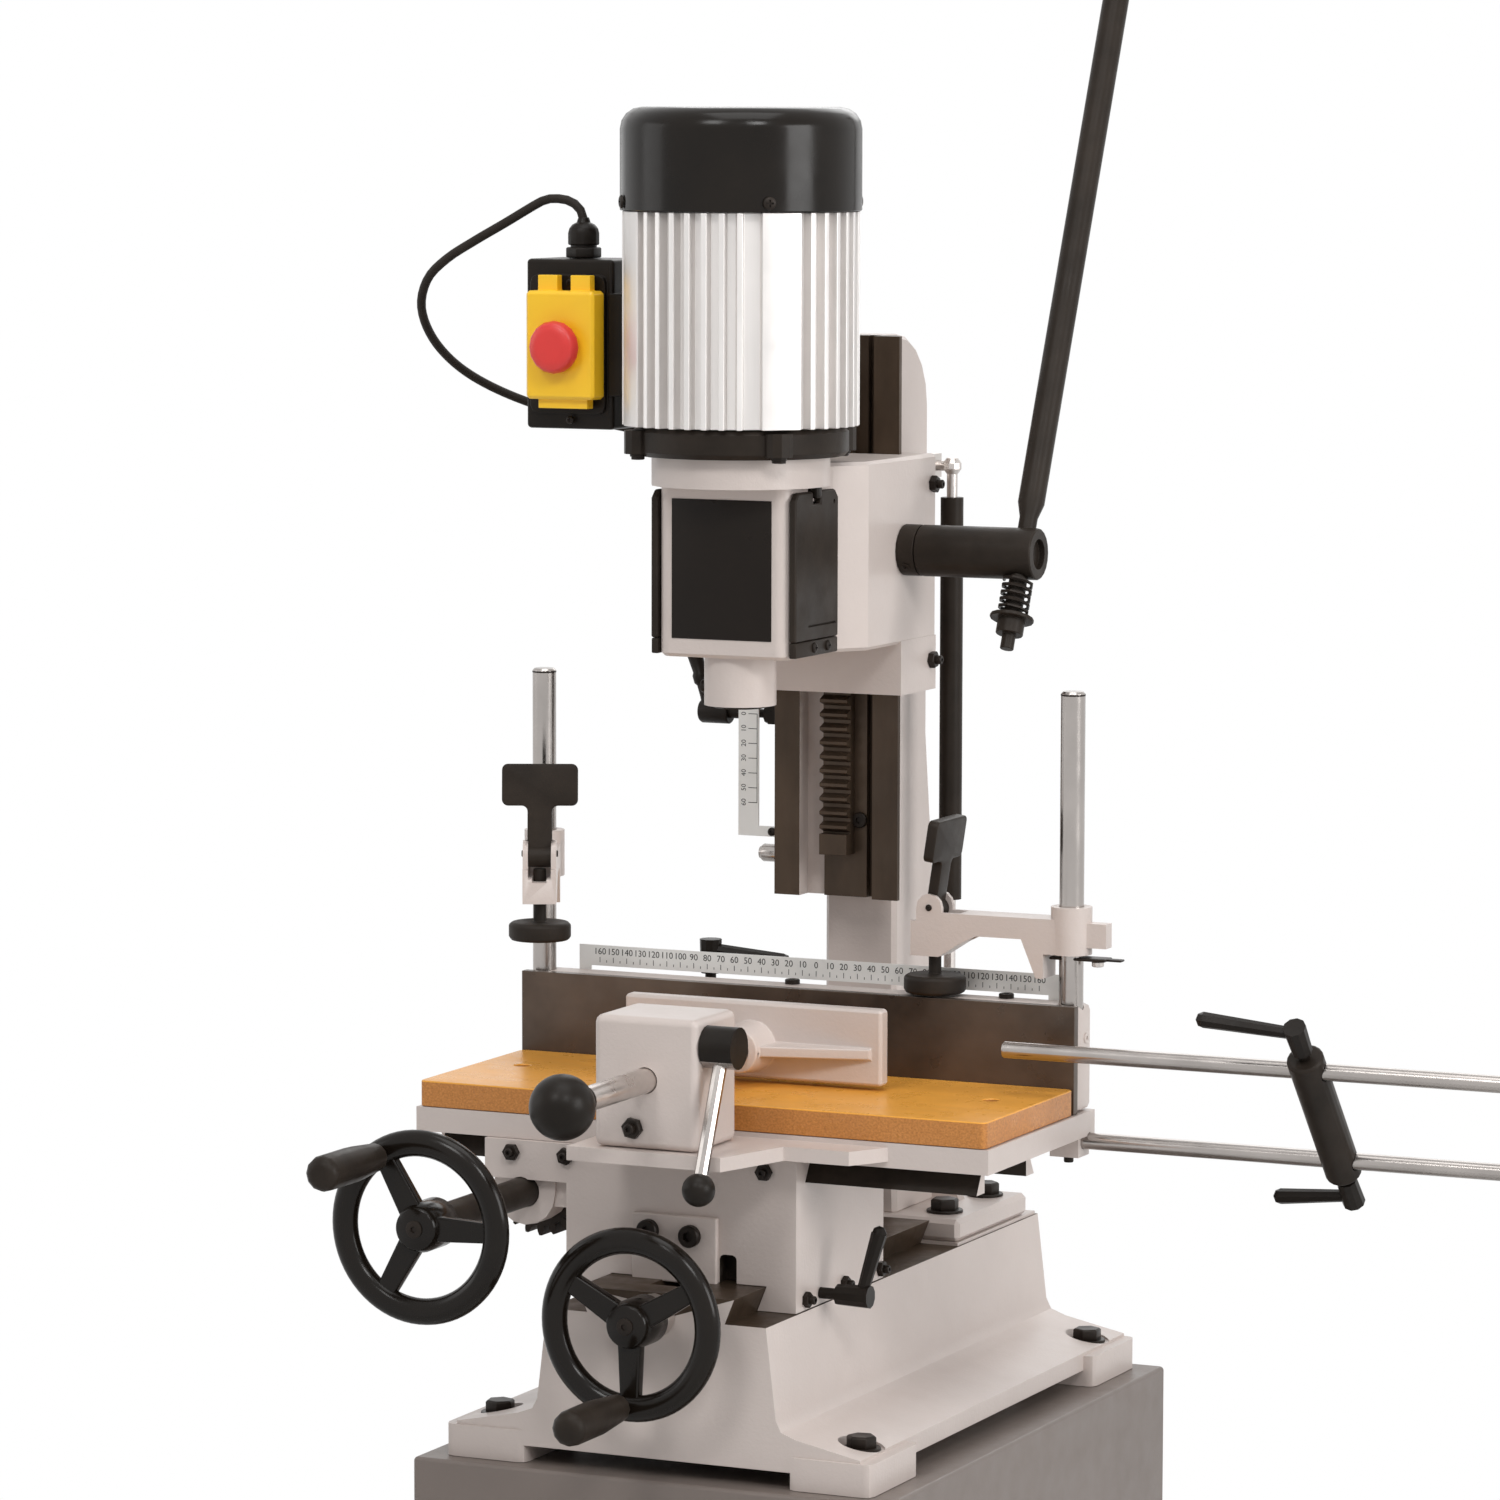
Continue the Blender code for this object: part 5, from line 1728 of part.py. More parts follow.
stand_top = pivot("stand_top", (0.0, 0.0, 0.0))
stand_top.location.z = CABINET_HEIGHT
carry(stand_top, *(obj for obj in bpy.data.objects
                   if obj.parent is None and obj not in on_the_floor and obj != stand_top))
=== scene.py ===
"""Looks of the floor-standing mortiser: finishes, small parts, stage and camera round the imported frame."""

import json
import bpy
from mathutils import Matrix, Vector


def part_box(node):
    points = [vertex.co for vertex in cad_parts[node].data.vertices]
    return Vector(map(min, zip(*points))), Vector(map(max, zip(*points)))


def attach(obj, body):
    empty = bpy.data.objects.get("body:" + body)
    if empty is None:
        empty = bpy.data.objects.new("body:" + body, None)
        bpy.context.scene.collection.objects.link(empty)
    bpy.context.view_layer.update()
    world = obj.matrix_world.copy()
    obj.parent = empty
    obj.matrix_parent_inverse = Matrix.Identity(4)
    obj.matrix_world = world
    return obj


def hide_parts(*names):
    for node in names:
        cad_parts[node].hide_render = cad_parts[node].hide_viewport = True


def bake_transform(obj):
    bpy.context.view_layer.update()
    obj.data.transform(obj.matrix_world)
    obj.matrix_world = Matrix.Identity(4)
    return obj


bl_info = {
    "name": "Floor-standing mortiser",
    "version": (1, 0, 0),
    "blender": (4, 5, 0),
    "location": "View3D > Sidebar > Mortiser",
    "description": "Dresses the mortiser's solids with finishes and small parts and sets the stage",
    "category": "Add Mesh",
}

from math import cos, pi, radians, sin, sqrt

import bpy
from bpy.props import FloatProperty, FloatVectorProperty, IntProperty, PointerProperty
from mathutils import Matrix, Vector

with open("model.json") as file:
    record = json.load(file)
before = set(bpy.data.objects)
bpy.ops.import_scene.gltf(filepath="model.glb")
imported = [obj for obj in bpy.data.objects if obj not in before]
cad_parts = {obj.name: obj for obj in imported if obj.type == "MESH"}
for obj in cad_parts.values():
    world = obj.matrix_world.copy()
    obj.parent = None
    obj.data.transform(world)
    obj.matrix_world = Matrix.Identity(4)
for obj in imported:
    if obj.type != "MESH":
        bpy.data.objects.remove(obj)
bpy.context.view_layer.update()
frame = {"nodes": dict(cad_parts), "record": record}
NODES = frame["nodes"]
BODY_OF = {node: body for body, nodes in frame["record"]["behaviour"]["bodies"].items() for node in nodes}
SLOT_OF = {row["node"]: row["material_slot"] for row in frame["record"]["subparts"]}

MM = 0.001
AXES = {"X": Vector((1, 0, 0)), "Y": Vector((0, 1, 0))}

# The cord's route, as in the part's source
CORD_RADIUS = 0.003
CORD_FREE_ROUTE = [
    (-0.1187, -0.0880, 1.4331), (-0.1196, -0.0880, 1.4362), (-0.1220, -0.0880, 1.4404),
    (-0.1278, -0.0880, 1.4444), (-0.1354, -0.0885, 1.4460), (-0.1425, -0.0890, 1.4460),
    (-0.1502, -0.0895, 1.4434),
    (-0.1740, -0.0915, 1.4300), (-0.1960, -0.0930, 1.4180), (-0.2170, -0.0920, 1.4060),
    (-0.2340, -0.0870, 1.3920), (-0.2450, -0.0740, 1.3720), (-0.2470, -0.0500, 1.3490),
    (-0.2400, -0.0180, 1.3280), (-0.2220, 0.0200, 1.3100), (-0.1950, 0.0600, 1.2960),
    (-0.1600, 0.1000, 1.2850), (-0.1260, 0.1320, 1.2830), (-0.0930, 0.1530, 1.2880),
    (-0.0640, 0.1640, 1.2900), (-0.0500, 0.1652, 1.2790), (-0.0500, 0.1652, 1.2550),
]
CORD_TAIL_ROUTE = [
    (-0.0500, 0.1652, 1.2547), (-0.0500, 0.1652, 1.2240), (-0.0440, 0.1700, 1.1900),
    (-0.0400, 0.1800, 1.1200), (-0.0400, 0.1930, 1.0200), (-0.0400, 0.2130, 0.9000),
    (-0.0400, 0.2320, 0.7900), (-0.0400, 0.2430, 0.7100), (-0.0400, 0.2464, 0.6500),
    (-0.0400, 0.2466, 0.5600), (-0.0400, 0.2465, 0.4000), (-0.0400, 0.2468, 0.2600),
    (-0.0405, 0.2480, 0.1300), (-0.0420, 0.2540, 0.0620), (-0.0460, 0.2680, 0.0200),
    (-0.0500, 0.2900, 0.0060), (-0.0440, 0.3200, 0.0036), (-0.0180, 0.3440, 0.0036),
    (0.0120, 0.3490, 0.0060), (0.0380, 0.3440, 0.0100), (0.0540, 0.3350, 0.0130),
    (0.0840, 0.3130, 0.0130),
]


# Settings

def paint(name, description, default):
    """A colour among the settings."""
    return FloatVectorProperty(name=name, description=description, subtype="COLOR", default=default,
                               min=0, max=1)


class MortiserFinishes(bpy.types.PropertyGroup):
    """Colours and surface of the painted, moulded and bare parts."""
    casting: paint("Casting paint", "Light grey paint on the iron castings", (0.605, 0.527, 0.489))
    cabinet: paint("Cabinet paint", "Dark grey paint on the steel cabinet", (0.180, 0.148, 0.131))
    iron: paint("Machined iron", "Oiled, machined faces of the ways and the rack", (0.066, 0.044, 0.029))
    laminate: paint("Table laminate", "Orange face of the table board", (0.84, 0.385, 0.060))
    cover: paint("Switch cover", "Yellow plastic of the switch cover", (1.0, 0.585, 0.018))
    stop: paint("Stop button", "Red plastic of the stop button", (0.72, 0.035, 0.03))
    wear: FloatProperty(
        name="Variation", description="How far the finishes vary from place to place",
        default=1.0, min=0, max=2)


class MortiserStage(bpy.types.PropertyGroup):
    """Camera and light of the photograph's view."""
    camera_place: FloatVectorProperty(
        name="Camera", description="Where the camera stands", subtype="TRANSLATION",
        unit="LENGTH", default=(1.6920, -3.7476, 1.5101))
    camera_turn: FloatProperty(
        name="Turn", description="Camera's turn about the upright", subtype="ANGLE", default=radians(24.795))
    camera_tilt: FloatProperty(
        name="Tilt", description="How far the camera looks down", subtype="ANGLE", default=radians(5.93))
    camera_roll: FloatProperty(
        name="Roll", description="Camera's roll", subtype="ANGLE", default=radians(0.12))
    lens: FloatProperty(
        name="Lens", description="Focal length on a 36 mm sensor", default=150.14, min=10, max=400)
    key_power: FloatProperty(
        name="Lamps", description="Power that each lamp takes a share of, in watts", default=36.0, min=0)
    fill: FloatProperty(
        name="Sky", description="Strength of the even light from all round", default=0.30, min=0)


class MortiserSizes(bpy.types.PropertyGroup):
    """Rounding of the edges."""
    casting_edge: FloatProperty(
        name="Casting edge", description="Rounding of the castings' edges", unit="LENGTH",
        default=0.0016, min=0.0001)
    machined_edge: FloatProperty(
        name="Machined edge", description="Rounding of machined and folded edges", unit="LENGTH",
        default=0.0005, min=0.0001)
    rounding_steps: IntProperty(
        name="Rounding steps", description="Faces across a rounded edge", default=3, min=1, max=6)


def settings():
    scene = bpy.context.scene
    return scene.mortiser_finishes, scene.mortiser_sizes, scene.mortiser_stage


# Finishes

def added(tree, kind, **values):
    """A new node with its inputs set; the input From Min is given as From_Min."""
    made = tree.nodes.new("ShaderNode" + kind)
    for key, value in values.items():
        made.inputs[key.replace("_", " ")].default_value = value
    return made


def noise(tree, coords, scale, detail=4.0, roughness=0.55):
    """Cloudy pattern in metres; scale is one number, or three for a pattern drawn out along an axis."""
    stretch = added(tree, "Mapping", Scale=scale if hasattr(scale, "__len__") else (scale,) * 3)
    made = added(tree, "TexNoise", Scale=1.0, Detail=detail, Roughness=roughness)
    tree.links.new(coords, stretch.inputs["Vector"])
    tree.links.new(stretch.outputs["Vector"], made.inputs["Vector"])
    return made.outputs["Fac"]


def ramp(tree, value, stops):
    """Colours picked along a pattern's value."""
    made = tree.nodes.new("ShaderNodeValToRGB")
    line = made.color_ramp
    while len(line.elements) < len(stops):
        line.elements.new(0.5)
    for element, (position, color) in zip(line.elements, stops):
        element.position = position
        element.color = (*color, 1.0)
    tree.links.new(value, made.inputs["Fac"])
    return made.outputs["Color"]


def spread(tree, value, low, high):
    """A pattern's middle range stretched from low to high."""
    made = added(tree, "MapRange", From_Min=0.3, From_Max=0.7, To_Min=low, To_Max=high)
    tree.links.new(value, made.inputs["Value"])
    return made.outputs["Result"]


def relief(tree, value, distance):
    """Fine unevenness of a surface, as deep as distance in metres."""
    made = added(tree, "Bump", Strength=1.0, Distance=distance)
    tree.links.new(value, made.inputs["Height"])
    return made.outputs["Normal"]


def reckoned(tree, operation, first, second):
    """Result of a sum; first is an output of a node, and second an output or a number."""
    made = tree.nodes.new("ShaderNodeMath")
    made.operation = operation
    tree.links.new(first, made.inputs[0])
    if isinstance(second, float):
        made.inputs[1].default_value = second
    else:
        tree.links.new(second, made.inputs[1])
    return made.outputs["Value"]


def mixed(tree, share, first, second, surface):
    """Two shaders on one surface, the second with its share."""
    made = tree.nodes.new("ShaderNodeMixShader")
    for source, socket in zip((share, first, second), made.inputs):
        tree.links.new(source, socket)
    tree.links.new(made.outputs["Shader"], surface)


def seen_rays(tree):
    """1 for rays that show the surroundings: from the camera, in gloss and through glass."""
    paths = tree.nodes.new("ShaderNodeLightPath")
    value = paths.outputs["Is Camera Ray"]
    for name in ("Is Glossy Ray", "Is Transmission Ray"):
        value = reckoned(tree, "MAXIMUM", value, paths.outputs[name])
    return value


def shade(color, factor):
    return tuple(min(1.0, c * factor) for c in color)


# vary: how far the colour goes up and down; clouds and fine: scale of the colour's pattern and of the
# relief's; rough: lowest and highest roughness; relief: its depth in metres; shine: specular level.
# A finish without a color has its own in the settings.
FINISHES = {
    "casting_paint": dict(vary=0.035, clouds=14, rough=(0.32, 0.44), fine=420, relief=0.00018, coat=0.12,
                          shine=0.4),
    "cabinet_paint": dict(vary=0.05, clouds=9, rough=(0.34, 0.46), fine=900, relief=0.00010, shine=0.4),
    "gloss_black": dict(color=(0.0085, 0.0060, 0.0042), vary=0.25, clouds=20, rough=(0.16, 0.24), fine=300,
                        relief=0.00001, shine=0.2),
    "satin_black": dict(color=(0.024, 0.018, 0.0138), vary=0.3, clouds=30, rough=(0.34, 0.48), fine=900,
                        relief=0.00008, shine=0.12),
    "black_plastic": dict(color=(0.013, 0.0098, 0.0075), vary=0.25, clouds=40, rough=(0.30, 0.44),
                          fine=1600, relief=0.00004, shine=0.14),
    "aluminium": dict(color=(0.76, 0.73, 0.71), metallic=0.6, vary=0.08, clouds=(60, 60, 4),
                      rough=(0.30, 0.46), fine=(900, 900, 30), relief=0.00003),
    "chrome": dict(color=(0.40, 0.37, 0.35), metallic=1.0, vary=0.12, clouds=20, rough=(0.16, 0.28),
                   fine=500, relief=0.000004),
    "steel": dict(color=(0.62, 0.575, 0.545), metallic=1.0, vary=0.10, clouds=50, rough=(0.24, 0.40),
                  fine=900, relief=0.00002),
    "yellow_plastic": dict(vary=0.03, clouds=40, rough=(0.30, 0.40), fine=1400, relief=0.00002, coat=0.1),
    "red_plastic": dict(vary=0.04, clouds=40, rough=(0.34, 0.44), fine=1400, relief=0.00002, coat=0.1),
    "green_plastic": dict(color=(0.02, 0.32, 0.07), vary=0.04, clouds=40, rough=(0.34, 0.44), fine=1400,
                          relief=0.00002),
    "rubber": dict(color=(0.022, 0.017, 0.0135), vary=0.2, clouds=60, rough=(0.48, 0.62), fine=1500,
                   relief=0.00005, shine=0.15),
    "scale_plate": dict(color=(0.80, 0.79, 0.765), metallic=0.25, vary=0.03, clouds=30, rough=(0.32, 0.44),
                        fine=(1500, 60, 60), relief=0.00001),
    "ink": dict(color=(0.012, 0.012, 0.012), vary=0.1, clouds=90, rough=(0.45, 0.6), fine=2000,
                relief=0.00001),
    "label_black": dict(color=(0.011, 0.0075, 0.0055), vary=0.12, clouds=25, rough=(0.26, 0.36), fine=1200,
                        relief=0.00001, shine=0.15),
    "oxide": dict(color=(0.016, 0.011, 0.008), metallic=0.2, vary=0.3, clouds=120, rough=(0.34, 0.5),
                  fine=2500, relief=0.00004, shine=0.22),
    "machined_iron": dict(metallic=0.4, vary=0.35, clouds=(26, 26, 9), rough=(0.30, 0.5),
                          fine=(900, 900, 25), relief=0.00004, shine=0.3),
    "fence_iron": dict(color=(0.085, 0.061, 0.046), metallic=0.45, vary=0.45, clouds=(14, 14, 16),
                       rough=(0.24, 0.46), fine=(25, 900, 900), relief=0.00003, shine=0.35),
}
SETTINGS_COLOR = {"casting_paint": "casting", "cabinet_paint": "cabinet", "machined_iron": "iron",
                  "yellow_plastic": "cover", "red_plastic": "stop"}
FINISH_END = "_finish"
LAMINATE_THICKNESS = 0.0009


def blank_material(name):
    made = bpy.data.materials.new(name + FINISH_END)
    made.use_nodes = True
    tree = made.node_tree
    coords = tree.nodes.new("ShaderNodeTexCoord").outputs["Object"]
    return made, tree, coords, tree.nodes["Principled BSDF"]


def board_material():
    """Orange laminate face over brown particle board, which shows on the edges."""
    colors, _, _ = settings()
    made, tree, coords, shader = blank_material("laminate")
    face = ramp(tree, noise(tree, coords, (9, 45, 45), 3.0), [
        (0.3, shade(colors.laminate, 0.93)), (0.7, shade(colors.laminate, 1.05))])
    chips = ramp(tree, noise(tree, coords, (620, 620, 760), 3.0, 0.6), [
        (0.3, (0.40, 0.155, 0.040)), (0.5, (0.53, 0.215, 0.056)), (0.7, (0.64, 0.285, 0.080))])
    apart = tree.nodes.new("ShaderNodeSeparateXYZ")
    tree.links.new(coords, apart.inputs["Vector"])
    above = reckoned(tree, "GREATER_THAN", apart.outputs["Z"],
                     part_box("table_board")[1].z - LAMINATE_THICKNESS)
    mix = tree.nodes.new("ShaderNodeMix")
    mix.data_type = "RGBA"
    for source, socket in ((above, "Factor"), (chips, "A"), (face, "B")):
        tree.links.new(source, mix.inputs[socket])
    tree.links.new(mix.outputs["Result"], shader.inputs["Base Color"])
    tree.links.new(spread(tree, noise(tree, coords, 60), 0.24, 0.36), shader.inputs["Roughness"])
    tree.links.new(relief(tree, noise(tree, coords, 70), 0.00001), shader.inputs["Normal"])
    shader.inputs["Specular IOR Level"].default_value = 0.3
    return made


def finish(name):
    """The material of a finish, made when it is first asked for."""
    if name + FINISH_END in bpy.data.materials:
        return bpy.data.materials[name + FINISH_END]
    if name == "laminate":
        return board_material()
    colors, _, _ = settings()
    spec = FINISHES[name]
    color = tuple(getattr(colors, SETTINGS_COLOR[name])) if name in SETTINGS_COLOR else spec["color"]
    vary = spec["vary"] * colors.wear
    made, tree, coords, shader = blank_material(name)
    clouds = noise(tree, coords, spec["clouds"])
    fine = noise(tree, coords, spec["fine"], 3.0)
    tree.links.new(ramp(tree, clouds, [(0.28, shade(color, 1 - vary)), (0.72, shade(color, 1 + vary))]),
                   shader.inputs["Base Color"])
    tree.links.new(spread(tree, noise(tree, coords, 55, 5.0), *spec["rough"]), shader.inputs["Roughness"])
    tree.links.new(relief(tree, fine, spec["relief"]), shader.inputs["Normal"])
    shader.inputs["Metallic"].default_value = spec.get("metallic", 0.0)
    shader.inputs["Coat Weight"].default_value = spec.get("coat", 0.0)
    shader.inputs["Coat Roughness"].default_value = 0.2
    shader.inputs["Specular IOR Level"].default_value = spec.get("shine", 0.5)
    made.diffuse_color = (*color, 1.0)
    return made


# Modelling helpers

EDGE_ANGLE = 32  # edges of a solid that are sharper than this are rounded
SMOOTH_ANGLE = 38  # and those that are still sharper than this stay hard in the shading
FLAT_ANGLE = 0.6  # triangles of a solid that meet at less than this become one face
MERGE = 0.00001
WASHER = 1.5  # thickness in millimetres


def select_only(obj):
    bpy.ops.object.select_all(action="DESELECT")
    obj.select_set(True)
    bpy.context.view_layer.objects.active = obj


def edit(obj, everything=True):
    select_only(obj)
    bpy.ops.object.mode_set(mode="EDIT")
    bpy.ops.mesh.select_all(action="SELECT" if everything else "DESELECT")


def leave():
    bpy.ops.object.mode_set(mode="OBJECT")


def modified(obj, kind, **values):
    """A modifier put on and applied at once."""
    select_only(obj)
    made = obj.modifiers.new(kind.title(), kind)
    for key, value in values.items():
        setattr(made, key, value)
    bpy.ops.object.modifier_apply(modifier=made.name)
    return obj


def rounded(obj, width, steps=2, angle=30):
    """Rounds every edge that is sharper than an angle; the width is in millimetres."""
    return modified(obj, "BEVEL", width=width * MM, segments=steps, limit_method="ANGLE",
                    angle_limit=radians(angle))


def carved(obj, cutter):
    """The piece with a cutter taken away."""
    modified(obj, "BOOLEAN", operation="DIFFERENCE", object=cutter, solver="EXACT")
    bpy.data.objects.remove(cutter)
    return obj


def united(parts):
    """One closed body of overlapping parts."""
    for part in parts[1:]:
        modified(parts[0], "BOOLEAN", operation="UNION", object=part, solver="EXACT")
        bpy.data.objects.remove(part)
    return parts[0]


def joined(parts):
    """One mesh of parts that stay apart."""
    bpy.ops.object.select_all(action="DESELECT")
    for part in parts:
        part.select_set(True)
    bpy.context.view_layer.objects.active = parts[0]
    bpy.ops.object.join()
    return parts[0]


def moved(x, y, z=0.0):
    """A move, in millimetres."""
    return Matrix.Translation((x * MM, y * MM, z * MM))


def spun(degrees, axis):
    """A turn about an axis through the origin."""
    return Matrix.Rotation(radians(degrees), 4, axis)


def place(obj, matrix=None):
    """The object's place goes into its mesh, so the object itself stands at the origin."""
    if matrix is not None:
        obj.matrix_world = matrix
    select_only(obj)
    bpy.ops.object.transform_apply(location=True, rotation=True, scale=True)
    return obj


def fit(obj, name, body, surface, smooth=35):
    """Name, finish, shading and body of a finished piece."""
    place(obj)
    bpy.ops.object.shade_smooth_by_angle(angle=radians(smooth))
    obj.name = name
    obj.data.materials.clear()
    obj.data.materials.append(finish(surface))
    if body:
        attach(obj, body)
    return obj


def zoned(obj, zones):
    """Faces whose middle lies in a box, in millimetres, take another finish."""
    for low, high, surface in zones:
        obj.data.materials.append(finish(surface))
        index = len(obj.data.materials) - 1
        for face in obj.data.polygons:
            if all(a * MM <= c <= b * MM for a, c, b in zip(low, face.center, high)):
                face.material_index = index


def flat_faces(obj):
    """Smooth shading over the rounded edges that leaves the broad faces flat."""
    select_only(obj)
    bpy.ops.object.shade_smooth_by_angle(angle=radians(SMOOTH_ANGLE))
    modified(obj, "WEIGHTED_NORMAL", weight=100, keep_sharp=True)


def notched(obj, cutter):
    """A dressed piece with one more cut, shaded again."""
    flat_faces(carved(obj, cutter))


def dressed(node, surface=None, edge=None, segments=2, zones=(), rides=True):
    """A copy of a solid with its edges rounded, which stands for the solid.

    It rides the solid's body, unless rides is false, when it is attached to no body."""
    source = NODES[node]
    obj = bpy.data.objects.new(node + "_dressed", source.data.copy())
    bpy.context.scene.collection.objects.link(obj)
    edit(obj)
    bpy.ops.mesh.remove_doubles(threshold=MERGE)
    bpy.ops.mesh.dissolve_limited(angle_limit=radians(FLAT_ANGLE))
    leave()
    if edge:
        rounded(obj, edge / MM, segments, EDGE_ANGLE)
    fit(obj, node + "_dressed", BODY_OF[node] if rides else None, surface or SLOT_OF[node],
        SMOOTH_ANGLE)
    flat_faces(obj)
    zoned(obj, zones)
    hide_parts(node)
    return obj


def cast(node, share=1.0, **how):
    """A dressed casting; share is a part of the settings' rounding."""
    _, sizes, _ = settings()
    return dressed(node, edge=sizes.casting_edge * share, segments=sizes.rounding_steps, **how)


def machined(node, surface=None, share=1.0, segments=2, **how):
    """A dressed piece that is machined, folded or moulded; share as for cast."""
    _, sizes, _ = settings()
    return dressed(node, surface, sizes.machined_edge * share, segments, **how)


def block(low, high, edge=0.0, steps=2):
    """A box between two corners with rounded edges, in millimetres."""
    low, high = Vector(low) * MM, Vector(high) * MM
    bpy.ops.mesh.primitive_cube_add(size=1, location=(low + high) / 2)
    obj = bpy.context.object
    obj.scale = high - low
    place(obj)
    if edge:
        rounded(obj, edge, steps)
    return obj


def flank(side, low, high, edge=0.0, steps=2):
    """A box on the right side, given as for block, or its mirror image on the left, where side is -1."""
    (x, *near), (far_x, *far) = low, high
    return block((min(side * x, side * far_x), *near), (max(side * x, side * far_x), *far), edge, steps)


def rounded_along(obj, axis, width, steps):
    """Rounds only the edges that run along one axis, in millimetres."""
    bpy.context.tool_settings.mesh_select_mode = (False, True, False)
    edit(obj, False)
    leave()
    points = obj.data.vertices
    for line in obj.data.edges:
        run = (points[line.vertices[0]].co - points[line.vertices[1]].co).normalized()
        line.select = abs(run.dot(AXES[axis])) > 0.99
    bpy.ops.object.mode_set(mode="EDIT")
    bpy.ops.mesh.bevel(offset=width * MM, segments=steps, affect="EDGES")
    leave()
    return obj


def turned(profile, sides=32):
    """A round piece along +Z, raised from a disc by extruding and scaling its top face, in millimetres."""
    (wide, high), steps = profile[0], profile[1:]
    bpy.ops.mesh.primitive_circle_add(vertices=sides, radius=wide * MM, fill_type="NGON",
                                      location=(0, 0, high * MM))
    obj = place(bpy.context.object)
    edit(obj)
    for next_wide, next_high in steps:
        bpy.ops.mesh.extrude_region_move(TRANSFORM_OT_translate={"value": (0, 0, (next_high - high) * MM)})
        share = next_wide / wide
        bpy.ops.transform.resize(value=(share, share, 1), center_override=(0, 0, next_high * MM))
        wide, high = next_wide, next_high
    bpy.ops.mesh.select_all(action="SELECT")
    bpy.ops.mesh.remove_doubles(threshold=MERGE / 10)
    bpy.ops.mesh.normals_make_consistent(inside=False)
    leave()
    return obj


def hex_bolt(across, height, washer):
    """Hexagon head with a chamfered top, on its washer."""
    radius = across / sqrt(3)
    disc = turned([(washer * 0.97, 0), (washer, 0.3), (washer, WASHER), (washer * 0.96, WASHER + 0.4)], 36)
    head = turned([(radius, WASHER), (radius, WASHER + height * 0.86), (radius * 0.86, WASHER + height),
                   (radius * 0.5, WASHER + height * 0.97)], 6)
    return joined([disc, rounded(head, 0.35)])


def socket_screw(radius, height, key):
    """Round head with a rim, a chamfer and a hexagon socket."""
    head = turned([(radius * 0.94, 0), (radius, height * 0.1), (radius, height * 0.84),
                   (radius * 0.9, height)])
    return carved(head, turned([(key, height * 0.4), (key, height * 1.3)], 6))


def gib_screw(across, height, stud, reach):
    """Set screw with a socket in its end, held by a lock nut."""
    radius = across / sqrt(3)
    nut = turned([(radius * 0.9, 0), (radius, height * 0.12), (radius, height * 0.88), (radius * 0.9, height)],
                 6)
    pin = turned([(stud, height * 0.5), (stud, reach - 0.6), (stud * 0.8, reach)], 20)
    return joined([nut, carved(pin, turned([(stud * 0.5, reach - 1.6), (stud * 0.5, reach + 1)], 6))])


def pan_screw(radius, height):
    """Low domed head with a cross recess."""
    head = turned([(radius, 0), (radius, height * 0.3), (radius * 0.93, height * 0.66),
                   (radius * 0.72, height * 0.9), (radius * 0.4, height)], 24)
    wide, arm, floor = radius * 0.55, radius * 0.13, height * 0.4
    carved(head, block((-wide, -arm, floor), (wide, arm, height * 1.4)))
    return carved(head, block((-arm, -wide, floor), (arm, wide, height * 1.4)))


def ball(radius):
    bpy.ops.mesh.primitive_uv_sphere_add(segments=48, ring_count=24, radius=radius * MM, location=(0, 0, 0))
    return bpy.context.object


RIM_RADIUS, RIM_THICKNESS, RIM_DEPTH = 53.5, 17, 14


def handwheel(first):
    """Round rim, hub and three flat spokes, the first at an angle; the axis is Z with the front at +Z."""
    bpy.ops.mesh.primitive_torus_add(major_segments=72, minor_segments=20, major_radius=RIM_RADIUS * MM,
                                     minor_radius=RIM_THICKNESS / 2 * MM)
    rim = bpy.context.object
    rim.scale = (1, 1, RIM_DEPTH / RIM_THICKNESS)
    parts = [place(rim), turned([(15.4, -22), (16, -21.2), (16, 0), (13.6, 7.2), (12.6, 8)], 40)]
    for turn in (first, first + 120, first + 240):
        bar = block((4, -8.5, -4.8), (RIM_RADIUS - 0.5, 8.5, 3.2))
        edit(bar, False)
        leave()
        for point in bar.data.vertices:
            point.select = point.co.x > 50 * MM
        bpy.ops.object.mode_set(mode="EDIT")
        bpy.ops.transform.resize(value=(1, 0.72, 1), center_override=(0, 0, 0))
        leave()
        parts.append(place(rounded(bar, 1.6, 3), spun(turn, "Z")))
    return united(parts)


STOCK = {}


def stock(maker, *sizes):
    """A mesh of one small part, modelled the first time and copied after that."""
    key = (maker.__name__, sizes)
    if key not in STOCK:
        made = maker(*sizes)
        STOCK[key] = made.data.copy()
        bpy.data.objects.remove(made)
    return STOCK[key].copy()


WAYS = {"+X": (1, 0, 0), "-X": (-1, 0, 0), "-Y": (0, -1, 0), "+Z": (0, 0, 1), "-Z": (0, 0, -1)}


def seat(point, way, spin=0.0):
    """Place of a part that stands on a point, in millimetres, and faces a direction."""
    turn = Vector(WAYS.get(way, way)).to_track_quat("Z", "Y").to_matrix().to_4x4()
    return moved(*point) @ turn @ spun(spin, "Z")


def fastened(name, body, surface, slot, spots, maker, *sizes):
    """Copies of one small part, each with its own mesh, seated at its spots."""
    for number, spot in enumerate(spots, 1):
        obj = bpy.data.objects.new(f"{name}_{number}", stock(maker, *sizes))
        bpy.context.scene.collection.objects.link(obj)
        obj.matrix_world = seat(*spot)
        fit(obj, obj.name, body, surface)


def screws(name, body, spots, maker, *sizes):
    """Small parts in black oxide."""
    fastened(name, body, "oxide", "satin_black", spots, maker, *sizes)


CAPITAL = 0.7  # height of a digit as a share of the font's size
INK_DEPTH = 0.03


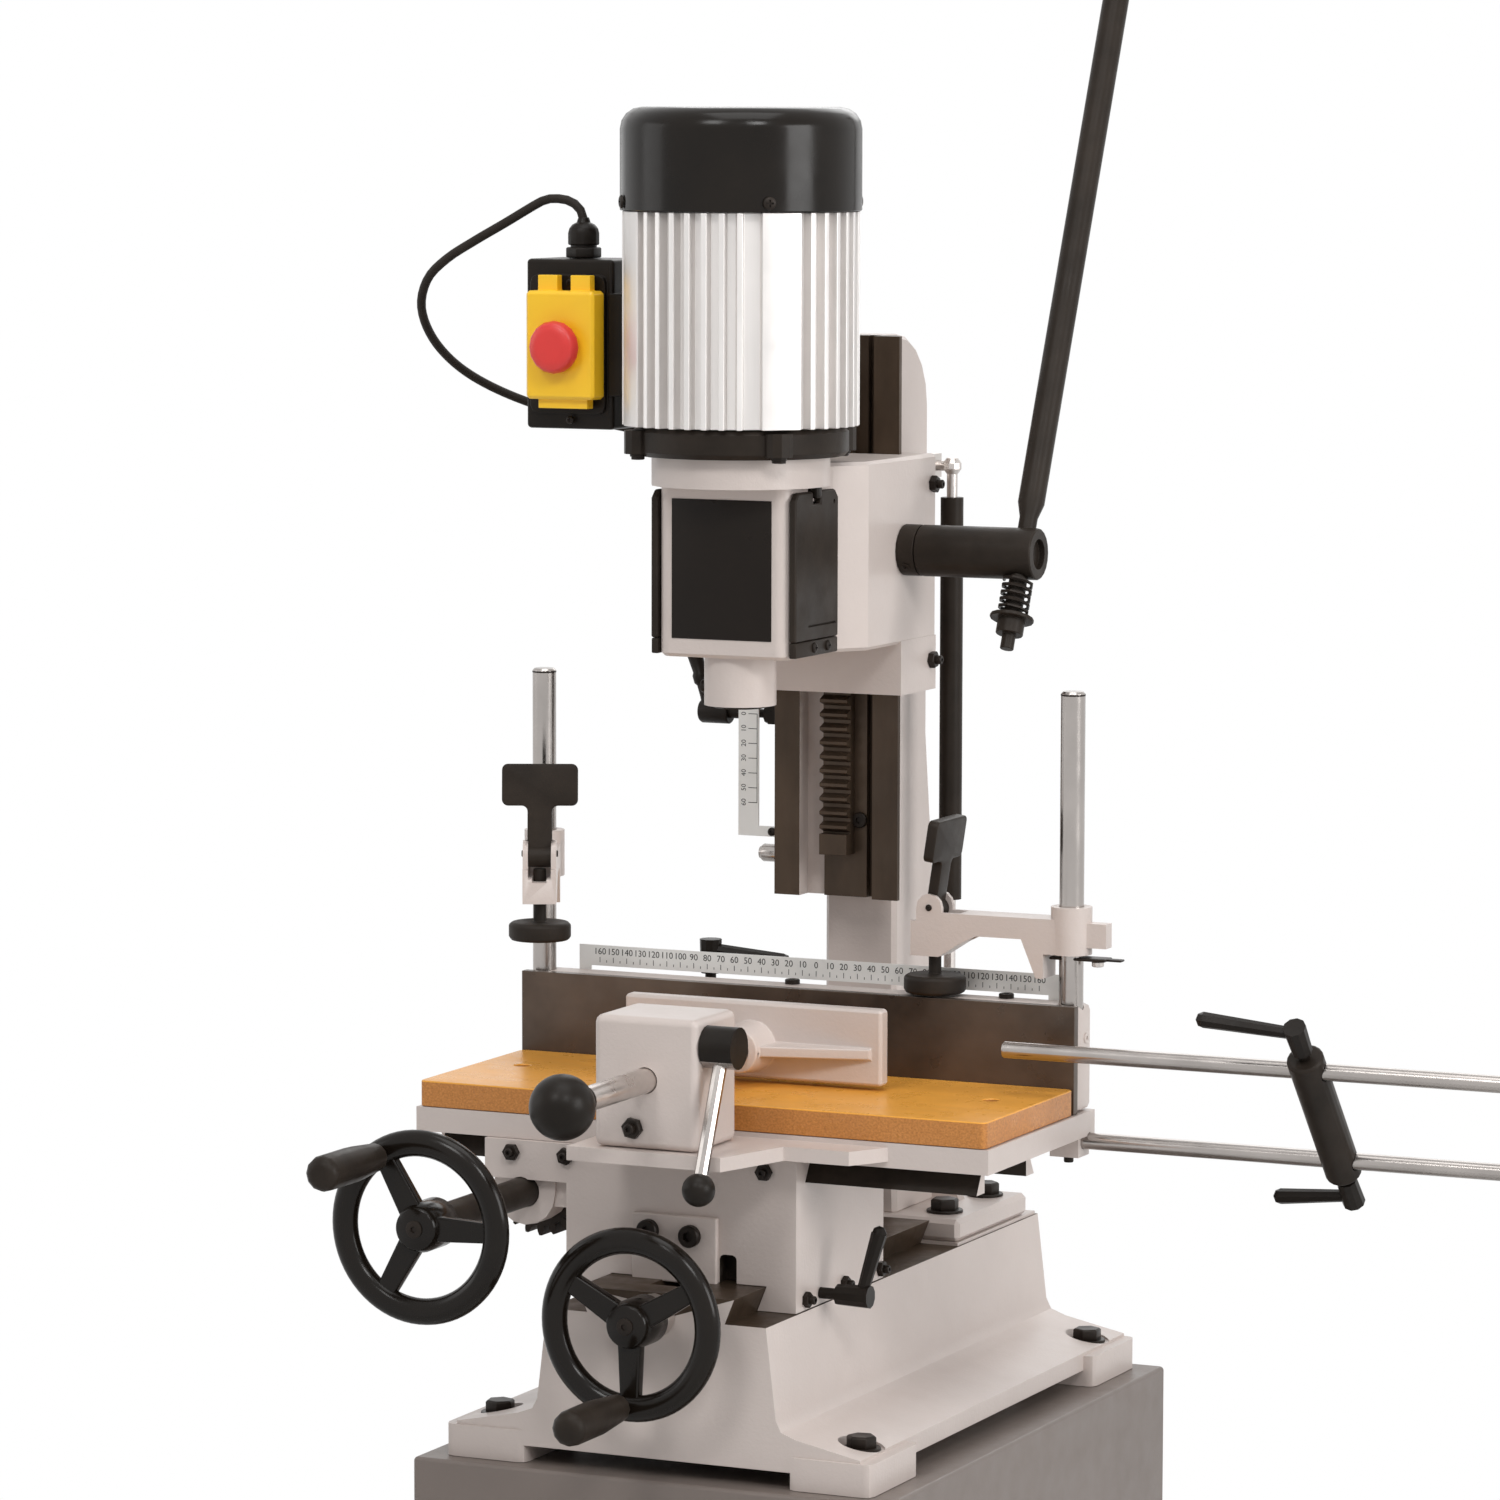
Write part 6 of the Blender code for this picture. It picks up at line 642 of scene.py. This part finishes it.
def digits(text, height, matrix):
    """A number as a thin closed mesh, centred on its place."""
    bpy.ops.object.text_add()
    obj = bpy.context.object
    obj.data.body = text
    obj.data.size = height * MM / CAPITAL
    obj.data.align_x = "CENTER"
    obj.data.align_y = "CENTER"
    obj.data.extrude = INK_DEPTH * MM
    obj.data.resolution_u = 3
    bpy.ops.object.convert(target="MESH")
    edit(obj)
    bpy.ops.mesh.remove_doubles(threshold=MERGE / 10)
    leave()
    return place(obj, matrix)


SAMPLES = 12  # between two points of a cord's route


def smooth_route(points, spacing):
    """Points at an even spacing along a smooth curve through a cord's route."""
    route = [Vector(p) for p in points]
    ends = [route[0] * 2 - route[1]] + route + [route[-1] * 2 - route[-2]]
    dense = []
    for i in range(1, len(ends) - 2):
        p0, p1, p2, p3 = ends[i - 1:i + 3]
        for k in range(SAMPLES):
            t = k / SAMPLES
            dense.append(0.5 * (2 * p1 + (p2 - p0) * t + (2 * p0 - 5 * p1 + 4 * p2 - p3) * t * t
                                + (3 * p1 - p0 - 3 * p2 + p3) * t ** 3))
    dense.append(route[-1])
    lengths = [0.0]
    for a, b in zip(dense, dense[1:]):
        lengths.append(lengths[-1] + (b - a).length)
    count = max(2, round(lengths[-1] / spacing))
    made, j = [], 0
    for i in range(count + 1):
        want = lengths[-1] * i / count
        while j < len(lengths) - 2 and lengths[j + 1] < want:
            j += 1
        share = (want - lengths[j]) / (lengths[j + 1] - lengths[j])
        made.append(dense[j].lerp(dense[j + 1], share))
    return made, lengths[-1]


# Operators, one for each group of pieces; places are in millimetres

HEX_17 = (17, 8, 12.5)  # across the flats, height, radius of the washer
FOOT_TOP = 662.6
COLUMN_FOOT_TOP = 759.6
MOTOR_Y = -100
FLANGE_BOLTS_AT = 70  # radius of their circle
COWL_RADIUS = 78
GLAND_PLACE = (-118.5, -88)
FEED_Y, FEED_Z = 26, 1216
SCALE_LOW = 1039.5  # Z of the lowest number
RULER_MIDDLE = 4.0  # X of the number 0
POSTS = {"left": -187.0, "right": 195.0}
POST_Y = -9.5
PIVOT_AT = 96  # along a clamp's arm, from its post
WHEELS = (  # name, body, where its axis meets the spokes, where its cap sits, turn of the first spoke
    ("front", "cross_drive", (0, -262, 744.3), (0, -270, 744.3), -90),
    ("side", "side_drive", (-120, -317, 806), (-120, -325, 806), 0),
)


class MORTISER_OT_cords(bpy.types.Operator):
    """The mains cord from the gland to the lug on the column, and on to its plug."""
    bl_idname = "mortiser.cords"
    bl_label = "Mains cord"

    def execute(self, context):
        plug = dressed("plug", edge=0.0012, segments=3)
        for node, route, spacing, end in (("cord_free", CORD_FREE_ROUTE, 0.006, "object"),
                                          ("cord_tail", CORD_TAIL_ROUTE, 0.010, "plug")):
            points, length = smooth_route(route, spacing)
            curve = bpy.data.curves.new(node + "_cable", "CURVE")
            curve.dimensions = "3D"
            curve.bevel_depth = CORD_RADIUS
            curve.bevel_resolution = 5
            curve.use_fill_caps = True
            spline = curve.splines.new("POLY")
            spline.points.add(len(points) - 1)
            for point, spot in zip(spline.points, points):
                point.co = (*spot, 1.0)
            cable = bpy.data.objects.new(node + "_cable", curve)
            context.scene.collection.objects.link(cable)
            curve.materials.append(finish("rubber"))
            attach(cable, BODY_OF[node])
            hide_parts(node)
        return {"FINISHED"}


class MORTISER_OT_stand(bpy.types.Operator):
    """Steel cabinet with its door, base casting and its bolts."""
    bl_idname = "mortiser.stand"
    bl_label = "Cabinet and base"

    def execute(self, context):
        machined("cabinet_shell", share=2)
        machined("cabinet_door", share=2)
        base = cast("base_casting", zones=[
            ((-77.4, -227, 741.6), (77.4, 86.8, 758.6), "machined_iron"),
            ((-54, -228, 743), (54, -225.5, 758.4), "machined_iron")])
        feet = ((-128, -192, 12), (128, -192, 40), (-128, 192, 25), (128, 192, 3))
        for x, y, _ in feet:
            notched(base, place(turned([(15, FOOT_TOP), (15, 690)], 40), moved(x, y)))
        screws("foot_bolt", "frame", [((x, y, FOOT_TOP), "+Z", spin) for x, y, spin in feet],
               hex_bolt, *HEX_17)
        return {"FINISHED"}


class MORTISER_OT_column(bpy.types.Operator):
    """Column with its bare way, rack, depth scale, gas strut and foot bolts."""
    bl_idname = "mortiser.column"
    bl_label = "Column and way"

    def execute(self, context):
        cast("column_casting", 0.6, zones=[
            ((-46, 51, 978), (-26.6, 73.5, 1356), "machined_iron"),
            ((-12.3, 60, 978), (19.3, 66.2, 1356), "machined_iron"),
            ((18.8, 51, 978), (46, 73.5, 1356), "machined_iron")])
        machined("feed_rack", "machined_iron", 0.6)
        feet = ((-54, 115, 20), (54, 115, 8), (-54, 186, 33), (54, 186, 50))
        screws("column_bolt", "frame", [((x, y, COLUMN_FOOT_TOP), "+Z", spin) for x, y, spin in feet],
               hex_bolt, *HEX_17)
        screws("rack_screw", "frame", [((14.2, 60.4, 1031.0), "-Y")], socket_screw, 5.2, 2.6, 2.4)
        machined("depth_scale", share=0.4)
        marks = []
        for number, height in enumerate(range(60, -1, -10)):
            z = SCALE_LOW + number * 10
            marks.append(block((-66.0, 55.38, z - 0.22), (-59.4, 55.52, z + 0.22)))
            marks.append(digits(str(height), 3.4, moved(-69.4, 55.44, z) @ spun(90, "X") @ spun(90, "Z")))
        marks.append(block((-59.8, 55.38, SCALE_LOW - 0.2), (-59.4, 55.52, z + 0.2)))
        fit(joined(marks), "depth_scale_marks", "frame", "ink", 20)
        screws("depth_scale_screw", "frame", [((-48.4, 55.5, 1020.4), "-Y")], pan_screw, 2.9, 2.0)
        pin = turned([(4.6, 0), (6, 0), (6, 10.5), (5.3, 11.6), (4.6, 11.8), (4.2, 13.2)], 36)
        fit(place(pin, seat((-44.6, 58.2, 1005.8), "-X")), "depth_stop_pin", "frame", "chrome")
        machined("strut_cylinder", "satin_black", zones=[((40, 77, 1246.4), (69, 116, 1276), "steel")])
        machined("strut_rod", share=0.6)
        return {"FINISHED"}


class MORTISER_OT_head(bpy.types.Operator):
    """Head casting with its bare label panel, guards and gib screws."""
    bl_idname = "mortiser.head"
    bl_label = "Head"

    def execute(self, context):
        cast("head_casting")
        panel = block((-35.2, -129.5, 1166), (35.2, -128.8, 1256), 0.25)
        fit(panel, "label_panel", "head", "label_black")
        for side, way, node in ((1, "+X", "guard_right"), (-1, "-X", "guard_left")):
            guard = machined(node, "satin_black", 2.2, 3)
            notched(guard, flank(side, (49.8, -107, 1174.1), (53, -64.5, 1175.7)))
            notched(guard, place(turned([(1.6, 0), (1.6, 4)], 20), seat((49 * side, -67, 1253), way)))
            strip = flank(side, (46.2, -126.4, 1155.4), (51.2, -60.6, 1165.3), 0.9)
            fit(strip, node + "_hinge_strip", "head", "satin_black")
            screws(node + "_screw", "head", [((51.1 * side, y, 1160.6), way) for y in (-98, -77)],
                   pan_screw, 3.4, 1.9)
            hook = flank(side, (46.0, -97.5, 1256.5), (53.2, -90.0, 1264.6), 1.3, 3)
            fit(hook, node + "_catch", "head", "black_plastic")
        ring = turned([(16.6, 1120.2), (17.4, 1120.8), (17.4, 1122.4)], 48)
        carved(ring, turned([(14.2, 1110), (14.2, 1130)], 48))
        fit(place(ring, moved(0, MOTOR_Y)), "chisel_ring", "head", "oxide")
        screws("head_gib_screw", "head", [((61.0, 70, 1257), "+X", 10), ((61.0, 69, 1140), "+X", 40)],
               gib_screw, 10, 4.5, 3.0, 8.5)
        screws("chisel_screw", "head", [((-23.2, MOTOR_Y, 1133), "-X")], socket_screw, 4.2, 4.0, 2.0)
        return {"FINISHED"}


class MORTISER_OT_motor(bpy.types.Operator):
    """Finned motor with its flange bolts, fan cowl and chuck."""
    bl_idname = "mortiser.motor"
    bl_label = "Motor"

    def execute(self, context):
        machined("motor_flange", "satin_black", 2)
        machined("motor_body")
        machined("fan_cowl", share=1.6, segments=3)
        machined("motor_shaft_chuck")
        spots = []
        for turn in (45, 135, 225, 315):
            x, y = FLANGE_BOLTS_AT * cos(radians(turn)), FLANGE_BOLTS_AT * sin(radians(turn))
            spots.append(((x, MOTOR_Y + y, 1285.3), "-Z", turn))
        screws("flange_bolt", "head", spots, hex_bolt, 8, 2.4, 5.2)
        spots = []
        for turn in (-52, 38, 128, 218):
            way = (sin(radians(turn)), -cos(radians(turn)), 0)
            spots.append(((COWL_RADIUS * way[0], MOTOR_Y + COWL_RADIUS * way[1], 1445.6), way))
        screws("cowl_screw", "head", spots, pan_screw, 4.3, 2.0)
        return {"FINISHED"}


class MORTISER_OT_switch(bpy.types.Operator):
    """Switch box with its hinged cover, stop and start buttons and cord gland."""
    bl_idname = "mortiser.switch"
    bl_label = "Switch"

    def execute(self, context):
        machined("switch_box", share=2, segments=3)
        machined("switch_cover", share=1.4, segments=3)
        machined("stop_button", share=2.4, segments=4)
        machined("start_button")
        screws("panel_screw", "head", [((-116.5, -111.9, z), "-Y") for z in (1392.2, 1303.6)],
               pan_screw, 2.7, 1.6)
        nut = turned([(9.8, 1407.8), (11.6, 1408.4), (11.6, 1414.2), (10.6, 1414.9)], 6)
        thread = turned([(8.6, 1414.0), (8.6, 1417.0)], 28)
        dome = turned([(9.6, 1416.2), (10.4, 1416.8), (10.4, 1424.0), (9.6, 1427.0), (7.6, 1429.4),
                       (5.4, 1430.6), (4.6, 1430.8), (4.2, 1432.4), (3.5, 1434.2)], 14)
        for part in (nut, dome):
            rounded(part, 0.4, 2, 24)
        gland = place(joined([nut, thread, dome]), moved(*GLAND_PLACE))
        fit(gland, "cord_gland_ribbed", "head", "black_plastic")
        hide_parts("cord_gland")
        return {"FINISHED"}


class MORTISER_OT_feed(bpy.types.Operator):
    """Feed pinion, hub, lever with its stud, spring and knob, and the depth stop."""
    bl_idname = "mortiser.feed"
    bl_label = "Feed lever"

    def execute(self, context):
        machined("feed_pinion_shaft", share=0.8, zones=[((61.1, -10, 1170), (90, 60, 1260), "satin_black")])
        machined("lever_hub", share=1.6, segments=3)
        machined("feed_lever")
        # The spring is pressed together between the hub and the lever's washer
        spring = dressed("lever_spring", "oxide", rides=False)
        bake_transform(spring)
        screws("collar_screw", "feed_hub", [((67.3, FEED_Y - 13.6, FEED_Z - 9.8), (0, -0.81, -0.58))],
               socket_screw, 2.6, 1.0, 1.3)
        machined("depth_stop")
        barrel = place(turned([(7.4, 0), (8.1, 0.8), (8.1, 20), (7.2, 21.5)]), seat((-84.2, 66, 1099), "-X"))
        stud = place(turned([(4.2, 0), (4.2, 16)], 24), seat((-69.5, 66, 1099), "-X"))
        handle = turned([(5.4, 0), (4.3, 9), (4.3, 17), (5.7, 19), (5.7, 24), (4.6, 26), (5.4, 38), (5.0, 44),
                         (3.4, 46)], 20)
        place(handle, seat((-99.6, 66, 1101), (-0.3, 0, 0.954)))
        lever = fit(united([barrel, stud, handle]), "depth_stop_lever_handle", BODY_OF["depth_stop_lever"],
                    "black_plastic")
        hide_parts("depth_stop_lever")
        return {"FINISHED"}


class MORTISER_OT_slides(bpy.types.Operator):
    """Saddle, its screws and keep plate, both handwheels and the cross drives."""
    bl_idname = "mortiser.slides"
    bl_label = "Slides and handwheels"

    def execute(self, context):
        saddle = cast("saddle_casting")
        # Notch at the end of the gib. Its inside faces are painted satin black as painted shade in the recess.
        notched(saddle, rounded_along(block((22.4, -184, 740), (34.4, -167, 777)), "Y", 3.5, 5))
        zoned(saddle, [((22.3, -177.5, 740), (34.5, -166.9, 777.1), "satin_black")])
        screws("saddle_front_screw", "saddle", [((x, -178.0, 832.5), "-Y", 15 * x) for x in (-126, -87, 54)],
               gib_screw, 10, 4, 3.0, 6.5)
        screws("saddle_side_screw", "saddle", [((76.0, y, 749.6), "+X", 11 * y) for y in (-164, -104, -46)],
               gib_screw, 9, 4, 2.8, 7.5)
        plate = block((-38, -182.4, 757), (22, -177.9, 800.5), 1.2, 3)
        fit(plate, "keep_plate", "saddle", "casting_paint")
        screws("keep_plate_bolt", "saddle", [((-25.4, -182.4, 789.8), "-Y"), ((4.2, -182.4, 788.2), "-Y")],
               socket_screw, 7.2, 5.5, 3.6)
        machined("saddle_lock_lever")
        machined("cross_screw", "steel")
        machined("side_pinion_shaft")
        for name, body, spot, _, first in WHEELS:
            node = name + "_handwheel"
            wheel = place(handwheel(first), seat(spot, "-Y"))
            fit(wheel, node + "_wheel", body, "gloss_black", 45)
            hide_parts(node)
        machined("front_grip", "satin_black", 2, 3)
        machined("side_grip", "satin_black", 2, 3)
        for name, body, _, spot, _ in WHEELS:
            screws(name + "_wheel_cap", body, [(spot, "-Y")], socket_screw, 5.6, 1.6, 2.2)
        return {"FINISHED"}


class MORTISER_OT_table(bpy.types.Operator):
    """Table with its board, fence, posts, ruler and vise."""
    bl_idname = "mortiser.table"
    bl_label = "Table, fence and vise"

    def execute(self, context):
        # The dovetail under the table is bare machined iron. This zone paints it satin black, darker than the
        # iron, as painted shade under the table.
        cast("table_casting", zones=[((-185, -168, 825), (193, -66, 840.3), "satin_black")])
        machined("table_board", share=1.6)
        machined("fence_face", "fence_iron", 0.8)
        cast("fence_casting")
        machined("fence_lock_lever")
        for side, x in POSTS.items():
            machined("post_" + side, share=0.6)
            ring = turned([(7.9, 1128.0), (8.1, 1128.2), (8.1, 1129.0), (7.9, 1129.2)], 40)
            fit(place(ring, moved(x, POST_Y)), f"post_{side}_ring", "table", "oxide")
        machined("fence_ruler", "scale_plate", 0.3)
        marks = []
        for number in range(-32, 33):
            x = RULER_MIDDLE + number * 5
            whole = number % 2 == 0
            marks.append(block((x - 0.2, 11.88, 930.8), (x + 0.2, 12.04, 934.4 if whole else 932.4)))
            if whole:
                marks.append(digits(str(abs(number) * 5), 4.3, moved(x, 11.95, 938.1) @ spun(90, "X")))
        fit(joined(marks), "ruler_marks", "table", "ink", 20)
        screws("fence_top_screw", "table", [((x, -3.0, 927.1), "+Z") for x in (-6.5, 147.0)],
               socket_screw, 5.0, 3.2, 2.4)
        fastened("fence_end_plug", "table", "casting_paint", "casting_paint",
                 [((203.8, -6.0, 905), "+X")], socket_screw, 3.4, 1.2, 1.6)
        cast("vise_block")
        cast("vise_jaw")
        machined("vise_bar", "steel", zones=[((-18, -388, 876), (26, -337.5, 920), "black_plastic")])
        machined("cam_lever", "black_plastic", zones=[((40, -272, 844.5), (62.4, -236, 911), "chrome")])
        for node, spot, radius in (("vise_bar", (4, -366, 898), 20.55),
                                   ("cam_lever", (51.3, -270.9, 835.3), 10.55)):
            fastened(node + "_ball", BODY_OF[node], "black_plastic", "satin_black", [(spot, "-Y")],
                     ball, radius)
        screws("vise_screw", "table", [((-3.6, -250.0, 867.6), "-Y", 20)], gib_screw, 12, 5, 3.6, 9)
        screws("table_stop_screw", "table", [((192, -4, 826.8), "-Z")], socket_screw, 3.2, 4.5, 1.6)
        return {"FINISHED"}


class MORTISER_OT_clamps(bpy.types.Operator):
    """Hold-down clamps with their lock plates, and the length stop."""
    bl_idname = "mortiser.clamps"
    bl_label = "Clamps and length stop"

    def execute(self, context):
        for side, pivot, turn in (("left", 1017.0, 24.8), ("right", 986.0, -90.0)):
            body = side + "_clamp"
            fork = cast(f"clamp_{side}_arm")
            machined(f"clamp_{side}_pad", share=2, segments=3)
            # Along the arm: +X towards the nose, the post at the origin
            base = moved(POSTS[side], POST_Y) @ spun(turn - 90, "Z")
            notched(fork, place(block((75.5, -7.6, pivot - 16), (112, 7.6, pivot + 14)), base))

            # Lever: a broad head on a neck, and the cam that it turns
            head = block((-3.5, -25, 31.5), (3.5, 25, 59))
            neck = block((-3.5, -8.1, -3), (3.5, 8.1, 36))
            lever = rounded_along(united([head, neck]), "X", 4.0, 5)
            rounded(lever, 0.9, 3, 40)
            cam = place(turned([(7.0, -7.3), (7.0, 7.3)], 40), moved(0, 0, -2) @ spun(90, "X"))
            lever = place(united([lever, cam]), base @ moved(PIVOT_AT, 0, pivot) @ spun(-8.6, "Y"))
            node = f"clamp_{side}_lever"
            fit(lever, node + "_handle", BODY_OF[node], "satin_black")
            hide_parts(node)

            # Lock plate round the post, with its screw
            plate = block((-26, -7, pivot - 29.6), (13, 7, pivot - 27.6), 0.8)
            tail = block((-36, -3.4, pivot - 29.4), (-25, 3.4, pivot - 27.8), 0.8)
            hole = turned([(8.2, pivot - 40), (8.2, pivot - 20)], 36)
            lock = place(joined([carved(plate, hole), tail]), base)
            fit(lock, f"clamp_{side}_lock_plate", body, "oxide")
            screw = turned([(1.9, pivot - 33.6), (1.9, pivot - 27.7)], 20)
            head = turned([(3.4, pivot - 33.4), (4.0, pivot - 32.9), (4.0, pivot - 30.4), (3.4, pivot - 29.7)],
                          24)
            screw = place(joined([screw, head]), base @ moved(-18.5, 0))
            fit(screw, f"clamp_{side}_lock_screw", body, "steel")
            for number, across in enumerate((11.1, -11.1), 1):
                pin = turned([(2.2, 0), (2.2, 0.5), (1.7, 0.9), (1.0, 0.9), (0.8, 0.3)], 20)
                facing = spun(-90 if across > 0 else 90, "X")
                place(pin, base @ moved(PIVOT_AT, across, pivot) @ facing)
                fit(pin, f"clamp_{side}_pivot_pin_{number}", body, "oxide")
        for node in ("stop_rod_lower", "stop_rod_upper", "stop_holder", "stop_lever_top", "stop_lever_bottom"):
            machined(node)
        return {"FINISHED"}


FLOOR_FADE = (0.9, 2.3)  # from here to there, in metres from the middle, the floor fades to white
LAMPS = (  # name, place, target, size, share of the settings' power
    ("front_lamp", (-0.25, -3.0, 3.6), (0, -0.1, 1.15), 0.9, 0.8),
    ("right_front_lamp", (2.15, -2.6, 3.6), (0, -0.1, 1.15), 0.9, 1.0),
    ("right_lamp", (3.4, -0.6, 1.9), (0, -0.05, 1.0), 1.6, 1.5),
    ("left_lamp", (-3.2, -1.4, 1.9), (0, -0.05, 1.0), 1.6, 0.3),
    ("top_lamp", (0.4, -0.7, 4.4), (0, 0, 1.0), 2.2, 1.1),
    ("rear_lamp", (-0.6, 2.8, 2.8), (0, 0, 1.1), 1.8, 0.4),
)


class MORTISER_OT_stage(bpy.types.Operator):
    """Pale floor, soft lamps, white surroundings and the photograph's camera."""
    bl_idname = "mortiser.stage"
    bl_label = "Stage and camera"

    def execute(self, context):
        _, _, stage = settings()
        scene = context.scene
        self.floor(context)
        self.world(scene, stage)

        for name, spot, target, size, share in LAMPS:
            lamp = bpy.data.lights.new(name, "AREA")
            lamp.size = size
            lamp.energy = stage.key_power * share
            holder = bpy.data.objects.new(name, lamp)
            holder.location = spot
            holder.rotation_euler = (Vector(target) - Vector(spot)).to_track_quat("-Z", "Y").to_euler()
            scene.collection.objects.link(holder)

        camera = bpy.data.cameras.new("photo_camera")
        camera.lens = stage.lens
        camera.sensor_width = 36.0
        camera.clip_start, camera.clip_end = 0.1, 60.0
        holder = bpy.data.objects.new("photo_camera", camera)
        holder.location = stage.camera_place
        turn = (Matrix.Rotation(stage.camera_turn, 4, "Z")
                @ Matrix.Rotation(pi / 2 - stage.camera_tilt, 4, "X")
                @ Matrix.Rotation(stage.camera_roll, 4, "Z"))
        holder.rotation_euler = turn.to_euler()
        scene.collection.objects.link(holder)
        scene.camera = holder
        scene.view_settings.view_transform = "Standard"
        return {"FINISHED"}

    @staticmethod
    def floor(context):
        bpy.ops.mesh.primitive_plane_add(size=40)
        floor = context.object
        floor.name = "floor"
        made, tree, coords, shader = blank_material("pale_floor")
        pale = ramp(tree, noise(tree, coords, 3.0), [(0.3, (0.80, 0.80, 0.795)), (0.7, (0.83, 0.83, 0.825))])
        tree.links.new(pale, shader.inputs["Base Color"])
        shader.inputs["Roughness"].default_value = 0.6
        white = added(tree, "Emission", Color=(1, 1, 1, 1), Strength=1.0)
        away = tree.nodes.new("ShaderNodeVectorMath")
        away.operation = "LENGTH"
        tree.links.new(coords, away.inputs[0])
        fade = added(tree, "MapRange", From_Min=FLOOR_FADE[0], From_Max=FLOOR_FADE[1])
        fade.interpolation_type = "SMOOTHSTEP"
        tree.links.new(away.outputs["Value"], fade.inputs["Value"])
        share = reckoned(tree, "MULTIPLY", fade.outputs["Result"], seen_rays(tree))
        mixed(tree, share, shader.outputs["BSDF"], white.outputs["Emission"],
              tree.nodes["Material Output"].inputs["Surface"])
        floor.data.materials.append(made)

    @staticmethod
    def world(scene, stage):
        world = bpy.data.worlds.new("studio")
        scene.world = world
        world.use_nodes = True
        tree = world.node_tree
        tree.nodes.clear()
        out = tree.nodes.new("ShaderNodeOutputWorld")
        soft = added(tree, "Background", Color=(1, 1, 1, 1), Strength=stage.fill)
        white = added(tree, "Background", Color=(1, 1, 1, 1), Strength=1.0)
        mixed(tree, seen_rays(tree), soft.outputs["Background"], white.outputs["Background"],
              out.inputs["Surface"])


class MORTISER_PT_panel(bpy.types.Panel):
    """Lists the steps that dress the mortiser."""
    bl_idname = "MORTISER_PT_panel"
    bl_label = "Mortiser"
    bl_space_type = "VIEW_3D"
    bl_region_type = "UI"
    bl_category = "Mortiser"

    def draw(self, context):
        for step in STEPS:
            self.layout.operator(step.bl_idname)
        for group in settings():
            box = self.layout.box()
            for key in group.__annotations__:
                box.prop(group, key)


STEPS = (MORTISER_OT_stage, MORTISER_OT_cords, MORTISER_OT_stand, MORTISER_OT_column, MORTISER_OT_head,
         MORTISER_OT_motor, MORTISER_OT_switch, MORTISER_OT_feed, MORTISER_OT_slides, MORTISER_OT_table,
         MORTISER_OT_clamps)
GROUPS = (("mortiser_finishes", MortiserFinishes), ("mortiser_sizes", MortiserSizes),
          ("mortiser_stage", MortiserStage))


def register():
    for name, group in GROUPS:
        bpy.utils.register_class(group)
        setattr(bpy.types.Scene, name, PointerProperty(type=group))
    for step in STEPS:
        bpy.utils.register_class(step)
    bpy.utils.register_class(MORTISER_PT_panel)


def unregister():
    bpy.utils.unregister_class(MORTISER_PT_panel)
    for step in reversed(STEPS):
        bpy.utils.unregister_class(step)
    for name, group in reversed(GROUPS):
        delattr(bpy.types.Scene, name)
        bpy.utils.unregister_class(group)


def main():
    register()
    for step in STEPS:
        group, call = step.bl_idname.split(".")
        getattr(getattr(bpy.ops, group), call)()


if __name__ == "__main__":
    main()
